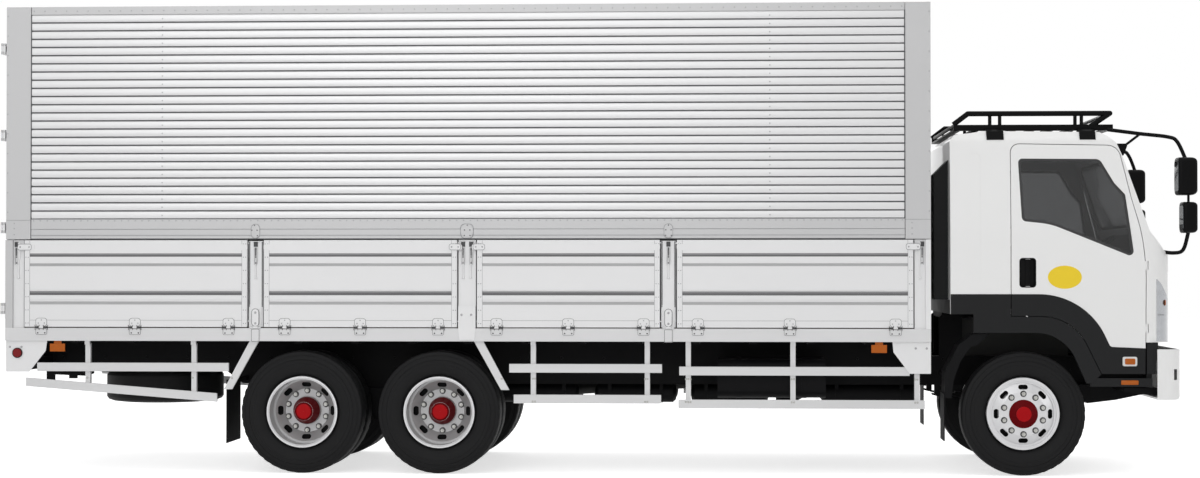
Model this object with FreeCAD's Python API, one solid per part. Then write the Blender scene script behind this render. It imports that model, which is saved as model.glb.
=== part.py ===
import FreeCAD, Part
import math
import os
from FreeCAD import Vector

# A three-axle truck: cab over the engine, twin-tyred rear bogie and a body whose two sides lift like wings.
# X runs forward, Y to the vehicle's left and Z up. The origin is on the ground, in the middle of the outline.

os.makedirs("parts", exist_ok=True)

# Gaps used all over the truck
SEAM = 0.5
PIN_GAP = 0.5
RUN_GAP = 6.0
OVERRUN = 40.0

# Tyres, which set the height of the frame, and the frame, which carries all the rest
TYRE_RADIUS = 515.0
TYRE_WIDTH = 280.0
RIDE_HEIGHT = 455.0
FRAME_TOP = TYRE_RADIUS + RIDE_HEIGHT
RAIL_HEIGHT = 250.0
RAIL_BASE = FRAME_TOP - RAIL_HEIGHT
RAIL_TAIL_HEIGHT = 138.0
RAIL_TAIL_BASE = FRAME_TOP - RAIL_TAIL_HEIGHT
SILL_HEIGHT = 121.0
BEARER_HEIGHT = 89.0
DECK_THICK = 42.0
BED_TOP = FRAME_TOP + SILL_HEIGHT + BEARER_HEIGHT + DECK_THICK
SIDE_RAIL_HEIGHT = 109.0
BED_BASE = BED_TOP - SIDE_RAIL_HEIGHT

# Places along the truck, from the front axle back
FRONT_AXLE_X = 3593.0
WHEELBASE = 4874.0
BOGIE_GAP = 130.0
REAR_OVERHANG = 2524.0
BODY_SET_BACK = 769.0
CAB_SET_BACK = 605.0
CAB_LENGTH = 1822.0
DRIVE_AXLE_X = FRONT_AXLE_X - WHEELBASE
REAR_AXLE_X = DRIVE_AXLE_X - TYRE_RADIUS * 2 - BOGIE_GAP
BOGIE_X = (DRIVE_AXLE_X + REAR_AXLE_X) / 2
BODY_REAR = REAR_AXLE_X - REAR_OVERHANG
BODY_FRONT = FRONT_AXLE_X - BODY_SET_BACK
CAB_REAR = FRONT_AXLE_X - CAB_SET_BACK
CAB_FRONT = CAB_REAR + CAB_LENGTH

# Places across the truck, from the body side in
BODY_HALF = 1250.0
CAB_HALF = BODY_HALF - 35.0
TWIN_SET_IN = 165.0
TWIN_GAP = 45.0
FRONT_SET_IN = 188.0
KINGPIN_SET_IN = 127.0
RAIL_SET_IN = 180.0
RAIL_WIDTH = 80.0
TWIN_OUTER_Y = BODY_HALF - TWIN_SET_IN
TWIN_INNER_Y = TWIN_OUTER_Y - TYRE_WIDTH - TWIN_GAP
TWIN_MIDDLE_Y = (TWIN_OUTER_Y + TWIN_INNER_Y) / 2
FRONT_WHEEL_Y = CAB_HALF - FRONT_SET_IN
KINGPIN_Y = FRONT_WHEEL_Y - KINGPIN_SET_IN
RAIL_OUTER = TWIN_INNER_Y - TYRE_WIDTH / 2 - RAIL_SET_IN
RAIL_INNER = RAIL_OUTER - RAIL_WIDTH
RAIL_WALL = 8.0

# Load body
BODY_HEIGHT = 2716.0
BODY_TOP = BED_TOP + BODY_HEIGHT
WALL = 35.0
PORTAL_DEPTH = 63.0
FRONT_WALL = 43.0
SIDE_RAIL_WIDTH = 70.0
SIDE_RAIL_INNER = BODY_HALF - SIDE_RAIL_WIDTH
BEARER_WIDTH = 61.0
BEARER_COUNT = 17
SILL_WIDTH = 70.0

# Drop gates and the bays between them, from the rear corner forward
GATE_CLEAR = 9.0
GATE_HEIGHT = 731.0
GATE_BASE = BED_TOP + GATE_CLEAR
GATE_TOP = GATE_BASE + GATE_HEIGHT
REAR_CORNER = 163.0
FRONT_CORNER = 143.0
FOLD_BAY = 138.0
CENTRE_BAY = 164.0
GATE_LENGTH_SHARES = (0.2706, 0.2324, 0.2181, 0.2789)
GATE_HINGE_SHARES = ((0.078, 0.498, 0.917), (0.11, 0.5, 0.902), (0.109, 0.5, 0.91), (0.09, 0.479, 0.924))
GATE_GROOVE_SHARES = (0.424, 0.848)
GATE_GROOVE_HEIGHT = 28.0
GATE_GROOVE_DEPTH = 7.0
GATE_RIB_HEIGHT = 52.0
GATE_RIB_STEP = 3.5
GATE_FRAME = 46.0
TONGUE_REACH = 40.0
TONGUE_PLATE = 88.0
TONGUE_HEIGHT = 52.0
TONGUE_DROP = 34.0
TONGUE_THICK = 13.0
TONGUE_PROUD = 4.0

# Gate hinges
HINGE_RADIUS = 7.0
HINGE_STANDOFF = 2.0
HINGE_PLATE_WIDTH = 97.0
HINGE_PLATE_THICK = 5.0
HINGE_PLATE_UP = 79.0
HINGE_PLATE_DOWN = 62.0
HINGE_PLATE_ROUND = 24.0
KNUCKLE_WIDTH = 40.0

# Posts between the gates, their latches and their feet
POST_MARGIN = 9.0
POST_DEPTH = 47.0
POST_SET_BACK = 22.0
POST_TOP_GAP = 7.0
POST_OUTER = BODY_HALF - POST_SET_BACK
FOOT_WIDTH = 66.0
FOOT_TOP_WIDTH = 54.0
FOOT_DROP = 119.0
FOOT_RISE = 160.0
SOLE_RISE = 190.0
SOLE_THICK = 8.0
SOLE_MARGIN = 10.0
LATCH_PLATE_WIDTH = 34.0
LATCH_PLATE_HEIGHT = 150.0
LATCH_PLATE_THICK = 8.0
LATCH_ROD = 7.0
LATCH_KNOB = 11.0
LATCH_LENGTH = 305.0
LATCH_SPREAD = 30.5
LATCH_TOP_GAP = 20.0
CENTRE_PLATE_RISE = 188.0
CENTRE_PLATE_DROP = 96.0
CENTRE_PLATE_TAPER = 12.0

# Wings
WING_GAP = 8.0
WING_BASE = GATE_TOP + WING_GAP
WING_SET_IN = 6.0
WING_END_POST = 216.0
WING_POST_GAP = 7.0
WING_REAR = BODY_REAR + WING_SET_IN
WING_FRONT = BODY_FRONT
WING_RIB_REAR = WING_REAR + WING_END_POST
WING_RIB_FRONT = WING_FRONT - WING_END_POST
LOWER_RAIL_HEIGHT = 170.0
TOP_RAIL_HEIGHT = 66.0
LOWER_RAIL_TOP = WING_BASE + LOWER_RAIL_HEIGHT
TOP_RAIL_BASE = BODY_TOP - TOP_RAIL_HEIGHT
RAIL_LINE_SHARES = (0.17, 0.48)
RAIL_LINE_HEIGHT = 4.0
RAIL_LINE_DEPTH = 3.0
CORNER_BLOCK_HEIGHT = 157.0
CORNER_BLOCK_PROUD = 1.5
RIB_COUNT = 25
RIB_DEPTH = 9.0
RIB_CREST_SHARE = 0.62
RIB_SLOPE_SHARE = 0.12
CATCH_WIDTH = 74.0
CENTRE_CATCH_WIDTH = 104.0
CATCH_HEIGHT = 114.0
CATCH_LIFT = 14.0
CATCH_PROUD = 4.0
ROOF_THICK = 36.0
BEAM_HALF = 50.0
BEAM_DEPTH = 80.0
WING_AXIS_Y = 58.0
WING_HINGE_RADIUS = 8.0
WING_HINGE_SHARES = (0.03, 0.265, 0.5, 0.735, 0.97)
WING_KNUCKLE = 160.0

# Rear doors and their portal
DOOR_THICK = 40.0
DOOR_PIN_OUT = 34.0
DOOR_PIN_SET_IN = 5.0
DOOR_PIN_X = BODY_REAR - DOOR_PIN_OUT
DOOR_PIN_Y = BODY_HALF - DOOR_PIN_SET_IN
DOOR_PIN_RADIUS = 9.0
PORTAL_POST = 120.0
PORTAL_STEP = 41.0
PORTAL_INNER = BODY_HALF - PORTAL_POST
PORTAL_UPPER_OUTER = BODY_HALF - PORTAL_STEP
PORTAL_HEADER = 70.0
REAR_HINGE_SHARES = (0.06, 0.312, 0.6, 0.87)
REAR_KNUCKLE = 46.0
STRAP_LENGTH = 330.0
STRAP_THICK = 14.0
LOCK_BAR_RADIUS = 11.0
LOCK_BAR_SHARES = (0.44, 0.76)
LOCK_GUIDE_SHARES = (0.04, 0.35, 0.65, 0.96)
LOCK_GUIDE_HEIGHT = 34.0
LOCK_HANDLE_SHARE = 0.3
LOCK_HANDLE_LENGTH = 210.0
LEAF_RIB_SHARES = (0.2, 0.4, 0.6, 0.8)
LEAF_RIB_DEPTH = 5.0
LEAF_RIB_HEIGHT = 70.0

# Corner skirts, as lengths along their top and bottom edges
SKIRT_DROP = 263.0
SKIRT_THICK = 4.0
SKIRT_SET_IN = 25.0
SKIRT_NECK_DROP = 85.0
REAR_SKIRT_TOP = 355.0
REAR_SKIRT_NECK = 343.0
REAR_SKIRT_FOOT = 203.0
FRONT_SKIRT_TOP = 317.0
FRONT_SKIRT_NECK = 309.0
FRONT_SKIRT_FOOT = 175.0

# Chassis frame
RAIL_TAPER_LENGTH = 150.0
RAIL_TAPER_BEHIND = 659.0
RAIL_TAPER_FRONT = REAR_AXLE_X - RAIL_TAPER_BEHIND
RAIL_TAPER_REAR = RAIL_TAPER_FRONT - RAIL_TAPER_LENGTH
TAIL_SET_IN = 74.0
RAIL_REAR = BODY_REAR + TAIL_SET_IN
CROSS_TUBE_RADIUS = 44.0
CROSS_SHARES = (0.0094, 0.0405, 0.1804, 0.314, 0.4343, 0.5224, 0.6105, 0.6986, 0.7867)

# Rims, hubs and drums
RIM_RADIUS = 287.5
RIM_FLANGE = 300.0
RIM_SET_IN = 64.0
RIM_WIDTH = TYRE_WIDTH - RIM_SET_IN
RIM_WALL = 11.0
DISC_THICK = 12.0
BOLT_CIRCLE = 168.0
HAND_HOLE_CIRCLE = 222.0
HAND_HOLE_RADIUS = 20.0
HAND_HOLE_SPREAD = 20.0
HAND_HOLES = 8
DRUM_RADIUS = 205.0
DRUM_WALL = 12.0
HUB_RADIUS = 118.0
HUB_BORE_CLEAR = 0.5
SPINDLE_RADIUS = 38.0
FRONT_DISC_OUT = 78.0
FRONT_BEND = 40.0
FRONT_HUB_OUT = 165.0
FRONT_DISC_Y = FRONT_WHEEL_Y + FRONT_DISC_OUT
FRONT_HUB_OUTER = FRONT_WHEEL_Y + FRONT_HUB_OUT
DRUM_INNER_Y = FRONT_WHEEL_Y - 82.0
REAR_BEND = 78.0
REAR_HUB_OUT = 33.0
REAR_DRUM_IN = 100.0
REAR_HUB_OUTER = TWIN_OUTER_Y + REAR_HUB_OUT
REAR_DRUM_INNER_Y = TWIN_INNER_Y - REAR_DRUM_IN
TYRE_SECTION_SHARES = ((0.2, 0.46), (0.45, 0.5), (0.76, 0.47), (0.93, 0.42), (1.0, 0.34))

# Front axle
KINGPIN_RADIUS = 22.0
AXLE_EYE_RADIUS = 52.0
AXLE_EYE_HEIGHT = 110.0
AXLE_DROP = 91.0
AXLE_DEPTH = 95.0
AXLE_WIDTH = 89.0
SPRING_HALF_LENGTH = 690.0
SPRING_WIDTH = 76.0
SPRING_LEAF = 16.0
FRONT_LEAVES = 4
SPRING_PAD = 24.0
STEERING_ARM = 208.0

# Rear bogie
AXLE_TUBE_RADIUS = 70.0
AXLE_TUBE_SET_IN = 143.0
AXLE_TUBE_HALF = TWIN_INNER_Y - AXLE_TUBE_SET_IN
BANJO_RADIUS = 230.0
BANJO_WIDTH = 300.0
REAR_SPINDLE_RADIUS = 58.0
BOGIE_SPRING_OUT = 61.0
BOGIE_SPRING_Y = RAIL_OUTER + BOGIE_SPRING_OUT
BOGIE_SPRING_WIDTH = 96.0
BOGIE_LEAVES = 6
BOGIE_LEAF = 22.0
BOGIE_RISE = 40.0
TRUNNION_RADIUS = 59.0
HANGER_TOP_HALF = 240.0
HANGER_FOOT_HALF = 80.0
PROP_RADIUS = 44.0
PROP_RISE = 85.0
PROP_END_GAP = 3.0

# Engine and gearbox
ENGINE_BEHIND = 513.0
ENGINE_LENGTH = 1000.0
ENGINE_SET_IN = 20.0
ENGINE_HEIGHT = 570.0
GEARBOX_LENGTH = 780.0
GEARBOX_HALF = 200.0
GEARBOX_HEIGHT = 140.0
MOUNT_PLACE_SHARE = 0.12
MOUNT_LENGTH = 80.0
ENGINE_REAR = FRONT_AXLE_X - ENGINE_BEHIND

# Tanks and boxes on the frame
TANK_BEHIND_CAB = 1028.0
TANK_LENGTH = 904.0
TANK_DEPTH = 630.0
TANK_STANDOFF = 60.5
TANK_HEIGHT = 320.0
TANK_TOP_DROP = 10.0
TANK_ROUND = 70.0
TANK_STRAP = 42.0
TANK_STRAP_THICK = 3.0
TANK_STRAP_SHARES = (0.2, 0.8)
BATTERY_BEHIND_CAB = 638.0
BATTERY_LENGTH = 650.0
BATTERY_ROUND = 12.0
AIR_TANK_RADIUS = 135.0
AIR_TANK_BEHIND_CAB = 1888.0
AIR_TANK_LENGTH = 900.0
AIR_TANK_GAP = 40.0
BRACKET_WIDTH = 40.0
TANK_TOP = FRAME_TOP - TANK_TOP_DROP
TANK_BASE = TANK_TOP - TANK_HEIGHT
TANK_INNER = RAIL_OUTER + TANK_STANDOFF
TANK_OUTER = TANK_INNER + TANK_DEPTH

# Side guards, as places along each bay: rear and front ends and stays in shares of the bay's length
GUARD_SET_IN = 30.0
GUARD_OUTER = BODY_HALF - GUARD_SET_IN
GUARD_THICK = 25.0
GUARD_HEIGHT = 72.0
GUARD_STAY = 43.0
REAR_BAY_SHARES = ((0.127, 0.904), (0.081, 0.857), (0.32, 0.751))
MIDDLE_BAY_SHARES = ((0.078, 0.414), (0.088, 0.412), (0.125, 0.376))
REAR_BAY_GAP = 417.0
REAR_BAY_FRONT = REAR_AXLE_X - REAR_BAY_GAP
FRONT_BAY_SHARES = ((0.452, 0.954), (0.45, 0.987), (0.466, 0.695, 0.965))
REAR_GUARD_DROPS = (258.0, 258.0, 385.0, 514.0)
MIDDLE_GUARD_DROPS = (261.0, 261.0, 518.0, 518.0)
FRONT_GUARD_DROPS = (281.0, 281.0, 556.0, 556.0)
BAR_WIDTH = 78.0
BAR_FOOT_WIDTH = 69.0
BAR_DROP = 407.0
BAR_LEAN = 219.0
REAR_BAR_BEHIND = 362.0
FRONT_BAR_AHEAD = 298.0
FRONT_BAY_REAR = DRIVE_AXLE_X + FRONT_BAR_AHEAD

# Flaps and guards behind the wheels
FLAP_THICK = 8.0
REAR_FLAP_BEHIND = 130.0
REAR_FLAP_BASE = 250.0
REAR_FLAP_HEIGHT = 535.0
FLAP_ARM = 22.0
FLAP_SPREAD_IN = 120.0
FLAP_SPREAD_OUT = 105.0
FLAP_STRIP = 40.0
REAR_FLAP_X = REAR_AXLE_X - TYRE_RADIUS - REAR_FLAP_BEHIND
FRONT_GUARD_LENGTH = 371.0
FRONT_GUARD_BEHIND = 652.0
FRONT_GUARD_BASE = TYRE_RADIUS + 130.0
FRONT_GUARD_TOP = TYRE_RADIUS + 666.0
FRONT_GUARD_SPREAD = 163.0
FRONT_GUARD_ROOT = 90.5
FRONT_GUARD_SHARES = (
    (0.0, 0.006), (0.014, 0.413), (0.294, 0.813), (0.636, 1.0), (1.0, 1.0), (0.714, 0.817),
    (0.598, 0.813), (0.35, 0.573), (0.199, 0.28), (0.154, 0.0),
)
FRONT_FLAP_BASE = 290.0

# Spare wheel, rear bar and towing plate
SPARE_AHEAD = 135.0
SPARE_BASE = 543.0
SPARE_CROSS_HALF = 89.0
SPARE_X = (REAR_FLAP_X + BODY_REAR) / 2 + SPARE_AHEAD
UNDERRUN_SET_IN = 85.0
UNDERRUN_DEPTH = 91.0
UNDERRUN_BASE = 440.0
UNDERRUN_HEIGHT = 110.0
UNDERRUN_END_IN = 100.0
UNDERRUN_HALF = BODY_HALF - UNDERRUN_END_IN
UNDERRUN_REAR = BODY_REAR + UNDERRUN_SET_IN
TOW_BORE = 25.0
TOW_PLATE = 30.0

# Lamps on the body
MARKER_LENGTH = 128.0
MARKER_HEIGHT = 65.0
MARKER_THICK = 14.0
MARKER_DROP = 25.0
REAR_MARKER_IN = 447.0
FRONT_MARKER_IN = 428.0
TAIL_LAMP_HALF = 36.0
TAIL_LAMP_IN = 101.0
TAIL_LAMP_DROP = 103.0
REAR_LAMP_SET_IN = 190.0
REAR_LAMP_WIDTH = 500.0
REAR_LAMP_HEIGHT = 130.0

# Cab
CAB_LIFT = 142.0
CAB_HEIGHT = 1758.0
CAB_BASE = FRAME_TOP + CAB_LIFT
CAB_ROOF = CAB_BASE + CAB_HEIGHT
CAB_WALL = 40.0
CAB_WAIST_HEIGHT = 928.0
CAB_GUTTER_DROP = 81.0
CAB_GUTTER_SET_IN = 47.0
CAB_WAIST = CAB_BASE + CAB_WAIST_HEIGHT
CAB_GUTTER = CAB_ROOF - CAB_GUTTER_DROP
CAB_GUTTER_HALF = CAB_HALF - CAB_GUTTER_SET_IN
CAB_ROOF_ROUND = 95.0
CAB_CORNER_ROUND = 220.0
CAB_FLOOR_STEP = 233.0
CAB_FLOOR_UPPER = CAB_BASE + CAB_FLOOR_STEP
CAB_STEP_AHEAD = 622.0
CAB_STEP_X = FRONT_AXLE_X + CAB_STEP_AHEAD
CAB_PIVOT_BEHIND = 92.0
CAB_PIVOT_DROP = 56.0
CAB_PIVOT_X = CAB_FRONT - CAB_PIVOT_BEHIND
CAB_PIVOT_Z = CAB_BASE - CAB_PIVOT_DROP
PIVOT_RADIUS = 26.0
PIVOT_EAR_BASE = 89.0
RAIL_FRONT = CAB_PIVOT_X + OVERRUN
GLASS_SET_BACK = 12.0
GLASS_THICK = 6.0
CAB_PROFILE_SHARES = (
    (0.0, 0.952), (0.021, 0.98), (0.165, 1.0), (0.68, 0.993), (0.717, 0.973), (0.754, 0.94),
    (0.778, 0.884), (0.898, 0.526), (0.968, 0.435), (0.998, 0.41), (1.0, 0.341), (0.992, 0.328),
    (0.995, 0.0),
)
PRESSING_BEHIND = 147.0
PRESSING_WIDTH = 104.0
PRESSING_ROUND = 44.0
PRESSING_DEPTH = 4.0
PRESSING_BASE_SHARE = 0.29
PRESSING_TOP_SHARE = 0.894
GRILLE_HALF = 640.0
GRILLE_BASE_SHARE = 0.1
GRILLE_PITCH = 66.0
GRILLE_SLOT = 34.0
GRILLE_DEPTH = 14.0
GRILLE_SLOTS = 5
CAB_REST_DEPTH = 44.0

# Cab doors: outline and window as shares of the door's length and height, each corner with its radius
DOOR_GAP = 6.0
DOOR_BEHIND = 502.0
DOOR_AHEAD = 218.0
DOOR_TOP_DROP = 112.0
DOOR_BASE_DROP = 260.0
DOOR_REAR = CAB_REAR + DOOR_BEHIND
DOOR_FRONT = CAB_FRONT - DOOR_AHEAD
DOOR_TOP = CAB_ROOF - DOOR_TOP_DROP
DOOR_BASE = CAB_BASE - DOOR_BASE_DROP
DOOR_OUTLINE_SHARES = (
    (0.0, 0.2513), (0.0, 1.0), (0.7985, 0.9916), (0.891, 0.769), (0.973, 0.602), (1.0, 0.455),
    (0.9937, 0.0), (0.6706, 0.0), (0.46, 0.2487),
)
DOOR_RADII = (0.0, 70.0, 110.0, 0.0, 1500.0, 1500.0, 0.0, 0.0, 417.0)
WINDOW_SHARES = (
    (0.0535, 0.9365), (0.664, 0.9334), (0.7713, 0.8284), (0.8512, 0.7786), (0.9174, 0.5037),
    (0.2922, 0.6506), (0.0799, 0.6632),
)
WINDOW_RADII = (35.0, 61.0, 41.0, 31.0, 35.0, 600.0, 41.0)
DOOR_AXIS_AHEAD = 8.0
DOOR_AXIS_X = DOOR_FRONT + DOOR_AXIS_AHEAD
DOOR_HINGE_SHARES = (0.198, 0.471)
DOOR_HINGE_HEIGHT = 70.0
DOOR_HINGE_RADIUS = 7.0
HANDLE_AHEAD = 70.0
HANDLE_WIDTH = 130.0
HANDLE_BASE_SHARE = 0.376
HANDLE_TOP_SHARE = 0.501
HANDLE_DEPTH = 18.0
HANDLE_ROUND = 24.0
HANDLE_BAR = 36.0
WINDSCREEN_BASE_SHARE = 0.5478
WINDSCREEN_TOP_SHARE = 0.8749
WINDSCREEN_BASE_SET_IN = 130.0
WINDSCREEN_TOP_SET_IN = 165.0
WINDSCREEN_ROUND = 88.0
REAR_WINDOW_HALF = 430.0
REAR_WINDOW_BASE_SHARE = 0.59
REAR_WINDOW_TOP_SHARE = 0.835

# Lower cladding of the cab: its top edge and the wheel arch under it
CLAD_TOP_DROP = 398.0
CLAD_TOP = CAB_BASE + CLAD_TOP_DROP
CLAD_PROUD = 3.0
CLAD_REAR = CAB_REAR + 2.0
CLAD_BEHIND_FRONT = 120.0
CLAD_FRONT = CAB_FRONT - CLAD_BEHIND_FRONT
CLAD_REAR_HEIGHT = 166.0
CLAD_BEND_SHARE = 0.6081
CLAD_FOOT_SHARE = 0.7201
CLAD_FOOT_HEIGHT = 223.0
CLAD_NOSE_HEIGHT = 200.0
CLAD_ROUND = 598.0
CLAD_FOOT_ROUND = 30.5
ARCH_BEHIND = 416.0
ARCH_CORNER_AHEAD = 326.0
ARCH_FOOT_AHEAD = 512.0
ARCH_LIFT = 675.0
ARCH_FOOT_LIFT = 258.0
ARCH_ROUND = 352.0
ARCH_TOE = 45.5
STEP_AHEAD = 27.0
STEP_REAR = FRONT_AXLE_X + TYRE_RADIUS + STEP_AHEAD
STEP_FRONT = CLAD_FRONT - 45.0
STEP_SET_IN = 205.0
STEP_INNER = CAB_HALF - STEP_SET_IN
STEP_HEIGHT = 70.0
STEP_GAP = 36.0
STEP_TOP = DOOR_BASE - STEP_GAP
STEP_BASE = STEP_TOP - STEP_HEIGHT
STEP_WALL = 11.0
DUCT_DEPTH = 118.0
DUCT_OUTER_SET_IN = 210.0
DUCT_WIDTH = 300.0
DUCT_BASE_SHARE = 0.2
DUCT_TOP_SHARE = 0.865
DUCT_SLOPE = 120.0

# Headlamps and bumper
LAMP_BEHIND = 130.0
LAMP_BASE_HEIGHT = 10.0
LAMP_HEIGHT = 512.0
LAMP_WIDTH = 355.0
LAMP_DEPTH = 29.0
LAMP_REAR = CAB_FRONT - LAMP_BEHIND
LAMP_BASE = CAB_BASE + LAMP_BASE_HEIGHT
LAMP_INNER = CAB_HALF - LAMP_WIDTH
LAMP_OUTLINE_SHARES = (
    (0.0, 0.0), (1.0, 0.0), (1.0, 0.47), (0.497, 0.8), (0.245, 0.934), (0.046, 1.0), (0.0, 1.0),
)
BUMPER_LENGTH = 204.0
BUMPER_PROUD = 25.0
BUMPER_HEIGHT = 417.0
BUMPER_WALL = 16.0
BUMPER_ROUND = 130.0
BUMPER_EDGE_ROUND = 46.0
BUMPER_REAR = LAMP_REAR
BUMPER_FRONT = BUMPER_REAR + BUMPER_LENGTH
BUMPER_TOP = CAB_PIVOT_Z
BUMPER_BASE = BUMPER_TOP - BUMPER_HEIGHT
BUMPER_HALF = CAB_HALF + BUMPER_PROUD
BUMPER_ARM = 89.0
BUMPER_SLOT_LENGTH = 29.0
BUMPER_SLOT_HEIGHT = 89.0
BUMPER_SLOT_BEHIND = 52.0

# Roof rack
RACK_SET_IN = 165.0
RACK_HALF = CAB_HALF - RACK_SET_IN
RACK_TUBE = 22.0
RACK_TOP_SHARE = 1.0853
RACK_REAR_SHARE = 0.09
RACK_FRONT_SHARE = 0.737
RACK_TAIL_SHARE = 0.024
RACK_TAIL_RISE = 53.0
RACK_NOSE_SHARE = 0.64
RACK_DECK_LIFT = 6.0
RACK_DECK_HEIGHT = 50.0
RACK_FOOT_SHARES = (0.17, 0.588)
RACK_FOOT_LENGTH = 138.0
RACK_UPRIGHT_SHARES = (0.155, 0.225, 0.755, 0.8)
RACK_UPRIGHT = 15.0
RACK_SLATS = 9
RACK_SLAT_WIDTH = 59.0
RACK_SLAT_THICK = 14.0

# Mirrors: heads, and arm paths as shares of the cab's length and height
MIRROR_SET_IN = 20.0
MIRROR_Y = CAB_HALF - MIRROR_SET_IN
MIRROR_AHEAD = 194.0
MIRROR_FRONT = CAB_FRONT + MIRROR_AHEAD
MIRROR_LENGTH = 157.0
MIRROR_HALF = 105.0
MIRROR_HEIGHT = 311.0
MIRROR_BASE_SHARE = 0.6923
MIRROR_ROUND = 40.0
LOWER_MIRROR_LENGTH = 118.0
LOWER_MIRROR_HEIGHT = 255.0
LOWER_MIRROR_SHARE = 0.5148
MIRROR_KNOB = 20.0
MIRROR_ARM = 16.0
MIRROR_LINK = 11.0
MIRROR_ROOT_SET_IN = 80.0
MIRROR_ARM_SHARES = ((0.72, 1.0057), (0.8666, 0.9846), (0.9896, 0.9681), (1.028, 0.9437), (1.0637, 0.86))
MIRROR_BRACE_SHARES = ((0.7667, 0.9033), (0.797, 0.9289), (0.8666, 0.9846))
MIRROR_LOWER_SHARES = ((1.0741, 0.52), (1.0511, 0.4352), (1.0126, 0.4209), (0.95, 0.43))

# Cab interior
SEAT_GAP = 200.0
SEAT_HALF = 250.0
SEAT_BEHIND = 173.0
SEAT_LENGTH = 480.0
SEAT_HEIGHT = 301.0
SEAT_BACK_HEIGHT = 560.0
SEAT_BACK_THICK = 131.0
SEAT_BACK_LEAN = 89.0
SEAT_CUSHION = 110.0
TUNNEL_GAP = 18.0
TUNNEL_HEIGHT = 171.0
DASH_BEHIND = 480.0
DASH_HEIGHT = 748.0
DASH_SHELF = 360.0
DASH_DEPTH = 271.0
DASH_FOOT = 88.0
DASH_LIP = 89.0
DASH_END_GAP = 110.0
WHEEL_RIM_RADIUS = 225.0
WHEEL_RIM_TUBE = 16.0
COLUMN_LENGTH_SHARE = 0.6
SEAT_Y = CAB_HALF - CAB_WALL - RUN_GAP - SEAT_GAP - SEAT_HALF
SEAT_REAR = FRONT_AXLE_X - SEAT_BEHIND
DASH_REAR = CAB_FRONT - DASH_BEHIND


def block(x0, x1, y0, y1, z0, z1):
    """A plain block between two opposite corners."""
    return Part.makeBox(x1 - x0, y1 - y0, z1 - z0, Vector(x0, y0, z0))


def plate(corners, thickness):
    """A flat outline of corners, pushed out along the thickness vector."""
    return Part.Face(Part.makePolygon(corners + corners[:1])).extrude(thickness)


def side_plate(outline, y0, y1):
    """A piece drawn from the side as X and Z, from y0 to y1 across."""
    return plate([Vector(x, y0, z) for x, z in outline], Vector(0, y1 - y0, 0))


def end_plate(outline, x0, x1):
    """A piece drawn from behind as Y and Z, from x0 to x1 along."""
    return plate([Vector(x0, y, z) for y, z in outline], Vector(x1 - x0, 0, 0))


def floor_plate(outline, z0, z1):
    """A piece drawn from above as X and Y, from z0 to z1 up."""
    return plate([Vector(x, y, z0) for x, y in outline], Vector(0, 0, z1 - z0))


def rod(start, end, radius):
    """A round bar from one point to another."""
    along = end.sub(start)
    return Part.makeCylinder(radius, along.Length, start, along)


def rounded(corners, radii):
    """A closed outline through the corners, with an arc wherever a radius is given."""
    runs = []
    count = len(corners)
    for place, corner in enumerate(corners):
        radius = radii[place]
        back = corners[place - 1].sub(corner)
        ahead = corners[(place + 1) % count].sub(corner)
        back.normalize()
        ahead.normalize()
        half = back.getAngle(ahead) / 2
        setback = radius / math.tan(half)
        middle = back.add(ahead)
        middle.normalize()
        reach = radius / math.sin(half) - radius
        runs.append((corner.add(back * setback), corner.add(middle * reach), corner.add(ahead * setback)))
    edges = []
    for place, (start, middle, end) in enumerate(runs):
        if radii[place]:
            edges.append(Part.Arc(start, middle, end).toShape())
        edges.append(Part.makeLine(end, runs[(place + 1) % count][0]))
    return Part.Wire(edges)


def scaled(shares, x0, x1, z0, z1):
    """An outline given as shares of a length and a height."""
    return [(x0 + (x1 - x0) * along, z0 + (z1 - z0) * up) for along, up in shares]


def other_side(shape):
    """The same piece on the right of the vehicle."""
    return shape.mirror(Vector(0, 0, 0), Vector(0, 1, 0))


def both(shapes):
    """The left pieces given, and the same on the right."""
    return list(shapes) + [other_side(shape) for shape in shapes]


def fused(shapes):
    """One solid from pieces that meet."""
    return shapes[0].multiFuse(shapes[1:]).removeSplitter() if len(shapes) > 1 else shapes[0]


def save(node, shapes):
    """Writes one sub-part. Pieces that stand apart in it stay separate solids."""
    whole = Part.makeCompound([solid for shape in shapes for solid in shape.Solids])
    whole.exportStep("parts/" + node + ".step")


def save_pair(name, shapes):
    """Writes a left piece and its right twin as two sub-parts."""
    save(name + "_left", shapes)
    save(name + "_right", [other_side(shape) for shape in shapes])


# Chassis frame: two C rails tapered at the tail, joined by round cross tubes.

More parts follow.
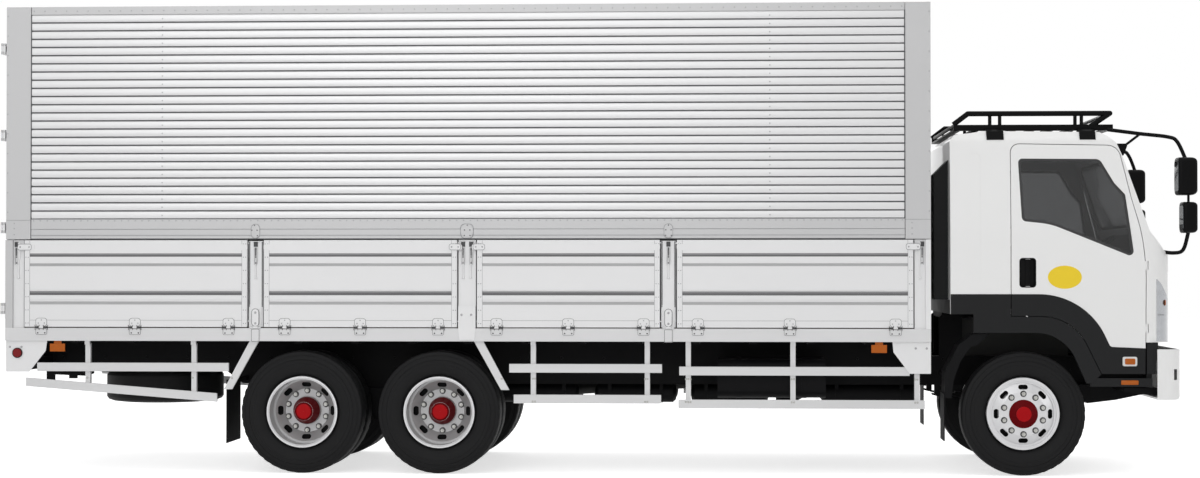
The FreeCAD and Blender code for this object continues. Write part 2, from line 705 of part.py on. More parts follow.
def frame_rails():
    outline = [
        (RAIL_REAR, FRAME_TOP), (RAIL_FRONT, FRAME_TOP), (RAIL_FRONT, RAIL_BASE),
        (RAIL_TAPER_FRONT, RAIL_BASE), (RAIL_TAPER_REAR, RAIL_TAIL_BASE), (RAIL_REAR, RAIL_TAIL_BASE),
    ]
    hollow = [
        (RAIL_REAR - OVERRUN, FRAME_TOP - RAIL_WALL), (RAIL_FRONT + OVERRUN, FRAME_TOP - RAIL_WALL),
        (RAIL_FRONT + OVERRUN, RAIL_BASE + RAIL_WALL), (RAIL_TAPER_FRONT, RAIL_BASE + RAIL_WALL),
        (RAIL_TAPER_REAR, RAIL_TAIL_BASE + RAIL_WALL), (RAIL_REAR - OVERRUN, RAIL_TAIL_BASE + RAIL_WALL),
    ]
    rail = side_plate(outline, RAIL_INNER, RAIL_OUTER)
    rail = rail.cut(side_plate(hollow, RAIL_INNER - OVERRUN, RAIL_OUTER - RAIL_WALL))
    web = RAIL_OUTER - RAIL_WALL
    z = FRAME_TOP - RAIL_WALL - CROSS_TUBE_RADIUS - SEAM
    tubes = []
    for share in CROSS_SHARES:
        x = RAIL_REAR + (RAIL_FRONT - RAIL_REAR) * share
        tubes.append(rod(Vector(x, -web, z), Vector(x, web, z), CROSS_TUBE_RADIUS))
    return [fused([rail, other_side(rail)] + tubes)]


def cab_front_bracket():
    """The bracket on each rail end that carries the cab's pivot: two ears a third of the rail wide."""
    third = (RAIL_OUTER - RAIL_INNER - PIN_GAP - PIN_GAP) / 3
    outline = [
        (CAB_PIVOT_X - PIVOT_EAR_BASE, FRAME_TOP), (RAIL_FRONT, FRAME_TOP),
        (CAB_PIVOT_X + PIVOT_RADIUS, CAB_PIVOT_Z), (CAB_PIVOT_X - PIVOT_RADIUS, CAB_PIVOT_Z),
    ]
    ears = []
    for y0 in (RAIL_INNER, RAIL_OUTER - third):
        boss = Part.makeCylinder(PIVOT_RADIUS, third, Vector(CAB_PIVOT_X, y0, CAB_PIVOT_Z), Vector(0, 1, 0))
        ears.append(fused([side_plate(outline, y0, y0 + third), boss]))
    return ears


# Bed: sills and bearers on the frame, a deck, and the side rails that the gates hang from.

def bed_bearers():
    base = FRAME_TOP + SILL_HEIGHT
    rear = BODY_REAR + PORTAL_DEPTH
    sill = block(rear, BODY_FRONT, RAIL_OUTER - SILL_WIDTH, RAIL_OUTER, FRAME_TOP, base)
    pieces = [sill, other_side(sill)]
    length = BODY_FRONT - rear - BEARER_WIDTH
    for count in range(BEARER_COUNT):
        x = rear + length * count / (BEARER_COUNT - 1)
        pieces.append(block(x, x + BEARER_WIDTH, -SIDE_RAIL_INNER, SIDE_RAIL_INNER, base, base + BEARER_HEIGHT))
    return [fused(pieces)]


def gate_axis():
    """Where the gates and fold-down posts turn: Y and Z."""
    return BODY_HALF + HINGE_STANDOFF + HINGE_RADIUS, (BED_TOP + GATE_BASE) / 2


def gate_spans():
    """The rear and front end of each drop gate, from the rear corner forward."""
    free = BODY_FRONT - BODY_REAR - REAR_CORNER - FRONT_CORNER - FOLD_BAY - FOLD_BAY - CENTRE_BAY
    spans = []
    start = BODY_REAR + REAR_CORNER
    for share, bay in zip(GATE_LENGTH_SHARES, (FOLD_BAY, CENTRE_BAY, FOLD_BAY, FRONT_CORNER)):
        end = start + free * share
        spans.append((start, end))
        start = end + bay
    return spans


def gate_hinge_places():
    """The middle of every gate hinge along the body, gate by gate."""
    rows = []
    for (rear, front), shares in zip(gate_spans(), GATE_HINGE_SHARES):
        rows.append([rear + (front - rear) * share for share in shares])
    return rows


def post_spans():
    """The rear and front end of the three bays between the gates."""
    spans = gate_spans()
    return [(spans[place][1], spans[place + 1][0]) for place in range(len(spans) - 1)]


def fold_bays():
    """The two bays that a folding post fills."""
    bays = post_spans()
    return [bays[0], bays[-1]]


def carrier_hinge(middle, width, drop):
    """The lower half of a gate hinge: a plate on the side rail and two knuckles."""
    axis_y, axis_z = gate_axis()
    half = width / 2
    face = BODY_HALF + HINGE_PLATE_THICK
    strap = block(middle - half, middle + half, BODY_HALF, face, axis_z - drop, axis_z)
    clear = KNUCKLE_WIDTH / 2 + PIN_GAP
    window = block(
        middle - clear, middle + clear, BODY_HALF, face, axis_z - HINGE_RADIUS - HINGE_STANDOFF, axis_z)
    pieces = [strap.cut(window)]
    length = (HINGE_PLATE_WIDTH - KNUCKLE_WIDTH) / 2 - PIN_GAP
    for start in (middle - clear - length, middle + clear):
        knuckle = Part.makeCylinder(HINGE_RADIUS, length, Vector(start, axis_y, axis_z), Vector(1, 0, 0))
        pieces.append(knuckle)
        pieces.append(block(start, start + length, BODY_HALF, axis_y, axis_z - HINGE_RADIUS, axis_z))
    return fused(pieces)


def moving_hinge(middle, inner, width, rise, corner):
    """The upper half of a gate hinge: a round-topped plate reaching in to the gate, and one knuckle."""
    axis_y, axis_z = gate_axis()
    half = width / 2
    face = BODY_HALF + HINGE_PLATE_THICK
    base = GATE_BASE + HINGE_RADIUS
    top = axis_z + rise
    corners = [
        Vector(x, inner, z) for x, z in (
            (middle - half, base), (middle + half, base), (middle + half, top), (middle - half, top))
    ]
    leaf = Part.Face(rounded(corners, [0, 0, corner, corner])).extrude(Vector(0, face - inner, 0))
    start = middle - KNUCKLE_WIDTH / 2
    return [
        leaf, block(start, start + KNUCKLE_WIDTH, inner, axis_y, GATE_BASE, base),
        Part.makeCylinder(HINGE_RADIUS, KNUCKLE_WIDTH, Vector(start, axis_y, axis_z), Vector(1, 0, 0)),
    ]


def bed():
    half = SIDE_RAIL_INNER - SEAM
    rear = BODY_REAR + PORTAL_DEPTH
    deck = block(rear, BODY_FRONT - FRONT_WALL - SEAM, -half, half, BED_TOP - DECK_THICK, BED_TOP)
    rail = block(BODY_REAR, BODY_FRONT, SIDE_RAIL_INNER, BODY_HALF, BED_BASE, BED_TOP)
    hinges = [carrier_hinge(x, HINGE_PLATE_WIDTH, HINGE_PLATE_DOWN) for row in gate_hinge_places() for x in row]
    hinges += [carrier_hinge((low + high) / 2, FOOT_WIDTH, FOOT_DROP) for low, high in fold_bays()]
    tail = block(BODY_REAR, rear - SEAM, -half, half, BED_BASE - OVERRUN, BED_TOP)
    return [deck, tail] + both([fused([rail] + hinges)])


# Drop gates: pressed panels with two groove bands, hinged low on the outside and caught near the top.

def gate_tongue(end, away):
    """The plate near a gate's top corner, which reaches past its end to the catch when away is 1 or -1."""
    reach = TONGUE_REACH if away else 0.0
    inward = -1 if end[1] else 1
    places = sorted([end[0] + inward * (TONGUE_PLATE), end[0] - inward * reach])
    top = GATE_TOP - TONGUE_DROP
    outer = BODY_HALF + TONGUE_PROUD
    corners = [
        Vector(x, outer - TONGUE_THICK, z) for x, z in (
            (places[0], top - TONGUE_HEIGHT), (places[1], top - TONGUE_HEIGHT), (places[1], top), (places[0], top))
    ]
    corner = TONGUE_HEIGHT / 3
    return Part.Face(rounded(corners, [corner] * len(corners))).extrude(Vector(0, TONGUE_THICK, 0))


def gate(rear, front, places, reaches):
    """One gate, with its tongues reaching past the rear and front end where reaches says so."""
    panel = block(rear, front, BODY_HALF - WALL, BODY_HALF, GATE_BASE, GATE_TOP)
    start = rear + GATE_FRAME
    end = front - GATE_FRAME
    for share in GATE_GROOVE_SHARES:
        top = GATE_BASE + GATE_HEIGHT * share
        groove = block(start, end, BODY_HALF - GATE_GROOVE_DEPTH, BODY_HALF, top - GATE_GROOVE_HEIGHT, top)
        band = top - GATE_GROOVE_HEIGHT - GATE_RIB_HEIGHT
        step = block(start, end, BODY_HALF - GATE_RIB_STEP, BODY_HALF, band - GATE_GROOVE_HEIGHT, band)
        panel = panel.cut(groove).cut(step)
    pieces = [panel]
    for middle in places:
        pieces += moving_hinge(
            middle, BODY_HALF - GATE_GROOVE_DEPTH, HINGE_PLATE_WIDTH, HINGE_PLATE_UP, HINGE_PLATE_ROUND)
    pieces.append(gate_tongue((rear, False), reaches[0]))
    pieces.append(gate_tongue((front, True), reaches[1]))
    return fused(pieces)


def gates():
    """All four gates. Their tongues reach over the fixed posts, and stop short of the folding ones."""
    reaches = ((True, False), (False, True), (True, False), (False, True))
    rows = zip(gate_spans(), gate_hinge_places(), reaches)
    for number, ((rear, front), places, reach) in enumerate(rows, start=1):
        save_pair("gate_%d" % number, [gate(rear, front, places, reach)])


def latch(middle, offset):
    """A toggle latch hanging on a post's face: a body plate with a rod and knob on each side of it."""
    top = WING_BASE - LATCH_TOP_GAP
    half = LATCH_PLATE_WIDTH / 2
    pieces = []
    for x in sorted({middle - offset, middle + offset}):
        body = block(x - half, x + half, POST_OUTER - SEAM, POST_OUTER + LATCH_PLATE_THICK, top - LATCH_PLATE_HEIGHT, top)
        y = POST_OUTER + LATCH_PLATE_THICK - LATCH_ROD / 2
        foot = Vector(x, y, top - LATCH_LENGTH)
        pieces += [body, rod(foot, Vector(x, y, top - LATCH_ROD), LATCH_ROD), Part.makeSphere(LATCH_KNOB, foot)]
    return pieces


def fold_posts():
    """The two narrow posts on each side, which unlatch and fold down between the gates."""
    top = WING_BASE - POST_TOP_GAP - WING_GAP
    for number, (rear, front) in enumerate(fold_bays(), start=1):
        middle = (rear + front) / 2
        body = block(rear + POST_MARGIN, front - POST_MARGIN, POST_OUTER - POST_DEPTH, POST_OUTER, GATE_BASE, top)
        foot = moving_hinge(middle, POST_OUTER - SOLE_THICK, FOOT_TOP_WIDTH, FOOT_RISE, FOOT_TOP_WIDTH / 3)
        sole = block(
            rear + POST_MARGIN + SOLE_MARGIN, front - POST_MARGIN - SOLE_MARGIN, POST_OUTER - SOLE_THICK,
            POST_OUTER + SOLE_THICK, GATE_BASE, GATE_BASE + SOLE_RISE)
        save_pair("fold_post_%d" % number, [fused([body, sole] + foot + latch(middle, 0.0))])


# Fixed frame of the load body: front wall, rear portal, roof beam, corner and centre posts, skirts.

def front_wall():
    """The closed front wall, which stands on the bearers in front of the deck."""
    top = BODY_TOP - ROOF_THICK - RUN_GAP
    half = BODY_HALF - WALL - RUN_GAP
    foot = SIDE_RAIL_INNER - SEAM
    rear = BODY_FRONT - FRONT_WALL
    wall = block(rear, BODY_FRONT, -half, half, BED_TOP, top)
    return [fused([wall, block(rear, BODY_FRONT, -foot, foot, BED_TOP - DECK_THICK, BED_TOP)])]


def rear_hinge_heights():
    return [BED_TOP + BODY_HEIGHT * share for share in REAR_HINGE_SHARES]


def rear_hinge_carrier(z):
    """The two fixed knuckles of one rear-door hinge and the arms that bring them out to the corner."""
    pieces = []
    length = REAR_KNUCKLE / 2
    for low in (z - REAR_KNUCKLE / 2 - PIN_GAP - length, z + REAR_KNUCKLE / 2 + PIN_GAP):
        knuckle = Part.makeCylinder(DOOR_PIN_RADIUS, length, Vector(DOOR_PIN_X, DOOR_PIN_Y, low))
        arm = block(DOOR_PIN_X, BODY_REAR, PORTAL_INNER, DOOR_PIN_Y - STRAP_THICK, low, low + length)
        web = block(
            DOOR_PIN_X, BODY_REAR - RUN_GAP, DOOR_PIN_Y - STRAP_THICK, DOOR_PIN_Y, low, low + length)
        pieces += [knuckle, arm, web]
    return pieces


def rear_portal():
    top = BODY_TOP - ROOF_THICK - RUN_GAP
    front = BODY_REAR + PORTAL_DEPTH
    post = block(BODY_REAR, front, PORTAL_INNER, PORTAL_UPPER_OUTER, BED_TOP, top)
    foot = block(BODY_REAR, front, PORTAL_INNER, BODY_HALF - SEAM, BED_TOP, WING_BASE - RUN_GAP)
    carriers = []
    for z in rear_hinge_heights():
        carriers += rear_hinge_carrier(z)
    post = fused([post, foot] + carriers)
    header = block(BODY_REAR, front, -PORTAL_INNER + SEAM, PORTAL_INNER - SEAM, top - PORTAL_HEADER, top)
    return both([post]) + [header]


def wing_hinge_places():
    return [BODY_REAR + (BODY_FRONT - BODY_REAR) * share for share in WING_HINGE_SHARES]


def wing_knuckles(moving):
    """The knuckles of one wing's roof hinges, as laid on the fixed beam or on the moving wing."""
    pieces = []
    third = WING_KNUCKLE / 3
    for middle in wing_hinge_places():
        starts = (middle - third / 2,) if moving else (middle - third * 3 / 2, middle + third / 2)
        for start in starts:
            x0 = start + PIN_GAP
            length = third - PIN_GAP
            centre = Vector(x0, WING_AXIS_Y, BODY_TOP)
            pieces.append(Part.makeCylinder(WING_HINGE_RADIUS, length, centre, Vector(1, 0, 0)))
            side = (WING_AXIS_Y, WING_AXIS_Y * 2 - BEAM_HALF) if moving else (BEAM_HALF, WING_AXIS_Y)
            pieces.append(block(x0, x0 + length, side[0], side[1], BODY_TOP - WING_HINGE_RADIUS, BODY_TOP))
    return pieces


def roof_beam():
    top = BODY_TOP - ROOF_THICK - RUN_GAP
    spine = block(WING_REAR, WING_FRONT, -BEAM_HALF, BEAM_HALF, top, BODY_TOP)
    drop = block(
        BODY_REAR + PORTAL_DEPTH, BODY_FRONT - FRONT_WALL, -BEAM_HALF, BEAM_HALF, top - BEAM_DEPTH, top)
    knuckles = wing_knuckles(False)
    return [fused([spine, drop] + knuckles + [other_side(shape) for shape in knuckles])]


def centre_plate(rear, front):
    """The plate that covers the foot of the centre post and runs down over the side rail."""
    face = BODY_HALF + HINGE_PLATE_THICK
    top = BED_TOP + CENTRE_PLATE_RISE
    low = BED_TOP - CENTRE_PLATE_DROP
    cover = side_plate(
        [
            (rear, top), (front, top), (front, BED_TOP), (front - CENTRE_PLATE_TAPER, low),
            (rear + CENTRE_PLATE_TAPER, low), (rear, BED_TOP),
        ], BODY_HALF + SEAM, face)
    return [cover, block(rear, front, POST_OUTER - SEAM, BODY_HALF + SEAM, BED_TOP, top)]


def fixed_posts():
    """The centre post and the corner posts, with the latches that hold the gates' tongues."""
    top = WING_BASE - RUN_GAP
    inner = SIDE_RAIL_INNER
    spans = gate_spans()
    rear, front = post_spans()[1]
    rear += POST_MARGIN
    front -= POST_MARGIN
    centre = block(rear, front, inner, POST_OUTER, BED_TOP, top)
    centre = fused([centre] + centre_plate(rear, front) + latch((rear + front) / 2, LATCH_SPREAD))
    corners = []
    for start, end in (
            (BODY_REAR + PORTAL_DEPTH + SEAM, spans[0][0] - POST_MARGIN),
            (spans[-1][1] + POST_MARGIN, BODY_FRONT - FRONT_WALL - SEAM)):
        body = block(start, end, inner, POST_OUTER, BED_TOP, top)
        corners.append(fused([body] + latch((start + end) / 2, 0.0)))
    edge = block(
        BODY_FRONT - FRONT_WALL, BODY_FRONT, BODY_HALF - WALL - RUN_GAP + SEAM, BODY_HALF - SEAM, BED_TOP, top)
    return both([centre, edge] + corners)


def corner_skirts():
    """The plates below the body's corners, narrowing to their feet."""
    face = BODY_HALF - SKIRT_SET_IN
    skirts = []
    neck_z = BED_BASE - SKIRT_NECK_DROP
    low = BED_BASE - SKIRT_DROP
    for end, inward, lengths in (
            (BODY_REAR, 1, (REAR_SKIRT_TOP, REAR_SKIRT_NECK, REAR_SKIRT_FOOT)),
            (BODY_FRONT, -1, (FRONT_SKIRT_TOP, FRONT_SKIRT_NECK, FRONT_SKIRT_FOOT))):
        top, neck, foot = [end + inward * length for length in lengths]
        skirts.append(side_plate(
            [(end, BED_BASE), (top, BED_BASE), (neck, neck_z), (foot, low), (end, low)], face, face + SKIRT_THICK))
    return both(skirts)


# Wings: each is half the roof and the whole upper side, ribbed along its length.

def wing_ribs():
    """The ribbed side sheet, drawn from behind."""
    inner = BODY_HALF - WALL
    low = LOWER_RAIL_TOP + SEAM
    high = TOP_RAIL_BASE - SEAM
    pitch = (high - low) / RIB_COUNT
    crest = pitch * RIB_CREST_SHARE
    slope = pitch * RIB_SLOPE_SHARE
    valley = BODY_HALF - RIB_DEPTH
    outline = [(inner, low), (valley, low)]
    for count in range(RIB_COUNT):
        z = low + pitch * count
        start = z + (pitch - crest - slope - slope) / 2
        outline.append((valley, start))
        outline.append((BODY_HALF, start + slope))
        outline.append((BODY_HALF, start + slope + crest))
        outline.append((valley, start + slope + crest + slope))
    outline.append((valley, high))
    outline.append((inner, high))
    return end_plate(outline, WING_RIB_REAR, WING_RIB_FRONT)


def catch_plate(middle, width):
    """An oval plate on the wing's lower rail, over a post, which the post's latch closes on."""
    half = width / 2
    low = WING_BASE + CATCH_LIFT
    corners = [
        Vector(x, BODY_HALF - CATCH_PROUD, z) for x, z in (
            (middle - half, low), (middle + half, low), (middle + half, low + CATCH_HEIGHT),
            (middle - half, low + CATCH_HEIGHT))
    ]
    return Part.Face(rounded(corners, [half - SEAM] * len(corners))).extrude(Vector(0, CATCH_PROUD + CATCH_PROUD, 0))


def wing_lower_rail():
    """The extruded lower rail of a wing, with two fine lines, a flange and its catch plates."""
    inner = BODY_HALF - WALL
    rail = block(WING_RIB_REAR, WING_RIB_FRONT, inner, BODY_HALF, WING_BASE, LOWER_RAIL_TOP)
    for share in RAIL_LINE_SHARES:
        z = WING_BASE + LOWER_RAIL_HEIGHT * share
        rail = rail.cut(block(
            WING_RIB_REAR, WING_RIB_FRONT, BODY_HALF - RAIL_LINE_DEPTH, BODY_HALF, z, z + RAIL_LINE_HEIGHT))
    bays = post_spans()
    plates = [catch_plate(sum(bay) / 2, width) for bay, width in zip(
        bays, (CATCH_WIDTH, CENTRE_CATCH_WIDTH, CATCH_WIDTH))]
    return fused([rail] + plates)


def wing_end_post(rear, front):
    """One end post of a wing, with the thicker block at its foot."""
    inner = BODY_HALF - WALL
    post = block(rear, front, inner, BODY_HALF, WING_BASE, BODY_TOP)
    foot = block(rear, front, inner, BODY_HALF + CORNER_BLOCK_PROUD, WING_BASE, WING_BASE + CORNER_BLOCK_HEIGHT)
    return fused([post, foot])


def wing():
    inner = BODY_HALF - WALL
    under = BODY_TOP - ROOF_THICK
    edge = WING_AXIS_Y * 2 - BEAM_HALF
    top_rail = block(WING_RIB_REAR, WING_RIB_FRONT, inner, BODY_HALF, TOP_RAIL_BASE, BODY_TOP)
    posts = [
        wing_end_post(WING_REAR, WING_RIB_REAR - WING_POST_GAP),
        wing_end_post(WING_RIB_FRONT + WING_POST_GAP, WING_FRONT),
    ]
    back = BODY_HALF - RIB_DEPTH - RIB_DEPTH
    seals = [
        block(WING_RIB_REAR - WING_POST_GAP + SEAM, WING_RIB_REAR - SEAM, inner, back, WING_BASE, BODY_TOP),
        block(WING_RIB_FRONT + SEAM, WING_RIB_FRONT + WING_POST_GAP - SEAM, inner, back, WING_BASE, BODY_TOP),
    ]
    roof = block(WING_REAR, WING_FRONT, edge, inner - SEAM, under, BODY_TOP)
    roof = fused([roof] + wing_knuckles(True))
    return [wing_ribs(), top_rail, wing_lower_rail()] + posts + seals + [roof]


# Rear doors: two leaves set between the portal posts, on strap hinges whose pins stand behind the corners.

def lock_bar(y, low, high):
    """One lock bar of a rear leaf, with its guides and handle."""
    x = BODY_REAR - LOCK_BAR_RADIUS - SEAM
    face = BODY_REAR - SEAM
    pieces = [rod(Vector(x, y, low), Vector(x, y, high), LOCK_BAR_RADIUS)]
    half = LOCK_BAR_RADIUS + RUN_GAP
    for share in LOCK_GUIDE_SHARES:
        z = low + (high - low) * share - LOCK_GUIDE_HEIGHT / 2
        pieces.append(block(x, face, y - half, y + half, z, z + LOCK_GUIDE_HEIGHT))
    z = low + (high - low) * LOCK_HANDLE_SHARE
    pieces.append(block(
        x - RUN_GAP, x + RUN_GAP, y, y + LOCK_HANDLE_LENGTH, z, z + LOCK_BAR_RADIUS + LOCK_BAR_RADIUS))
    return fused(pieces)


def rear_door():
    low = BED_TOP + RUN_GAP
    high = BODY_TOP - ROOF_THICK - RUN_GAP - PORTAL_HEADER - RUN_GAP
    outer = PORTAL_INNER - RUN_GAP
    inner = RUN_GAP / 2
    leaf = block(BODY_REAR, BODY_REAR + DOOR_THICK, inner, outer, low, high)
    for share in LEAF_RIB_SHARES:
        z = low + (high - low) * share
        leaf = leaf.cut(block(
            BODY_REAR, BODY_REAR + LEAF_RIB_DEPTH, inner + OVERRUN, outer - OVERRUN, z, z + LEAF_RIB_HEIGHT))
    pieces = [leaf]
    arm_rear = BODY_REAR - RUN_GAP - STRAP_THICK
    for z in rear_hinge_heights():
        z0 = z - REAR_KNUCKLE / 2
        z1 = z0 + REAR_KNUCKLE
        pieces += [
            Part.makeCylinder(DOOR_PIN_RADIUS, REAR_KNUCKLE, Vector(DOOR_PIN_X, DOOR_PIN_Y, z0)),
            block(arm_rear, BODY_REAR - RUN_GAP, DOOR_PIN_Y - STRAP_LENGTH, DOOR_PIN_Y, z0, z1),
            block(BODY_REAR - RUN_GAP, BODY_REAR, DOOR_PIN_Y - STRAP_LENGTH, outer, z0, z1),
            block(DOOR_PIN_X, arm_rear, DOOR_PIN_Y - DOOR_PIN_RADIUS, DOOR_PIN_Y, z0, z1),
        ]
    bars = [lock_bar(outer + (inner - outer) * share, low, high) for share in LOCK_BAR_SHARES]
    return [fused(pieces)] + bars


# Wheels. The tyre is drawn as half a section and turned about its own axle line.

def turned(outline, y):
    """A section of radius and width points, spun about the Y line, with its middle plane at y."""
    corners = [Vector(radius, y + width, 0) for radius, width in outline]
    face = Part.Face(Part.makePolygon(corners + corners[:1]))
    return face.revolve(Vector(0, 0, 0), Vector(0, 1, 0), 360)


def tyre_at(y):
    bore = RIM_RADIUS + SEAM
    bead = RIM_WIDTH / 2 - RIM_WALL / 2 - SEAM
    half = [(bore, bead), (RIM_FLANGE + SEAM, bead)]
    for up, out in TYRE_SECTION_SHARES:
        half.append((bore + (TYRE_RADIUS - bore) * up, TYRE_WIDTH * out))
    outline = half + [(radius, -width) for radius, width in reversed(half)]
    return turned(outline, y)


def hand_hole(depth):
    """One hand hole, drawn out round the wheel, as a prism along Y in the XZ plane."""
    centre = Vector(HAND_HOLE_CIRCLE, -depth, 0)
    ends = [centre.add(Vector(0, 0, side * HAND_HOLE_SPREAD)) for side in (-1, 1)]
    pieces = [Part.makeCylinder(HAND_HOLE_RADIUS, depth + depth, end, Vector(0, 1, 0)) for end in ends]
    pieces.append(block(
        HAND_HOLE_CIRCLE - HAND_HOLE_RADIUS, HAND_HOLE_CIRCLE + HAND_HOLE_RADIUS, -depth, depth,
        -HAND_HOLE_SPREAD, HAND_HOLE_SPREAD))
    return fused(pieces)


def rim_at(y, disc_y, bend):
    """A rim with its flanges and a disc that leaves it at disc_y and steps by bend to the hub face."""
    half = RIM_WIDTH / 2
    lip = RIM_WALL / 2
    drop = RIM_RADIUS - RIM_WALL
    barrel = turned(
        [
            (drop, -half), (RIM_FLANGE, -half), (RIM_FLANGE, -half + lip), (RIM_RADIUS, -half + lip),
            (RIM_RADIUS, half - lip), (RIM_FLANGE, half - lip), (RIM_FLANGE, half), (drop, half),
        ], y)
    ring = BOLT_CIRCLE + RIM_WALL
    edge = HAND_HOLE_CIRCLE + HAND_HOLE_RADIUS + RIM_WALL
    disc = turned(
        [
            (HUB_RADIUS - RIM_WALL, bend), (ring, bend), (edge, 0), (RIM_RADIUS - lip, 0),
            (RIM_RADIUS - lip, DISC_THICK), (edge + lip, DISC_THICK), (ring + lip, bend + DISC_THICK),
            (HUB_RADIUS - RIM_WALL, bend + DISC_THICK),
        ], disc_y)
    hole = hand_hole(abs(bend) + OVERRUN).translated(Vector(0, disc_y, 0))
    for count in range(HAND_HOLES):
        hole.rotate(Vector(0, 0, 0), Vector(0, 1, 0), 360 / HAND_HOLES)
        disc = disc.cut(hole)
    return fused([barrel, disc])


def knuckle_flange_y():
    """How far out the flange plate of a steering knuckle stands."""
    return KINGPIN_Y + AXLE_EYE_RADIUS + RUN_GAP


def front_wheel():
    """Rim, disc, hub and brake drum of a front wheel, at the axle line."""
    face = FRONT_DISC_Y + FRONT_BEND
    bore = SPINDLE_RADIUS + HUB_BORE_CLEAR
    cap = FRONT_HUB_OUTER - RIM_WALL
    start = knuckle_flange_y() + RIM_WALL + PIN_GAP
    hub = turned(
        [
            (bore, start), (HUB_RADIUS * 2 / 3, start), (HUB_RADIUS, face - DISC_THICK * 2),
            (HUB_RADIUS, face + DISC_THICK), (HUB_RADIUS * 2 / 3, cap), (HUB_RADIUS / 2, FRONT_HUB_OUTER),
            (0, FRONT_HUB_OUTER), (0, cap - RIM_WALL), (bore, cap - RIM_WALL),
        ], 0)
    web = face - DISC_THICK
    drum = turned(
        [
            (HUB_RADIUS - RIM_WALL, web), (DRUM_RADIUS - DRUM_WALL, web), (DRUM_RADIUS - DRUM_WALL, DRUM_INNER_Y),
            (DRUM_RADIUS, DRUM_INNER_Y), (DRUM_RADIUS, web - OVERRUN), (BOLT_CIRCLE, face), (HUB_RADIUS - RIM_WALL, face),
        ], 0)
    return fused([rim_at(FRONT_WHEEL_Y, FRONT_DISC_Y, FRONT_BEND), hub, drum])


def twin_wheel():
    """Both rims of a twin set, with their hub and brake drum, at the axle line."""
    middle = TWIN_MIDDLE_Y
    outer = rim_at(TWIN_OUTER_Y, middle + REAR_BEND, -REAR_BEND)
    inner = rim_at(TWIN_INNER_Y, middle - REAR_BEND - DISC_THICK, REAR_BEND - DISC_THICK)
    bore = REAR_SPINDLE_RADIUS + HUB_BORE_CLEAR
    cap = REAR_HUB_OUTER - RIM_WALL
    hub = turned(
        [
            (bore, REAR_DRUM_INNER_Y), (HUB_RADIUS, REAR_DRUM_INNER_Y), (HUB_RADIUS, middle + DISC_THICK * 3),
            (HUB_RADIUS * 2 / 3, cap), (HUB_RADIUS / 2, REAR_HUB_OUTER), (0, REAR_HUB_OUTER),
            (0, middle), (bore, middle),
        ], 0)
    drum = turned(
        [
            (HUB_RADIUS - RIM_WALL, middle - REAR_BEND), (DRUM_RADIUS - DRUM_WALL, middle - REAR_BEND),
            (DRUM_RADIUS - DRUM_WALL, REAR_DRUM_INNER_Y), (DRUM_RADIUS, REAR_DRUM_INNER_Y),
            (DRUM_RADIUS, middle - REAR_BEND), (BOLT_CIRCLE, middle - DISC_THICK),
            (HUB_RADIUS - RIM_WALL, middle - DISC_THICK),
        ], 0)
    return fused([outer, inner, hub, drum])


def placed(shape, x, z):
    return shape.translated(Vector(x, 0, z))


def wheels():
    front = front_wheel()
    twin = twin_wheel()
    front_tyre = tyre_at(FRONT_WHEEL_Y)
    twin_tyres = [tyre_at(TWIN_OUTER_Y), tyre_at(TWIN_INNER_Y)]
    save_pair("wheel_front", [placed(front, FRONT_AXLE_X, TYRE_RADIUS)])
    save_pair("tyre_front", [placed(front_tyre, FRONT_AXLE_X, TYRE_RADIUS)])
    for name, x in (("drive", DRIVE_AXLE_X), ("rear", REAR_AXLE_X)):
        save_pair("wheel_" + name, [placed(twin, x, TYRE_RADIUS)])
        save_pair("tyres_" + name, [placed(shape, x, TYRE_RADIUS) for shape in twin_tyres])


# Front axle: a dropped beam with an eye at each end, leaf springs and the steering knuckles.

def front_axle():
    axle_z = TYRE_RADIUS
    beam_z = axle_z - AXLE_DROP
    eye_base = axle_z - AXLE_EYE_HEIGHT / 2
    eye_top = axle_z + AXLE_EYE_HEIGHT / 2
    seat = KINGPIN_Y - AXLE_EYE_RADIUS
    foot = seat - AXLE_DROP
    outline = [
        (-foot, beam_z), (foot, beam_z), (seat, eye_base), (KINGPIN_Y, eye_base), (KINGPIN_Y, eye_top),
        (seat, eye_top), (foot, beam_z + AXLE_DEPTH), (-foot, beam_z + AXLE_DEPTH), (-seat, eye_top),
        (-KINGPIN_Y, eye_top), (-KINGPIN_Y, eye_base), (-seat, eye_base),
    ]
    half = AXLE_WIDTH / 2
    beam = end_plate(outline, FRONT_AXLE_X - half, FRONT_AXLE_X + half)
    waist = half / 2
    for x0 in (FRONT_AXLE_X - half, FRONT_AXLE_X + waist):
        flute = block(x0, x0 + waist, -foot, foot, beam_z + waist, beam_z + AXLE_DEPTH - waist)
        beam = beam.cut(flute)
    for side in (-1, 1):
        centre = Vector(FRONT_AXLE_X, side * KINGPIN_Y, eye_base)
        beam = beam.fuse(Part.makeCylinder(AXLE_EYE_RADIUS, AXLE_EYE_HEIGHT, centre))
    for side in (-1, 1):
        centre = Vector(FRONT_AXLE_X, side * KINGPIN_Y, eye_base)
        beam = beam.cut(Part.makeCylinder(KINGPIN_RADIUS + PIN_GAP, AXLE_EYE_HEIGHT, centre))
    return [beam.removeSplitter()]


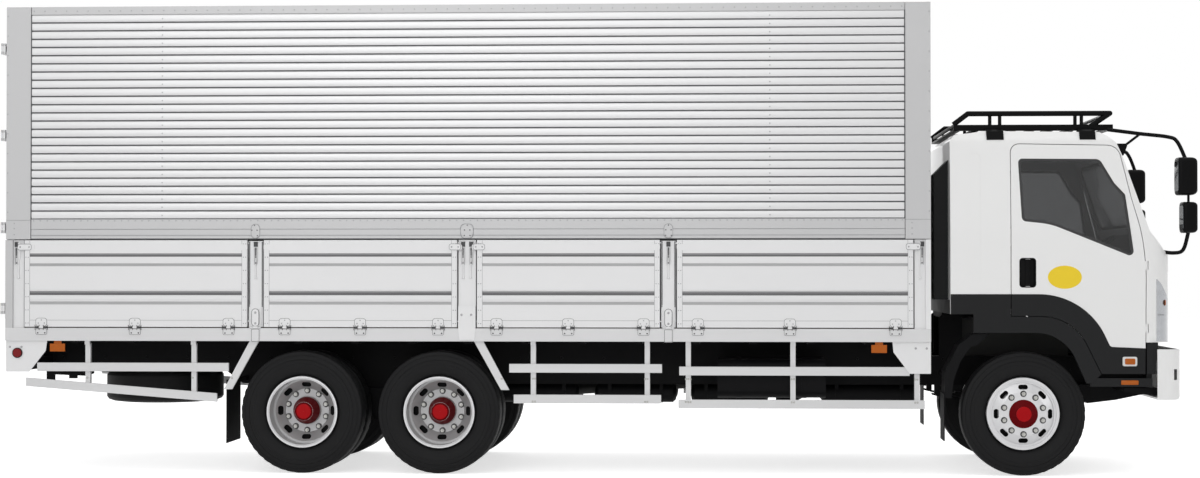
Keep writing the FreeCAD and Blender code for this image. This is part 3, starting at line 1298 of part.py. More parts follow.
def leaf_pack(middle_x, half_length, base, leaf, leaves, y0, y1, rise):
    """Stacked spring leaves, the lowest the longest, bent up towards both ends by rise."""
    outer = (half_length ** 2 + rise ** 2) / (2 * rise)
    centre_z = base + outer
    pack = []
    for count in range(leaves):
        reach = half_length * (1 - count / (leaves + 1))
        faces = []
        for radius in (outer - leaf * count, outer - leaf * (count + 1)):
            end_z = centre_z - math.sqrt(radius ** 2 - reach ** 2)
            middle = Vector(middle_x, y0, centre_z - radius)
            faces.append((Vector(middle_x - reach, y0, end_z), middle, Vector(middle_x + reach, y0, end_z)))
        lower, upper = faces
        wire = Part.Wire([
            Part.Arc(*lower).toShape(), Part.makeLine(lower[2], upper[2]),
            Part.Arc(upper[2], upper[1], upper[0]).toShape(), Part.makeLine(upper[0], lower[0]),
        ])
        pack.append(Part.Face(wire).extrude(Vector(0, y1 - y0, 0)))
    return pack


def front_springs():
    middle_y = (RAIL_INNER + RAIL_OUTER) / 2
    y0 = middle_y - SPRING_WIDTH / 2
    y1 = middle_y + SPRING_WIDTH / 2
    base = TYRE_RADIUS - AXLE_DROP + AXLE_DEPTH
    pack = fused(leaf_pack(
        FRONT_AXLE_X, SPRING_HALF_LENGTH, base + SPRING_PAD, SPRING_LEAF, FRONT_LEAVES, y0, y1, AXLE_DROP))
    half = AXLE_WIDTH / 2
    pad = block(FRONT_AXLE_X - half, FRONT_AXLE_X + half, y0, y1, base, base + SPRING_PAD + SPRING_LEAF)
    hangers = []
    for side in (-1, 1):
        x = FRONT_AXLE_X + side * (SPRING_HALF_LENGTH - half)
        hangers.append(block(x - half / 2, x + half / 2, y0, y1, base + SPRING_PAD + AXLE_DROP, RAIL_BASE))
    return both([fused([pack, pad] + hangers)])


def knuckle():
    """The left knuckle: a fork round the axle eye, its kingpin, a flange plate, the spindle and an arm."""
    z = TYRE_RADIUS
    eye_base = z - AXLE_EYE_HEIGHT / 2
    lug = AXLE_EYE_RADIUS - RUN_GAP
    flange_y = knuckle_flange_y()
    pieces = []
    for low in (eye_base - PIN_GAP - lug, eye_base + AXLE_EYE_HEIGHT + PIN_GAP):
        pieces.append(Part.makeCylinder(lug, lug, Vector(FRONT_AXLE_X, KINGPIN_Y, low)))
        pieces.append(block(FRONT_AXLE_X - lug, FRONT_AXLE_X + lug, KINGPIN_Y, flange_y, low, low + lug))
    height = AXLE_EYE_HEIGHT + (PIN_GAP + lug) * 2
    pieces.append(Part.makeCylinder(KINGPIN_RADIUS, height, Vector(FRONT_AXLE_X, KINGPIN_Y, eye_base - PIN_GAP - lug)))
    centre = Vector(FRONT_AXLE_X, flange_y, z)
    backing = Part.makeCylinder(DRUM_RADIUS - DRUM_WALL - RUN_GAP, RIM_WALL, centre, Vector(0, 1, 0))
    pieces.append(backing)
    tip = FRONT_HUB_OUTER - OVERRUN
    pieces.append(rod(centre, Vector(FRONT_AXLE_X, tip, z), SPINDLE_RADIUS))
    arm_z = eye_base - PIN_GAP - lug
    arm = floor_plate(
        [
            (FRONT_AXLE_X, KINGPIN_Y + lug), (FRONT_AXLE_X - lug, KINGPIN_Y),
            (FRONT_AXLE_X - STEERING_ARM, KINGPIN_Y - lug - lug), (FRONT_AXLE_X - STEERING_ARM, KINGPIN_Y - lug),
        ], arm_z, arm_z + lug / 2)
    pieces.append(arm)
    return fused(pieces)


# Rear bogie: two driven axles under a leaf pack that rocks on a trunnion between them.

def rear_axle(x):
    z = TYRE_RADIUS
    tube = rod(Vector(x, -AXLE_TUBE_HALF, z), Vector(x, AXLE_TUBE_HALF, z), AXLE_TUBE_RADIUS)
    spindle = rod(Vector(x, -TWIN_MIDDLE_Y + RIM_WALL, z), Vector(x, TWIN_MIDDLE_Y - RIM_WALL, z), REAR_SPINDLE_RADIUS)
    banjo = Part.makeCylinder(BANJO_RADIUS, BANJO_WIDTH, Vector(x - BANJO_WIDTH / 2, 0, z), Vector(1, 0, 0))
    banjo = banjo.common(Part.makeSphere(BANJO_RADIUS + RIM_WALL, Vector(x, 0, z)))
    return fused([tube, spindle, banjo])


def bogie():
    middle_x = BOGIE_X
    y0 = BOGIE_SPRING_Y - BOGIE_SPRING_WIDTH / 2
    y1 = BOGIE_SPRING_Y + BOGIE_SPRING_WIDTH / 2
    half = (DRIVE_AXLE_X - REAR_AXLE_X) / 2
    reach = half + BOGIE_SPRING_WIDTH / 2
    base = TYRE_RADIUS + AXLE_TUBE_RADIUS + SEAM - BOGIE_RISE * (half / reach) ** 2
    pack = fused(leaf_pack(middle_x, reach, base, BOGIE_LEAF, BOGIE_LEAVES, y0, y1, BOGIE_RISE))
    centre_z = base - TRUNNION_RADIUS - BOGIE_LEAF
    trunnion = rod(
        Vector(middle_x, -y1 - RUN_GAP, centre_z), Vector(middle_x, y1 + RUN_GAP, centre_z), TRUNNION_RADIUS)
    saddle = block(
        middle_x - BOGIE_SPRING_WIDTH, middle_x + BOGIE_SPRING_WIDTH, y0, y1, centre_z, base + BOGIE_LEAF)
    hanger = side_plate(
        [
            (middle_x - HANGER_TOP_HALF, RAIL_BASE), (middle_x + HANGER_TOP_HALF, RAIL_BASE),
            (middle_x + HANGER_FOOT_HALF, centre_z - TRUNNION_RADIUS), (middle_x - HANGER_FOOT_HALF, centre_z - TRUNNION_RADIUS),
        ], RAIL_INNER, RAIL_OUTER)
    carrier = fused([trunnion, saddle, other_side(saddle), hanger, other_side(hanger), pack, other_side(pack)])
    return [rear_axle(DRIVE_AXLE_X), rear_axle(REAR_AXLE_X), carrier]


# Engine and the boxes hung on the frame.

def propeller_shafts():
    """The shaft from the gearbox to the first driven axle, and the one between the axles."""
    flat = BANJO_WIDTH / 2
    z = TYRE_RADIUS + PROP_RISE
    front = Vector(ENGINE_REAR - GEARBOX_LENGTH, 0, RAIL_BASE + GEARBOX_HEIGHT / 2)
    long_shaft = rod(front, Vector(DRIVE_AXLE_X + flat + PROP_END_GAP, 0, z), PROP_RADIUS)
    short_shaft = rod(
        Vector(DRIVE_AXLE_X - flat - SEAM, 0, z), Vector(REAR_AXLE_X + flat + SEAM, 0, z), PROP_RADIUS)
    return long_shaft, short_shaft


def engine():
    half = RAIL_INNER - ENGINE_SET_IN
    top = RAIL_BASE + ENGINE_HEIGHT
    motor = block(ENGINE_REAR, ENGINE_REAR + ENGINE_LENGTH, -half, half, RAIL_BASE, top)
    box = block(
        ENGINE_REAR - GEARBOX_LENGTH, ENGINE_REAR, -GEARBOX_HALF, GEARBOX_HALF, RAIL_BASE, RAIL_BASE + GEARBOX_HEIGHT)
    start = ENGINE_REAR + ENGINE_LENGTH * MOUNT_PLACE_SHARE
    mount = block(
        start, start + MOUNT_LENGTH, half, RAIL_OUTER - RAIL_WALL, RAIL_BASE + OVERRUN, FRAME_TOP - OVERRUN)
    long_shaft, short_shaft = propeller_shafts()
    return [fused([motor, box, mount, other_side(mount), long_shaft]), short_shaft]


def long_tank(rear, front, inner, outer, base, top, corner):
    """A fuel or air tank with rounded long edges."""
    corners = [Vector(rear, inner, base), Vector(rear, outer, base), Vector(rear, outer, top), Vector(rear, inner, top)]
    wire = rounded(corners, [corner] * len(corners))
    return Part.Face(wire).extrude(Vector(front - rear, 0, 0))


def fuel_tank():
    """The fuel tank with its two straps, and the brackets that the straps hold it to, on the left."""
    rear = CAB_REAR - TANK_BEHIND_CAB - TANK_LENGTH
    thick = TANK_STRAP_THICK
    pieces = [long_tank(rear, rear + TANK_LENGTH, TANK_INNER, TANK_OUTER, TANK_BASE, TANK_TOP, TANK_ROUND)]
    brackets = []
    for share in TANK_STRAP_SHARES:
        x = rear + TANK_LENGTH * share - TANK_STRAP / 2
        pieces.append(long_tank(
            x, x + TANK_STRAP, TANK_INNER - thick, TANK_OUTER + thick, TANK_BASE - thick, TANK_TOP + thick,
            TANK_ROUND + thick))
        brackets.append(block(
            x, x + BRACKET_WIDTH, RAIL_OUTER, TANK_INNER - thick - SEAM, RAIL_BASE + OVERRUN, TANK_TOP - OVERRUN))
    return [fused(pieces)] + brackets


def side_tanks():
    """The fuel tank on the right; the battery box and two air tanks on the left; brackets to the rails."""
    pieces = [other_side(shape) for shape in fuel_tank()]
    front = CAB_REAR - BATTERY_BEHIND_CAB
    rear = front - BATTERY_LENGTH
    pieces.append(long_tank(rear, front, TANK_INNER, TANK_OUTER - OVERRUN, TANK_BASE, TANK_TOP, BATTERY_ROUND))
    for x in (rear + BATTERY_LENGTH / 4, front - BATTERY_LENGTH / 4):
        pieces.append(block(
            x, x + BRACKET_WIDTH, RAIL_OUTER, TANK_INNER - SEAM, RAIL_BASE + OVERRUN, TANK_TOP - OVERRUN))
    front = CAB_REAR - AIR_TANK_BEHIND_CAB
    rear = front - AIR_TANK_LENGTH
    y = TANK_INNER + AIR_TANK_RADIUS + AIR_TANK_GAP
    for middle in (y, y + AIR_TANK_RADIUS * 2 + AIR_TANK_GAP):
        start = Vector(rear, middle, TANK_TOP - AIR_TANK_RADIUS)
        pieces.append(rod(start, start.add(Vector(AIR_TANK_LENGTH, 0, 0)), AIR_TANK_RADIUS))
    low = TANK_TOP + SEAM
    for x in (rear + AIR_TANK_RADIUS, front - AIR_TANK_RADIUS - BRACKET_WIDTH):
        pieces.append(block(
            x, x + BRACKET_WIDTH, RAIL_OUTER, TANK_INNER + AIR_TANK_RADIUS * 4, low, low + STEP_WALL))
    return pieces


# Under the body: side guards, stays, flaps, spare wheel and the rear bar.

def guard_rail(rear, front, rear_base, front_base):
    """One flat guard rail, level or rising, given its lower edge at each end."""
    outline = [
        (rear, rear_base), (front, front_base), (front, front_base + GUARD_HEIGHT), (rear, rear_base + GUARD_HEIGHT),
    ]
    return side_plate(outline, GUARD_OUTER - GUARD_THICK, GUARD_OUTER)


def guard_group(bay_rear, bay_front, shares, drops):
    """The two rails of one bay, hung on stays from the bearers."""
    upper, lower, stays = [[bay_rear + (bay_front - bay_rear) * share for share in row] for row in shares]
    heights = [BED_BASE - drop for drop in drops]
    pieces = [guard_rail(*upper, *heights[:2]), guard_rail(*lower, *heights[2:])]
    slope = (heights[3] - heights[2]) / (lower[1] - lower[0])
    stay_outer = GUARD_OUTER - GUARD_THICK
    top = FRAME_TOP + SILL_HEIGHT - SEAM
    for x in stays:
        foot = heights[2] + slope * (x - lower[0])
        front = x + GUARD_STAY
        pieces.append(block(x, front, stay_outer - GUARD_STAY, stay_outer, foot, top))
        pieces.append(block(x, front, stay_outer, GUARD_OUTER, top - STEP_WALL, BED_BASE))
    return fused(pieces)


def diagonal_bar(top, foot):
    """A flat bar from the side rail down to the level of the lower guards, beside the bogie."""
    low = BED_BASE - BAR_DROP
    return side_plate(
        [(top, BED_BASE), (top + BAR_WIDTH, BED_BASE), (foot + BAR_FOOT_WIDTH, low), (foot, low)],
        GUARD_OUTER - GUARD_THICK, GUARD_OUTER)


def side_guards():
    rear_top = REAR_AXLE_X - REAR_BAR_BEHIND - BAR_WIDTH
    return both([
        guard_group(BODY_REAR, REAR_BAY_FRONT, REAR_BAY_SHARES, REAR_GUARD_DROPS),
        guard_group(FRONT_BAY_REAR, BODY_FRONT, MIDDLE_BAY_SHARES, MIDDLE_GUARD_DROPS),
        guard_group(FRONT_BAY_REAR, BODY_FRONT, FRONT_BAY_SHARES, FRONT_GUARD_DROPS),
        diagonal_bar(rear_top, rear_top - BAR_LEAN),
        diagonal_bar(FRONT_BAY_REAR, FRONT_BAY_REAR + BAR_LEAN + BAR_WIDTH - BAR_FOOT_WIDTH),
    ])


def mudguards():
    """The rear flaps behind the bogie, and the guard and flap behind each front wheel, with their arms."""
    inner = TWIN_INNER_Y - FLAP_SPREAD_IN
    outer = TWIN_OUTER_Y + FLAP_SPREAD_OUT
    top = REAR_FLAP_BASE + REAR_FLAP_HEIGHT
    face = REAR_FLAP_X + FLAP_THICK
    flap = block(REAR_FLAP_X, face, inner, outer, REAR_FLAP_BASE, top)
    flap_bar = block(face, face + FLAP_ARM, RAIL_OUTER, outer, top - FLAP_STRIP, top)
    rear = FRONT_AXLE_X - FRONT_GUARD_BEHIND
    inner = FRONT_WHEEL_Y - FRONT_GUARD_SPREAD
    outer = FRONT_WHEEL_Y + FRONT_GUARD_SPREAD
    sheet = side_plate(
        scaled(FRONT_GUARD_SHARES, rear, rear + FRONT_GUARD_LENGTH, FRONT_GUARD_BASE, FRONT_GUARD_TOP), inner, outer)
    arm_z = RAIL_BASE + FRONT_GUARD_ROOT
    carrier = block(rear + FLAP_ARM, rear + FLAP_ARM * 2, RAIL_OUTER, outer, arm_z, arm_z + FLAP_ARM)
    front_flap = block(
        rear - FLAP_THICK, rear + SEAM, inner, outer, FRONT_FLAP_BASE, FRONT_GUARD_BASE + FLAP_STRIP)
    return both([fused([flap, flap_bar]), fused([sheet, carrier, front_flap])])


def spare():
    """The spare tyre lying flat under the tail, and the rim that hangs it from the frame."""
    lift = SPARE_BASE + TYRE_WIDTH / 2
    flat = FreeCAD.Rotation(Vector(1, 0, 0), 90)
    tyre = tyre_at(0)
    rim = rim_at(0, -RIM_WIDTH / 4, FRONT_BEND)
    rack_top = RAIL_TAIL_BASE
    for shape in (tyre, rim):
        shape.Placement = FreeCAD.Placement(Vector(SPARE_X, 0, lift), flat)
    bar = SPARE_BASE + TYRE_WIDTH + SEAM
    cross = block(SPARE_X - SPARE_CROSS_HALF, SPARE_X + SPARE_CROSS_HALF, -RAIL_OUTER, RAIL_OUTER, bar, rack_top)
    face = lift - RIM_WIDTH / 4 + FRONT_BEND
    seat = Part.makeCylinder(HUB_RADIUS, DISC_THICK, Vector(SPARE_X, 0, face))
    bolt = Part.makeCylinder(KINGPIN_RADIUS, bar - face, Vector(SPARE_X, 0, face))
    return tyre, fused([rim, seat, bolt, cross])


def underrun():
    """The rear bar, its two hangers on the rail ends, and the towing plate with its pin bore."""
    front = UNDERRUN_REAR + UNDERRUN_DEPTH
    bar = block(UNDERRUN_REAR, front, -UNDERRUN_HALF, UNDERRUN_HALF, UNDERRUN_BASE, UNDERRUN_BASE + UNDERRUN_HEIGHT)
    hanger = block(UNDERRUN_REAR, front, RAIL_OUTER, RAIL_OUTER + RAIL_WALL * 2, UNDERRUN_BASE + UNDERRUN_HEIGHT, FRAME_TOP)
    hanger = hanger.fuse(block(
        UNDERRUN_REAR, front, RAIL_INNER, RAIL_OUTER + RAIL_WALL * 2, UNDERRUN_BASE + UNDERRUN_HEIGHT,
        UNDERRUN_BASE + UNDERRUN_HEIGHT + RAIL_WALL))
    cross = block(
        RAIL_REAR - TOW_PLATE, RAIL_REAR - SEAM, -RAIL_OUTER, RAIL_OUTER, RAIL_TAIL_BASE, FRAME_TOP)
    hanger_face = block(
        RAIL_REAR - TOW_PLATE, UNDERRUN_REAR, RAIL_OUTER, RAIL_OUTER + RAIL_WALL * 2, RAIL_TAIL_BASE, FRAME_TOP)
    middle = (RAIL_TAIL_BASE + FRAME_TOP) / 2
    eye = block(RAIL_REAR - TOW_PLATE * 4, RAIL_REAR - TOW_PLATE, -TOW_PLATE * 2, TOW_PLATE * 2, middle - TOW_PLATE / 2, middle + TOW_PLATE / 2)
    bore = Part.makeCylinder(TOW_BORE, TOW_PLATE * 2, Vector(RAIL_REAR - TOW_PLATE * 5 / 2, 0, middle - TOW_PLATE))
    return [fused([bar, hanger, other_side(hanger), hanger_face, other_side(hanger_face), cross, eye]).cut(bore)]


# Lamps on the body.

def amber_lamps():
    lamps = []
    half = MARKER_LENGTH / 2
    low = BED_BASE - MARKER_DROP - MARKER_HEIGHT
    inner = BODY_HALF - SKIRT_SET_IN + SKIRT_THICK + SEAM
    for x in (BODY_REAR + REAR_MARKER_IN, BODY_FRONT - FRONT_MARKER_IN):
        lamp = block(x - half, x + half, inner, inner + MARKER_THICK, low, low + MARKER_HEIGHT)
        hanger = block(x - half / 2, x + half / 2, inner, inner + SKIRT_THICK, low, BED_BASE)
        lamps.append(fused([lamp, hanger]))
    return both(lamps)


def red_lamps():
    """The round side lamp on each rear skirt, and the lamp box under each end of the tail."""
    face = BODY_HALF - SKIRT_SET_IN + SKIRT_THICK
    centre = Vector(BODY_REAR + TAIL_LAMP_IN, face, BED_BASE - TAIL_LAMP_DROP)
    round_lamp = Part.makeCylinder(TAIL_LAMP_HALF, MARKER_THICK, centre, Vector(0, 1, 0))
    top = BED_BASE - OVERRUN
    outer = BODY_HALF - REAR_LAMP_SET_IN
    box = block(
        BODY_REAR, BODY_REAR + PORTAL_DEPTH - SEAM, outer - REAR_LAMP_WIDTH, outer, top - REAR_LAMP_HEIGHT, top)
    return both([round_lamp, box])


# Cab: three outlines crossed, hollowed, then cut for doors, glass, cladding and headlamps.

def cab_section(inset):
    """The cab's cross section and plan crossed, with no floor, roof or ends, drawn in by inset."""
    low = CAB_BASE - OVERRUN
    rise = CAB_ROOF - CAB_GUTTER
    half = CAB_HALF - inset
    gutter = CAB_GUTTER_HALF - inset
    top = CAB_ROOF + OVERRUN
    corners = [
        Vector(CAB_REAR - OVERRUN, y, z) for y, z in (
            (-half, low), (half, low), (half, CAB_WAIST), (gutter, CAB_GUTTER), (gutter - rise, top),
            (rise - gutter, top), (-gutter, CAB_GUTTER), (-half, CAB_WAIST))
    ]
    radii = [0, 0, CAB_HALF, CAB_ROOF_ROUND, 0, 0, CAB_ROOF_ROUND, CAB_HALF]
    end = Part.Face(rounded(corners, radii)).extrude(Vector(CAB_FRONT - CAB_REAR + OVERRUN * 2, 0, 0))
    front = CAB_FRONT - inset
    corners = [
        Vector(x, y, low) for x, y in (
            (CAB_REAR - OVERRUN, -half), (front, -half), (front, half), (CAB_REAR - OVERRUN, half))
    ]
    round_in = CAB_CORNER_ROUND - inset
    face = Part.Face(rounded(corners, [0, round_in, round_in, 0]))
    return end.common(face.extrude(Vector(0, 0, CAB_ROOF - CAB_BASE + OVERRUN * 3)))


def cab_form(inset):
    """The closed cab form, drawn in from the outer skin by inset."""
    upper = scaled(CAB_PROFILE_SHARES, CAB_REAR, CAB_FRONT, CAB_BASE, CAB_ROOF)
    outline = [(CAB_REAR, CAB_FLOOR_UPPER)] + upper + [(CAB_STEP_X, CAB_BASE), (CAB_STEP_X, CAB_FLOOR_UPPER)]
    wire = Part.makePolygon([Vector(x, -CAB_HALF - OVERRUN, z) for x, z in outline + outline[:1]])
    if inset:
        wire = wire.makeOffset2D(-inset, 2)
    side = Part.Face(wire).extrude(Vector(0, (CAB_HALF + OVERRUN) * 2, 0))
    return side.common(cab_section(inset))


def side_prism(points, radii, spread, outer):
    """An outline drawn from the side, grown by spread, pushed from inside the left wall out to outer."""
    inner = CAB_HALF / 2
    wire = rounded([Vector(x, inner, z) for x, z in points], radii)
    if spread:
        wire = wire.makeOffset2D(spread, 2)
    return Part.Face(wire).extrude(Vector(0, outer - inner, 0))


def door_prism(spread):
    """The door's side outline through the left wall and its cladding."""
    points = scaled(DOOR_OUTLINE_SHARES, DOOR_REAR, DOOR_FRONT, DOOR_BASE, DOOR_TOP)
    return side_prism(points, DOOR_RADII, spread, CAB_HALF + CLAD_PROUD)


def window_prism(spread):
    points = scaled(WINDOW_SHARES, DOOR_REAR, DOOR_FRONT, DOOR_BASE, DOOR_TOP)
    return side_prism(points, WINDOW_RADII, spread, CAB_HALF + OVERRUN)


def windscreen_prism(spread):
    low = CAB_BASE + CAB_HEIGHT * WINDSCREEN_BASE_SHARE - spread
    high = CAB_BASE + CAB_HEIGHT * WINDSCREEN_TOP_SHARE + spread
    base = CAB_HALF - WINDSCREEN_BASE_SET_IN + spread
    top = CAB_HALF - WINDSCREEN_TOP_SET_IN + spread
    corners = [Vector(CAB_STEP_X, y, z) for y, z in ((-base, low), (base, low), (top, high), (-top, high))]
    return Part.Face(rounded(corners, [WINDSCREEN_ROUND] * len(corners))).extrude(Vector(CAB_HALF, 0, 0))


def rear_window_prism(spread):
    low = CAB_BASE + CAB_HEIGHT * REAR_WINDOW_BASE_SHARE - spread
    high = CAB_BASE + CAB_HEIGHT * REAR_WINDOW_TOP_SHARE + spread
    half = REAR_WINDOW_HALF + spread
    return block(CAB_REAR - OVERRUN, CAB_REAR + CAB_WALL + OVERRUN, -half, half, low, high)


def band_prism(spread):
    """All of the left side that lies below the curved top edge of the lower cladding."""
    low = STEP_BASE - OVERRUN
    rear = CAB_REAR - OVERRUN
    front = CAB_FRONT + OVERRUN
    points = [
        (rear, low), (front, low), (front, DOOR_BASE + CLAD_NOSE_HEIGHT),
        (CAB_REAR + CAB_LENGTH * CLAD_FOOT_SHARE, DOOR_BASE + CLAD_FOOT_HEIGHT),
        (CAB_REAR + CAB_LENGTH * CLAD_BEND_SHARE, CLAD_TOP), (rear, CLAD_TOP),
    ]
    return side_prism(points, [0, 0, 0, CLAD_FOOT_ROUND, CLAD_ROUND, 0], spread, CAB_HALF + CLAD_PROUD)


def arch_prism(spread):
    """The cladding behind the door and round the wheel arch, before the door is cut from it."""
    low = CLAD_TOP - CLAD_REAR_HEIGHT
    arch_rear = FRONT_AXLE_X - ARCH_BEHIND
    arch_top = TYRE_RADIUS + ARCH_LIFT
    foot_x = FRONT_AXLE_X + ARCH_FOOT_AHEAD
    foot_z = TYRE_RADIUS + ARCH_FOOT_LIFT
    door_foot = DOOR_REAR + (DOOR_FRONT - DOOR_REAR) * DOOR_OUTLINE_SHARES[-2][0]
    points = [
        (CLAD_REAR, CLAD_TOP), (CLAD_REAR, low), (arch_rear, low), (arch_rear, arch_top),
        (FRONT_AXLE_X + ARCH_CORNER_AHEAD, arch_top), (foot_x, foot_z), (foot_x + ARCH_TOE, foot_z),
        (door_foot, DOOR_BASE), (door_foot, CLAD_TOP),
    ]
    prism = side_prism(points, [0, 0, 0, 0, ARCH_ROUND, 0, 0, 0, 0], spread, CAB_HALF + CLAD_PROUD)
    return prism.cut(door_prism(DOOR_GAP - spread))


def outer_layer(shape, depth):
    """What lies within depth of the cab's side."""
    return shape.cut(block(
        CAB_REAR - OVERRUN, CAB_FRONT + OVERRUN * 2, 0.0, CAB_HALF - depth, STEP_BASE - OVERRUN * 2, CAB_ROOF))


def door_hinge_parts():
    """For each door hinge: the door's knuckle with its strap, and the pocket it needs in the cab."""
    radius = DOOR_HINGE_RADIUS
    straps = []
    pockets = []
    for share in DOOR_HINGE_SHARES:
        low = DOOR_BASE + (DOOR_TOP - DOOR_BASE) * share - DOOR_HINGE_HEIGHT / 2
        high = low + DOOR_HINGE_HEIGHT
        knuckle = Part.makeCylinder(radius, DOOR_HINGE_HEIGHT, Vector(DOOR_AXIS_X, CAB_HALF, low))
        strap = block(DOOR_FRONT - OVERRUN, DOOR_AXIS_X, CAB_HALF - radius * 2, CAB_HALF, low, high)
        straps.append(fused([knuckle, strap]))
        pockets.append(block(
            DOOR_FRONT - OVERRUN, DOOR_AXIS_X + radius + RUN_GAP, CAB_HALF - CAB_WALL / 2 - radius,
            CAB_HALF + OVERRUN, low - PIN_GAP, high + PIN_GAP))
    return straps, pockets


def side_groove(outer):
    """The shallow upright pressing in the cab's side behind the door."""
    rear = CAB_REAR + PRESSING_BEHIND
    low = CAB_BASE + CAB_HEIGHT * PRESSING_BASE_SHARE
    high = CAB_BASE + CAB_HEIGHT * PRESSING_TOP_SHARE
    points = [(rear, low), (rear + PRESSING_WIDTH, low), (rear + PRESSING_WIDTH, high), (rear, high)]
    prism = side_prism(points, [PRESSING_ROUND] * len(points), 0.0, CAB_HALF + OVERRUN)
    return outer.cut(cab_section(PRESSING_DEPTH)).common(prism)


def grille_slots():
    low = CAB_BASE + CAB_HEIGHT * GRILLE_BASE_SHARE
    slots = []
    for count in range(GRILLE_SLOTS):
        z = low + GRILLE_PITCH * count
        slots.append(block(
            CAB_FRONT - GRILLE_DEPTH * 2, CAB_FRONT + OVERRUN, -GRILLE_HALF, GRILLE_HALF, z, z + GRILLE_SLOT))
    return slots


def door_handle():
    """The door's handle recess, and the upright grip that stands in it."""
    rear = DOOR_REAR + HANDLE_AHEAD
    height = DOOR_TOP - DOOR_BASE
    low = DOOR_BASE + height * HANDLE_BASE_SHARE
    high = DOOR_BASE + height * HANDLE_TOP_SHARE
    points = [(rear, low), (rear + HANDLE_WIDTH, low), (rear + HANDLE_WIDTH, high), (rear, high)]
    recess = side_prism(points, [HANDLE_ROUND] * len(points), 0.0, CAB_HALF + OVERRUN)
    recess = outer_layer(recess, HANDLE_DEPTH)
    middle = rear + HANDLE_WIDTH / 2
    grip = block(
        middle - HANDLE_BAR / 2, middle + HANDLE_BAR / 2, CAB_HALF - HANDLE_DEPTH - SEAM, CAB_HALF - PRESSING_DEPTH,
        low, high)
    return recess, grip


def cab_door(outer, straps):
    """The left door: skin from the roof to the step, with its window and handle, and its own lower cladding."""
    prism = door_prism(0.0)
    depth = CAB_WALL - DOOR_GAP
    skin = block(DOOR_REAR, DOOR_FRONT, CAB_HALF - depth, CAB_HALF, DOOR_BASE, CAB_FLOOR_UPPER + CAB_WALL)
    whole = outer.cut(cab_section(depth)).fuse(skin).common(prism).cut(window_prism(0.0))
    recess, grip = door_handle()
    door = whole.cut(band_prism(SEAM)).cut(recess)
    panel = outer_layer(prism.common(band_prism(0.0)), depth)
    return fused([door, grip] + straps), panel


def cab():
    outer = cab_form(0.0)
    body = outer.cut(cab_form(CAB_WALL))
    straps, pockets = door_hinge_parts()
    door_cut = door_prism(DOOR_GAP).cut(cab_section(CAB_WALL))
    side_cuts = [door_cut, headlamp_prism(SEAM), outer_layer(arch_prism(SEAM), CAB_WALL + SEAM), side_groove(outer)]
    for cut in side_cuts + pockets:
        body = body.cut(cut).cut(other_side(cut))
    for cut in [windscreen_prism(0.0), rear_window_prism(0.0)] + grille_slots():
        body = body.cut(cut)
    save("cab_shell", [body.multiFuse(cab_pivot_lugs())])
    door, panel = cab_door(outer, straps)
    save_pair("cab_door", [door])
    save_pair("door_cladding", [panel])
    layer = cab_form(GLASS_SET_BACK).cut(cab_form(GLASS_SET_BACK + GLASS_THICK))
    save_pair("door_glass", [layer.common(window_prism(-SEAM))])
    save("cab_glass", [layer.common(windscreen_prism(-SEAM)), layer.common(rear_window_prism(-SEAM))])
    save("headlamps", both([outer.cut(cab_form(LAMP_DEPTH)).common(headlamp_prism(0.0))]))


def headlamp_prism(spread):
    """The lamp's tapering place at the left front corner."""
    points = scaled(LAMP_OUTLINE_SHARES, LAMP_REAR, CAB_FRONT + OVERRUN, LAMP_BASE, LAMP_BASE + LAMP_HEIGHT)
    wire = Part.makePolygon([Vector(x, LAMP_INNER - spread, z) for x, z in points + points[:1]])
    if spread:
        wire = wire.makeOffset2D(spread, 2)
    return Part.Face(wire).extrude(Vector(0, LAMP_WIDTH + OVERRUN, 0))


def cab_pivot_lugs():
    """The cab's own knuckles between the pivot ears, with webs up to the floor."""
    third = (RAIL_OUTER - RAIL_INNER - PIN_GAP - PIN_GAP) / 3
    y0 = RAIL_INNER + third + PIN_GAP
    knuckle = Part.makeCylinder(PIVOT_RADIUS, third, Vector(CAB_PIVOT_X, y0, CAB_PIVOT_Z), Vector(0, 1, 0))
    web = block(
        CAB_PIVOT_X - PIVOT_RADIUS, CAB_PIVOT_X + PIVOT_RADIUS, y0, y0 + third, CAB_PIVOT_Z, CAB_BASE + CAB_WALL / 2)
    lug = fused([knuckle, web])
    return [lug, other_side(lug)]


def cab_rest():
    """The hoop behind the engine that the cab's rear floor rests on."""
    top = CAB_FLOOR_UPPER - SEAM
    low = top - CAB_REST_DEPTH
    front = CAB_REAR + CAB_REST_DEPTH
    leg = block(CAB_REAR, front, RAIL_INNER, RAIL_OUTER, FRAME_TOP, low)
    beam = block(CAB_REAR, front, -RAIL_OUTER, RAIL_OUTER, low, top)
    return [fused([leg, other_side(leg), beam])]


def cab_step():
    """The box step below the door, with the walls that hang it from the cab's floor."""
    top = CAB_BASE - SEAM
    tread = block(STEP_REAR, STEP_FRONT, STEP_INNER, CAB_HALF, STEP_BASE, STEP_TOP)
    back = block(STEP_REAR + OVERRUN, STEP_FRONT, STEP_INNER, STEP_INNER + STEP_WALL, STEP_TOP, top)
    end = block(DOOR_AXIS_X, STEP_FRONT, STEP_INNER, CAB_HALF - CAB_WALL, STEP_TOP, top)
    return [tread, back, end]


def intake_duct():
    """The air intake standing behind the right of the cab, with a sloping head."""
    low = CAB_BASE + CAB_HEIGHT * DUCT_BASE_SHARE
    high = CAB_BASE + CAB_HEIGHT * DUCT_TOP_SHARE
    front = CAB_REAR - SEAM
    rear = CAB_REAR - DUCT_DEPTH
    outer = -CAB_HALF + DUCT_OUTER_SET_IN
    return side_plate([(rear, low), (front, low), (front, high), (rear, high - DUCT_SLOPE)], outer, outer + DUCT_WIDTH)


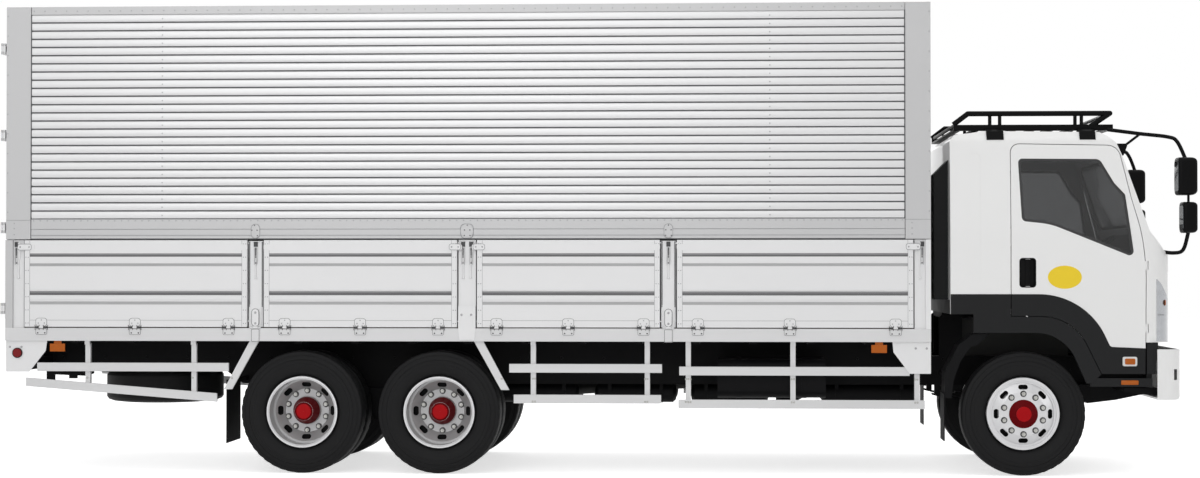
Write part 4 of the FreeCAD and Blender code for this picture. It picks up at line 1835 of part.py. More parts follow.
def step_and_cladding():
    """The fixed lower cladding: behind the door, round the arch, at the front corner, and the step."""
    arch = outer_layer(arch_prism(0.0), CAB_WALL)
    corner_rear = DOOR_FRONT + DOOR_GAP
    corner = side_plate(
        [
            (corner_rear, DOOR_BASE), (CLAD_FRONT - GUARD_THICK, DOOR_BASE), (CLAD_FRONT, CAB_BASE - OVERRUN),
            (CLAD_FRONT, CAB_BASE - SEAM), (corner_rear, CAB_BASE - SEAM),
        ], CAB_HALF - CAB_WALL - SEAM, CAB_HALF + CLAD_PROUD)
    toe = block(
        STEP_REAR, FRONT_AXLE_X + ARCH_FOOT_AHEAD + ARCH_TOE, CAB_HALF - CAB_WALL, CAB_HALF,
        STEP_BASE, TYRE_RADIUS + ARCH_FOOT_LIFT + OVERRUN)
    return both([fused([arch, corner, toe] + cab_step())]) + [intake_duct()]


def bumper():
    """A folded bumper, open behind and above, slotted at each side, with its two arms on the frame."""
    shapes = []
    for inset in (0.0, BUMPER_WALL):
        half = BUMPER_HALF - inset
        front = BUMPER_FRONT - inset
        rear = BUMPER_REAR - (OVERRUN if inset else 0.0)
        low = BUMPER_BASE + inset
        high = BUMPER_TOP + (OVERRUN if inset else 0.0)
        plan = [Vector(x, y, low) for x, y in ((rear, -half), (front, -half), (front, half), (rear, half))]
        corner = BUMPER_ROUND - inset
        shape = Part.Face(rounded(plan, [0, corner, corner, 0])).extrude(Vector(0, 0, high - low))
        side = [Vector(x, -half, z) for x, z in ((rear, low), (front, low), (front, high), (rear, high))]
        profile = Part.Face(rounded(side, [0, BUMPER_EDGE_ROUND - inset, 0, 0]))
        shapes.append(shape.common(profile.extrude(Vector(0, half + half, 0))))
    shell = shapes[0].cut(shapes[1])
    middle_x = BUMPER_FRONT - BUMPER_SLOT_BEHIND
    middle_z = (BUMPER_BASE + BUMPER_TOP) / 2
    slot = block(
        middle_x - BUMPER_SLOT_LENGTH / 2, middle_x + BUMPER_SLOT_LENGTH / 2, BUMPER_HALF - BUMPER_ROUND,
        BUMPER_HALF + OVERRUN, middle_z - BUMPER_SLOT_HEIGHT / 2, middle_z + BUMPER_SLOT_HEIGHT / 2)
    shell = shell.cut(slot).cut(other_side(slot))
    arm = block(RAIL_FRONT + SEAM, BUMPER_FRONT - BUMPER_WALL, RAIL_INNER, RAIL_OUTER, RAIL_BASE, RAIL_BASE + BUMPER_ARM)
    return [fused([shell, arm, other_side(arm)])]


# Roof rack: ladders of tube round a slatted deck, standing on four feet.

def roof_rack():
    y = RACK_HALF - RACK_TUBE
    base = CAB_ROOF + RACK_DECK_LIFT
    deck_top = base + RACK_DECK_HEIGHT
    top = CAB_BASE + CAB_HEIGHT * RACK_TOP_SHARE
    rear, front, tail, nose = [
        CAB_REAR + CAB_LENGTH * share for share in (RACK_REAR_SHARE, RACK_FRONT_SHARE, RACK_TAIL_SHARE, RACK_NOSE_SHARE)]
    tail_z = base + RACK_TAIL_RISE
    middle = (base + deck_top) / 2
    rear_top = Vector(rear, y, top)
    front_top = Vector(front, y, top)
    side = [
        rod(rear_top, front_top, RACK_TUBE), rod(rear_top, Vector(tail, y, tail_z), RACK_TUBE),
        rod(front_top, Vector(nose, y, middle), RACK_TUBE),
        Part.makeSphere(RACK_TUBE, rear_top), Part.makeSphere(RACK_TUBE, front_top),
        block(tail, front + RACK_TUBE, y - RACK_TUBE, y + RACK_TUBE, base, deck_top),
    ]
    for share in RACK_UPRIGHT_SHARES:
        x = rear + (front - rear) * share
        side.append(rod(Vector(x, y, middle), Vector(x, y, top), RACK_UPRIGHT))
    inner = y - RACK_TUBE - SEAM
    pieces = both([fused(side)])
    for x, z in ((front, top), (tail + RACK_TUBE, tail_z - SEAM)):
        pieces.append(rod(Vector(x, -inner, z), Vector(x, inner, z), RACK_UPRIGHT))
    slats = []
    length = front - tail - RACK_SLAT_WIDTH
    for count in range(RACK_SLATS):
        x = tail + length * count / (RACK_SLATS - 1)
        slats.append(block(x, x + RACK_SLAT_WIDTH, -inner, inner, base, base + RACK_SLAT_THICK))
    spine_base = base + RACK_SLAT_THICK
    slats.append(block(tail, front, -RACK_SLAT_WIDTH / 2, RACK_SLAT_WIDTH / 2, spine_base, spine_base + RACK_SLAT_THICK))
    for share in RACK_FOOT_SHARES:
        x = CAB_REAR + CAB_LENGTH * share
        foot = block(x, x + RACK_FOOT_LENGTH, y - RACK_TUBE - RACK_TUBE, y + RACK_TUBE, CAB_GUTTER, base)
        pieces += both([foot.cut(cab_form(-SEAM))])
    return pieces + [fused(slats)]


# Mirrors: bent tube arms from the roof and the cowl, with an upper and a lower head on each side.

def bent_tube(path, y0, y1, radius):
    """Straight runs with round joints through X, Z points, moving from y0 to y1 across."""
    count = len(path) - 1
    points = [Vector(x, y0 + (y1 - y0) * place / count, z) for place, (x, z) in enumerate(path)]
    pieces = [Part.makeSphere(radius, point) for point in points[1:-1]]
    for start, end in zip(points, points[1:]):
        pieces.append(rod(start, end, radius))
    return fused(pieces)


def mirror_head(length, low, height):
    """A rounded mirror head facing back, ending level with the others in front."""
    corners = [
        Vector(MIRROR_FRONT - length, y, z) for y, z in (
            (MIRROR_Y - MIRROR_HALF, low), (MIRROR_Y + MIRROR_HALF, low),
            (MIRROR_Y + MIRROR_HALF, low + height), (MIRROR_Y - MIRROR_HALF, low + height))
    ]
    return Part.Face(rounded(corners, [MIRROR_ROUND] * len(corners))).extrude(Vector(length, 0, 0))


def mirrors():
    root_y = CAB_GUTTER_HALF - MIRROR_ROOT_SET_IN
    paths = []
    for shares in (MIRROR_ARM_SHARES, MIRROR_BRACE_SHARES, MIRROR_LOWER_SHARES):
        paths.append(scaled(shares, CAB_REAR, CAB_FRONT, CAB_BASE, CAB_ROOF))
    arm_step = (MIRROR_Y - root_y) / (len(paths[0]) - 1)
    arms = [
        bent_tube(paths[0], root_y, MIRROR_Y, MIRROR_ARM),
        bent_tube(paths[1], root_y, root_y + arm_step, MIRROR_LINK),
        bent_tube(paths[2], MIRROR_Y, root_y, MIRROR_ARM),
    ]
    arms = [arm.cut(cab_form(-SEAM)) for arm in arms]
    low = CAB_BASE + CAB_HEIGHT * LOWER_MIRROR_SHARE
    high = CAB_BASE + CAB_HEIGHT * MIRROR_BASE_SHARE
    link_x = MIRROR_FRONT - LOWER_MIRROR_LENGTH / 2
    knob = Part.makeSphere(MIRROR_KNOB, Vector(MIRROR_FRONT - MIRROR_KNOB * 2 / 3, MIRROR_Y, low + LOWER_MIRROR_HEIGHT / 2))
    link = rod(Vector(link_x, MIRROR_Y, low + LOWER_MIRROR_HEIGHT), Vector(link_x, MIRROR_Y, high), MIRROR_LINK)
    heads = [mirror_head(MIRROR_LENGTH, high, MIRROR_HEIGHT), mirror_head(LOWER_MIRROR_LENGTH, low, LOWER_MIRROR_HEIGHT)]
    return both([fused(arms + heads + [knob, link])])


# Cab interior, seen through the glass.

def seat(y):
    """One seat with a cushion, a raked back and a narrower pedestal."""
    floor = CAB_FLOOR_UPPER + CAB_WALL
    top = floor + SEAT_HEIGHT
    cushion = block(SEAT_REAR, SEAT_REAR + SEAT_LENGTH, y - SEAT_HALF, y + SEAT_HALF, top - SEAT_CUSHION, top)
    half = SEAT_HALF - OVERRUN
    pedestal = block(
        SEAT_REAR + OVERRUN, SEAT_REAR + SEAT_LENGTH - OVERRUN, y - half, y + half, floor, top - SEAT_CUSHION)
    head = top + SEAT_BACK_HEIGHT
    back = side_plate(
        [
            (SEAT_REAR - SEAT_BACK_LEAN, head), (SEAT_REAR - SEAT_BACK_LEAN + SEAT_BACK_THICK, head),
            (SEAT_REAR + SEAT_BACK_THICK, top), (SEAT_REAR, top),
        ], y - SEAT_HALF, y + SEAT_HALF)
    return fused([cushion, pedestal, back])


def cab_interior():
    floor = CAB_FLOOR_UPPER + CAB_WALL
    half = CAB_HALF - CAB_WALL - RUN_GAP - DASH_END_GAP
    low = CAB_BASE + CAB_WALL + SEAM
    top = CAB_BASE + DASH_HEIGHT
    shelf = top - DASH_SHELF
    foot = DASH_REAR + DASH_DEPTH
    dash = side_plate(
        [
            (DASH_REAR, shelf), (foot, shelf), (foot, low), (foot + DASH_FOOT, low), (foot + DASH_FOOT, top - OVERRUN),
            (DASH_REAR + DASH_LIP, top), (DASH_REAR, top - DASH_LIP),
        ], -half, half)
    pieces = [fused([dash] + steering_wheel(top, shelf)), seat(-SEAT_Y), seat(SEAT_Y)]
    inner = SEAT_Y - SEAT_HALF - TUNNEL_GAP
    pieces.append(block(SEAT_REAR, CAB_STEP_X - CAB_WALL, -inner, inner, floor, floor + TUNNEL_HEIGHT))
    return pieces


def steering_wheel(top, shelf):
    """The right-hand steering wheel on its raked column, which leaves the dash."""
    rake = WHEEL_RIM_RADIUS / 2
    centre = Vector(DASH_REAR - rake, -SEAT_Y, top)
    along = Vector(DASH_REAR + rake, -SEAT_Y, shelf + OVERRUN).sub(centre)
    rim = Part.makeTorus(WHEEL_RIM_RADIUS, WHEEL_RIM_TUBE, centre, along)
    pieces = [rim, rod(centre, centre.add(along * COLUMN_LENGTH_SHARE), WHEEL_RIM_TUBE * 2)]
    for side in (-1, 1):
        pieces.append(rod(centre, centre.add(Vector(0, side * WHEEL_RIM_RADIUS, 0)), WHEEL_RIM_TUBE / 2))
    return pieces


def main():
    save("frame_rails", frame_rails() + both(cab_front_bracket()) + cab_rest())
    save("front_axle", front_axle() + front_springs())
    save_pair("knuckle", [knuckle()])
    save("rear_bogie", bogie())
    save("engine", engine())
    save("side_tanks", side_tanks())
    wheels()
    save("bed_bearers", bed_bearers())
    save("bed", bed())
    save("body_frame", front_wall() + rear_portal() + roof_beam())
    save("fixed_posts", fixed_posts() + corner_skirts())
    gates()
    fold_posts()
    save_pair("wing", wing())
    save_pair("rear_door", rear_door())
    save("side_guards", side_guards())
    save("mudguards", mudguards())
    tyre, rim = spare()
    save("spare_tyre", [tyre])
    save("spare_rim", [rim])
    save("underrun", underrun())
    save("amber_lamps", amber_lamps())
    save("red_lamps", red_lamps())
    cab()
    save("cab_cladding", step_and_cladding())
    save("bumper", bumper())
    save("roof_rack", roof_rack())
    save("mirrors", mirrors())
    save("cab_interior", cab_interior())


main()
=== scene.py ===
import bmesh
import bpy
import math
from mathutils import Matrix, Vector
from mathutils.bvhtree import BVHTree


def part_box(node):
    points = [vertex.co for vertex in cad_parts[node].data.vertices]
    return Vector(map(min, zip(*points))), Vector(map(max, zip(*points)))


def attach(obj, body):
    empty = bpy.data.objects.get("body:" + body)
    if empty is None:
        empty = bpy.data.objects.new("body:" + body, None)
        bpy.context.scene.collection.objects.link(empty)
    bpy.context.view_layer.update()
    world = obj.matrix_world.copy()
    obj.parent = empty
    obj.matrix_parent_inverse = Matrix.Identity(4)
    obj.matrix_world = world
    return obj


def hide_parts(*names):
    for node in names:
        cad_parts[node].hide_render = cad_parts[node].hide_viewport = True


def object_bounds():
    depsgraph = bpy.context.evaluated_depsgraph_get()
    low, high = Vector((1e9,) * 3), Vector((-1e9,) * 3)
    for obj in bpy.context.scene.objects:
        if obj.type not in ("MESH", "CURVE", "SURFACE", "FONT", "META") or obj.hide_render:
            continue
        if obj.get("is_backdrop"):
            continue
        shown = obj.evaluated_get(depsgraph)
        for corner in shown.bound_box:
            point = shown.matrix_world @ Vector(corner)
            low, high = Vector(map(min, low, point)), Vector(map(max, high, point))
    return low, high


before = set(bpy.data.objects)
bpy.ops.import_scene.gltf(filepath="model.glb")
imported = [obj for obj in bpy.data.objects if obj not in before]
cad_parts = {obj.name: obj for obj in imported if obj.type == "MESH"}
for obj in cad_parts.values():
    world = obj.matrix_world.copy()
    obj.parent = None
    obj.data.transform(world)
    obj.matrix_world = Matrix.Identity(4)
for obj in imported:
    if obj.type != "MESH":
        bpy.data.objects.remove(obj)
low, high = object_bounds()
scene = bpy.context.scene

# Camera: a long lens from the truck's right, a touch behind the middle, at the height of the drop gates' top.
# It looks a little forward and is tipped up by less than a degree.
camera = bpy.data.objects.new("camera", bpy.data.cameras.new("camera"))
camera.location = (1.1214, -20.722, 1.711)
camera.rotation_euler = (math.radians(90.76), 0.0, math.radians(3.07))
camera.data.lens = 70.05
camera.data.sensor_width = 36.0
camera.data.clip_end = 400.0
scene.collection.objects.link(camera)
scene.camera = camera
scene.view_settings.view_transform = "Standard"

# Room: a white world to look at, with a softer one lighting the truck, and a pale floor under the tyres.
# Both show brighter to the camera, and in gloss and glass, than the light that they give.
WHITE = (1.0, 1.0, 1.0, 1.0)
WORLD_LIGHT = 0.5
WORLD_SEEN = 1.0
FLOOR_LIFT = 0.66
FLOOR_CORNERS = ((-60, -24, 0), (60, -24, 0), (60, 60, 0), (-60, 60, 0))


def seen_directly(tree):
    """An outlet that is 1 for rays from the camera, gloss or glass, and 0 for light falling on the truck."""
    path = tree.nodes.new("ShaderNodeLightPath")
    seen = tree.nodes.new("ShaderNodeMath")
    seen.operation = "MAXIMUM"
    shine = tree.nodes.new("ShaderNodeMath")
    shine.operation = "MAXIMUM"
    tree.links.new(path.outputs["Is Glossy Ray"], shine.inputs[0])
    tree.links.new(path.outputs["Is Transmission Ray"], shine.inputs[1])
    tree.links.new(path.outputs["Is Camera Ray"], seen.inputs[0])
    tree.links.new(shine.outputs[0], seen.inputs[1])
    return seen.outputs[0]


world = bpy.data.worlds.new("studio")
world.use_nodes = True
tree = world.node_tree
tree.nodes.clear()
mix = tree.nodes.new("ShaderNodeMixShader")
tree.links.new(seen_directly(tree), mix.inputs[0])
for inlet, strength in ((1, WORLD_LIGHT), (2, WORLD_SEEN)):
    glow = tree.nodes.new("ShaderNodeBackground")
    glow.inputs["Color"].default_value = WHITE
    glow.inputs["Strength"].default_value = strength
    tree.links.new(glow.outputs[0], mix.inputs[inlet])
sky = tree.nodes.new("ShaderNodeOutputWorld")
tree.links.new(mix.outputs[0], sky.inputs["Surface"])
scene.world = world

ground = bpy.data.meshes.new("floor")
ground.from_pydata(FLOOR_CORNERS, [], [(0, 1, 2, 3)])
floor = bpy.data.objects.new("floor", ground)
scene.collection.objects.link(floor)
pale = bpy.data.materials.new("pale floor")
pale.use_nodes = True
tree = pale.node_tree
cover = tree.nodes["Principled BSDF"]
cover.inputs["Base Color"].default_value = (0.9, 0.9, 0.9, 1.0)
cover.inputs["Roughness"].default_value = 0.9
cover.inputs["Emission Color"].default_value = WHITE
lift = tree.nodes.new("ShaderNodeMath")
lift.operation = "MULTIPLY"
lift.inputs[1].default_value = FLOOR_LIFT
tree.links.new(seen_directly(tree), lift.inputs[0])
tree.links.new(lift.outputs[0], cover.inputs["Emission Strength"])
ground.materials.append(pale)
floor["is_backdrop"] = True

# Lights: a broad soft sky panel above, a wide one from behind the camera and a weak one from the front.
for name, place, aim, wide, power in (
        ("sky panel", (0.0, -3.0, 14.0), (0.0, 0.0, 1.0), 16.0, 600.0),
        ("near panel", (-4.0, -19.0, 9.0), (0.0, 0.0, 1.4), 12.0, 830.0),
        ("front panel", (15.0, -8.0, 6.0), (3.0, 0.0, 1.5), 6.0, 150.0),
        ("far panel", (-2.0, 19.0, 9.0), (0.0, 0.0, 1.4), 12.0, 380.0)):
    lamp = bpy.data.lights.new(name, "AREA")
    lamp.size = wide
    lamp.energy = power
    panel = bpy.data.objects.new(name, lamp)
    panel.location = place
    panel.rotation_euler = (Vector(aim) - Vector(place)).to_track_quat("-Z", "Y").to_euler()
    panel.visible_camera = False
    scene.collection.objects.link(panel)
    panel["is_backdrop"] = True

# Chassis: the ladder frame, axles, springs, tanks and rear underrun are welded and pressed steel in a satin
# black paint that has gathered a little road dust; the engine and gearbox are bare grey castings.
def finish(name, colour, rough, metal=0.0, mottle=0.06, grain=1.5, sheen=0.05, specular=0.5, coat=0.0):
    """A coated surface whose tone and gloss wander a little, by a soft noise in the piece's own metres.

    The grain is how finely it wanders: one number, or three where it runs along a rolled or drawn piece.
    """
    material = bpy.data.materials.new(name)
    material.use_nodes = True
    tree = material.node_tree
    shader = tree.nodes["Principled BSDF"]
    shader.inputs["Metallic"].default_value = metal
    shader.inputs["Specular IOR Level"].default_value = specular
    shader.inputs["Coat Weight"].default_value = coat
    place = tree.nodes.new("ShaderNodeTexCoord")
    stretch = tree.nodes.new("ShaderNodeMapping")
    stretch.inputs["Scale"].default_value = grain if isinstance(grain, tuple) else (grain, grain, grain)
    noise = tree.nodes.new("ShaderNodeTexNoise")
    noise.inputs["Scale"].default_value = 1.0
    noise.inputs["Detail"].default_value = 5.0
    tone = tree.nodes.new("ShaderNodeMix")
    tone.data_type = "RGBA"
    tone.inputs["A"].default_value = (*[channel * (1.0 - mottle) for channel in colour], 1.0)
    tone.inputs["B"].default_value = (*[min(1.0, channel * (1.0 + mottle)) for channel in colour], 1.0)
    gloss = tree.nodes.new("ShaderNodeMapRange")
    gloss.inputs["To Min"].default_value = rough - sheen
    gloss.inputs["To Max"].default_value = rough + sheen
    tree.links.new(place.outputs["Object"], stretch.inputs["Vector"])
    tree.links.new(stretch.outputs["Vector"], noise.inputs["Vector"])
    tree.links.new(noise.outputs["Fac"], tone.inputs["Factor"])
    tree.links.new(noise.outputs["Fac"], gloss.inputs["Value"])
    tree.links.new(tone.outputs["Result"], shader.inputs["Base Color"])
    tree.links.new(gloss.outputs["Result"], shader.inputs["Roughness"])
    return material


def dress(material, *names):
    """Put one finish on the solids of the named nodes."""
    for name in names:
        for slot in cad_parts[name].material_slots:
            slot.material = material


SIDES = (("left", 1), ("right", -1))
chassis_black = finish("chassis_black", (0.0035, 0.0035, 0.004), 0.5, mottle=0.3, grain=3.0, sheen=0.1,
                       specular=0.08)
cast_grey = finish("cast_grey", (0.03, 0.03, 0.029), 0.6, metal=0.2, mottle=0.25, grain=6.0, specular=0.2)
dress(chassis_black, "frame_rails", "front_axle", "rear_bogie", "bed_bearers", "side_tanks", "underrun",
      "knuckle_left", "knuckle_right")
dress(cast_grey, "engine")

# Bolts: zinc-plated hexagon heads in pairs along the frame's webs, where the cross members are bolted in.
# Every row of heads, nuts and rivets on the truck is laid out and pressed onto its panel in the same way.
HEAD_TREES = {}


def head_tree(sides):
    """A node tree that sets a tapered head with this many sides on every point, along its 'facing'."""
    tree = bpy.data.node_groups.new("heads_%d" % sides, "GeometryNodeTree")
    for label, kind in (("Geometry", "NodeSocketGeometry"), ("Foot", "NodeSocketFloat"),
                        ("Crown", "NodeSocketFloat"), ("Height", "NodeSocketFloat"),
                        ("Finish", "NodeSocketMaterial")):
        tree.interface.new_socket(label, in_out="INPUT", socket_type=kind)
    tree.interface.new_socket("Geometry", in_out="OUTPUT", socket_type="NodeSocketGeometry")
    start = tree.nodes.new("NodeGroupInput")
    end = tree.nodes.new("NodeGroupOutput")
    points = tree.nodes.new("GeometryNodeMeshToPoints")
    facing = tree.nodes.new("GeometryNodeInputNamedAttribute")
    facing.data_type = "FLOAT_VECTOR"
    facing.inputs["Name"].default_value = "facing"
    turn = tree.nodes.new("FunctionNodeAlignRotationToVector")
    turn.axis = "Z"
    head = tree.nodes.new("GeometryNodeMeshCone")
    head.inputs["Vertices"].default_value = sides
    copies = tree.nodes.new("GeometryNodeInstanceOnPoints")
    solid = tree.nodes.new("GeometryNodeRealizeInstances")
    coat = tree.nodes.new("GeometryNodeSetMaterial")
    for source, outlet, target, inlet in (
            (start, "Geometry", points, "Mesh"), (points, "Points", copies, "Points"),
            (start, "Foot", head, "Radius Bottom"), (start, "Crown", head, "Radius Top"),
            (start, "Height", head, "Depth"), (head, "Mesh", copies, "Instance"),
            (facing, "Attribute", turn, "Vector"), (turn, "Rotation", copies, "Rotation"),
            (copies, "Instances", solid, "Geometry"), (solid, "Geometry", coat, "Geometry"),
            (start, "Finish", coat, "Material"), (coat, "Geometry", end, "Geometry")):
        tree.links.new(source.outputs[outlet], target.inputs[inlet])
    return tree


def heads(name, body, slot, spots, foot, crown, height, sides, material):
    """Heads standing on spots, which are (place, facing) pairs, as one plain mesh that rides on body."""
    if sides not in HEAD_TREES:
        HEAD_TREES[sides] = head_tree(sides)
    mesh = bpy.data.meshes.new(name)
    mesh.from_pydata([place for place, facing in spots], [], [])
    along = mesh.attributes.new("facing", "FLOAT_VECTOR", "POINT")
    for spot, (place, facing) in zip(along.data, spots):
        spot.vector = facing
    seed = bpy.data.objects.new(name + "_points", mesh)
    scene.collection.objects.link(seed)
    rule = seed.modifiers.new("heads", "NODES")
    rule.node_group = HEAD_TREES[sides]
    values = {"Foot": foot, "Crown": crown, "Height": height, "Finish": material}
    for item in rule.node_group.interface.items_tree:
        if item.in_out == "INPUT" and item.name in values:
            rule[item.identifier] = values[item.name]
    made = bpy.data.meshes.new_from_object(seed.evaluated_get(bpy.context.evaluated_depsgraph_get()))
    seed.modifiers.remove(rule)
    bpy.data.objects.remove(seed)
    return piece(name, body, made, material)


def piece(name, body, mesh, material):
    """A finished mesh as a piece at the origin, riding on its body."""
    made = bpy.data.objects.new(name, mesh)
    scene.collection.objects.link(made)
    if not mesh.materials:
        mesh.materials.append(material)
    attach(made, body)
    return made


def pressed(node, places, towards):
    """Where lines from places, running towards a direction, meet a node: (place, facing) pairs."""
    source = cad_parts[node]
    if node not in SURFACES:
        SURFACES[node] = BVHTree.FromPolygons(
            [source.matrix_world @ vertex.co for vertex in source.data.vertices],
            [face.vertices for face in source.data.polygons])
    found = []
    for place in places:
        hit = SURFACES[node].ray_cast(Vector(place), Vector(towards))[0]
        if hit is not None:
            found.append((hit, -Vector(towards)))
    return found


def beside(node, k, places):
    """Where level lines from outside one side of the truck meet a node, at (x, z) places."""
    return pressed(node, [(x, k * 2.0, z) for x, z in places], (0, -k, 0))


def face_out(node, k, x, z):
    """How far out from the middle a node's surface lies at one place on a side."""
    return abs(beside(node, k, [(x, z)])[0][0].y)


def behind(node, places):
    """Where level lines from behind the truck meet a node, at (y, z) places."""
    return pressed(node, [(-6.0, y, z) for y, z in places], (1, 0, 0))


def spaced(first, last, gap):
    """Evenly spaced values from first to last, about gap apart."""
    count = max(1, round(abs(last - first) / gap))
    return [first + (last - first) * step / count for step in range(count + 1)]


SURFACES = {}
zinc = finish("zinc_plate", (0.42, 0.42, 0.40), 0.38, metal=0.8, mottle=0.1, grain=20.0)
rail_low, rail_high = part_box("frame_rails")
FRAME_BOLT_GAP = 0.36
FRAME_BOLT_HEIGHTS = (0.855, 0.945)
FRAME_BOLT = (0.013, 0.012, 0.009, 6)
for side, k in SIDES:
    spots = beside("frame_rails", k, [(x, z) for x in spaced(rail_low.x + 0.2, rail_high.x - 0.3,
                                                             FRAME_BOLT_GAP) for z in FRAME_BOLT_HEIGHTS])
    heads("frame_bolts_" + side, "chassis", "frame_paint", spots, *FRAME_BOLT, chassis_black)

# Tyres: radial road tyres of black rubber, with four zigzag grooves round the tread, notched shoulders and a
# few fine rings moulded into each wall. Each takes the place of the plain ring solid.
rubber = finish("tyre_rubber", (0.0085, 0.0085, 0.009), 0.62, mottle=0.15, grain=9.0, sheen=0.06,
                specular=0.14)
TYRE_STEPS = 132
TYRE_BEAD = 0.3055
TYRE_HALF = 0.14
TREAD_HALF = 0.119
GROOVE_PLACES = (-0.078, -0.027, 0.027, 0.078)
GROOVE_HALF = 0.0055
GROOVE_DEPTH = 0.012
GROOVE_SWAY = 0.006
NOTCH_DEPTH = 0.007
WALL_SHARES = ((0.0, 0.62), (0.06, 0.72), (0.12, 0.86), (0.3, 0.955), (0.46, 0.998), (0.48, 0.998),
               (0.49, 0.98), (0.62, 0.985), (0.63, 0.962), (0.645, 0.962), (0.655, 0.978), (0.8, 0.945),
               (0.815, 0.925), (0.83, 0.925), (0.84, 0.94), (0.9, 0.925), (0.955, 0.895))


def tyre_outline(outer, half, step):
    """The section at one step round, from the inner wall's bead over the tread to the outer wall's bead."""
    wall = [(half * out, TYRE_BEAD + (outer - TYRE_BEAD) * up) for up, out in WALL_SHARES]
    notch = NOTCH_DEPTH if step % 3 == 0 else 0.0
    wall.append((TREAD_HALF + 0.003, outer - 0.012 - notch))
    wall.append((TREAD_HALF - 0.006, outer - 0.003 - notch))
    sway = GROOVE_SWAY * (abs(step % 12 - 6) / 3.0 - 1.0)
    tread = []
    for place in GROOVE_PLACES:
        crown = outer - 0.12 * place * place
        for shift, fall in ((-GROOVE_HALF, 0.0), (-0.5 * GROOVE_HALF, GROOVE_DEPTH),
                            (0.5 * GROOVE_HALF, GROOVE_DEPTH), (GROOVE_HALF, 0.0)):
            tread.append((place + sway + shift, crown - fall))
    return [(-across, radius) for across, radius in wall] + tread + wall[::-1]


def spun_faces(count, steps):
    """Faces of a form spun from an open section of count points, its last step meeting its first."""
    faces = []
    for step in range(steps):
        near, far = step * count, (step + 1) % steps * count
        faces += [(near + at, near + at + 1, far + at + 1, far + at) for at in range(count - 1)]
    return faces


def revolved(rings, centre):
    """A closed skin from one section per step about the axle line, sections running across along Y."""
    count, steps = len(rings[0]), len(rings)
    points = []
    for step, ring in enumerate(rings):
        angle = 2.0 * math.pi * step / steps
        for across, radius in ring:
            points.append((centre.x + radius * math.cos(angle), centre.y + across,
                           centre.z + radius * math.sin(angle)))
    return points, spun_faces(count, steps)


def solid_mesh(name, parts, smooth=True, sharp=40.0):
    """One mesh from several (points, faces) parts, with its faces turned outwards."""
    points, faces = [], []
    for part_points, part_faces in parts:
        shift = len(points)
        points += part_points
        faces += [tuple(corner + shift for corner in face) for face in part_faces]
    mesh = bpy.data.meshes.new(name)
    mesh.from_pydata(points, [], faces)
    shape = bmesh.new()
    shape.from_mesh(mesh)
    bmesh.ops.remove_doubles(shape, verts=shape.verts, dist=1e-6)
    bmesh.ops.recalc_face_normals(shape, faces=shape.faces)
    shape.to_mesh(mesh)
    shape.free()
    if smooth:
        mesh.shade_smooth()
        mesh.set_sharp_from_angle(angle=math.radians(sharp))
    return mesh


def solid(name, body, slot, parts, material, smooth=True, sharp=40.0):
    """A piece made from (points, faces) parts, riding on its body."""
    return piece(name, body, solid_mesh(name, parts, smooth, sharp), material)


def tyre_parts(node, twin=False):
    """Skins for the tyre or the pair of tyres in a node's box."""
    low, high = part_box(node)
    outer = 0.5 * (high.z - low.z)
    middle = 0.5 * (low + high)
    rings = [tyre_outline(outer, TYRE_HALF, step) for step in range(TYRE_STEPS)]
    rings = [ring + [ring[0]] for ring in rings]
    places = (low.y + TYRE_HALF, high.y - TYRE_HALF) if twin else (middle.y,)
    return [revolved(rings, Vector((middle.x, y, middle.z))) for y in places]


for side, k in SIDES:
    for place, body, twin in (("tyre_front_", "front_wheel_", False), ("tyres_drive_", "drive_wheels_", True),
                              ("tyres_rear_", "rear_wheels_", True)):
        tyre = solid(place + "tread_" + side, body + side, "tyre_black", tyre_parts(place + side, twin),
                     rubber)
        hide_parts(place + side)
dress(rubber, "spare_tyre")

# Wheels: pressed steel discs in silver enamel, each held by ten hexagon nuts on washers painted dark as the
# shade round each nut's foot; the rear discs take a darker copy of the enamel as painted shade deep inside
# the duals, with a ring of the plain enamel on each rim's lip, and a black ring behind every disc stands for
# the brake's dust shield and is the painted shade seen through its hand holes. The hubs inside them are
# turned castings painted deep red, with a brighter cap spun over the bearing.
wheel_enamel = finish("wheel_enamel", (0.60, 0.60, 0.61), 0.34, metal=0.55, mottle=0.08, grain=8.0)
hub_red = finish("hub_red", (0.13, 0.001, 0.003), 0.45, mottle=0.15, grain=12.0, specular=0.06)
cap_red = finish("cap_red", (0.40, 0.003, 0.006), 0.4, mottle=0.1, grain=12.0, specular=0.1)
shaded_disc_enamel = finish("shaded_disc_enamel", (0.5, 0.5, 0.505), 0.45, metal=0.4, mottle=0.15, grain=8.0)
washer_painted_shade = finish("washer_painted_shade", (0.05, 0.05, 0.052), 0.5, metal=0.3, mottle=0.2, grain=20.0)
dress(wheel_enamel, "spare_rim")
NUT_CIRCLE = 0.168
NUT_ANGLES = [math.radians(36.0 * (nut + 0.5)) for nut in range(10)]
WASHER = (0.027, 0.026, 0.004, 14)
NUT = (0.0205, 0.017, 0.026, 6)
STUD = (0.009, 0.007, 0.016, 8)
HUB_STEPS = 60
HUB_RADII = (0.06, 0.119, 0.004)
LIP_RADII = (0.289, 0.2995, 0.002)
CAP_RADII = (0.0005, 0.062, 0.004)
SHADE_OUTER = 0.279
FRONT_SHADE = (0.005, 0.10)
REAR_SHADE = (0.012, 0.20)


def hub_skin(node, centre, k, radii, lift):
    """A spun skin that follows a wheel's own outer face over some radii, standing lift off it."""
    outline = []
    for radius in radii:
        spot = beside(node, k, [(centre.x + radius, centre.z)])
        if spot:
            outline.append((spot[0][0].y + k * lift, radius))
    outline.append((outline[-1][0] - k * (lift + 0.004), outline[-1][1]))
    return revolved([outline] * HUB_STEPS, Vector((centre.x, 0.0, centre.z)))


def spun(section, centre):
    """A closed ring of one section of (sideways station, radius) pairs about a wheel's axle line."""
    return revolved([section + section[:1]] * HUB_STEPS, Vector((centre.x, 0.0, centre.z)))


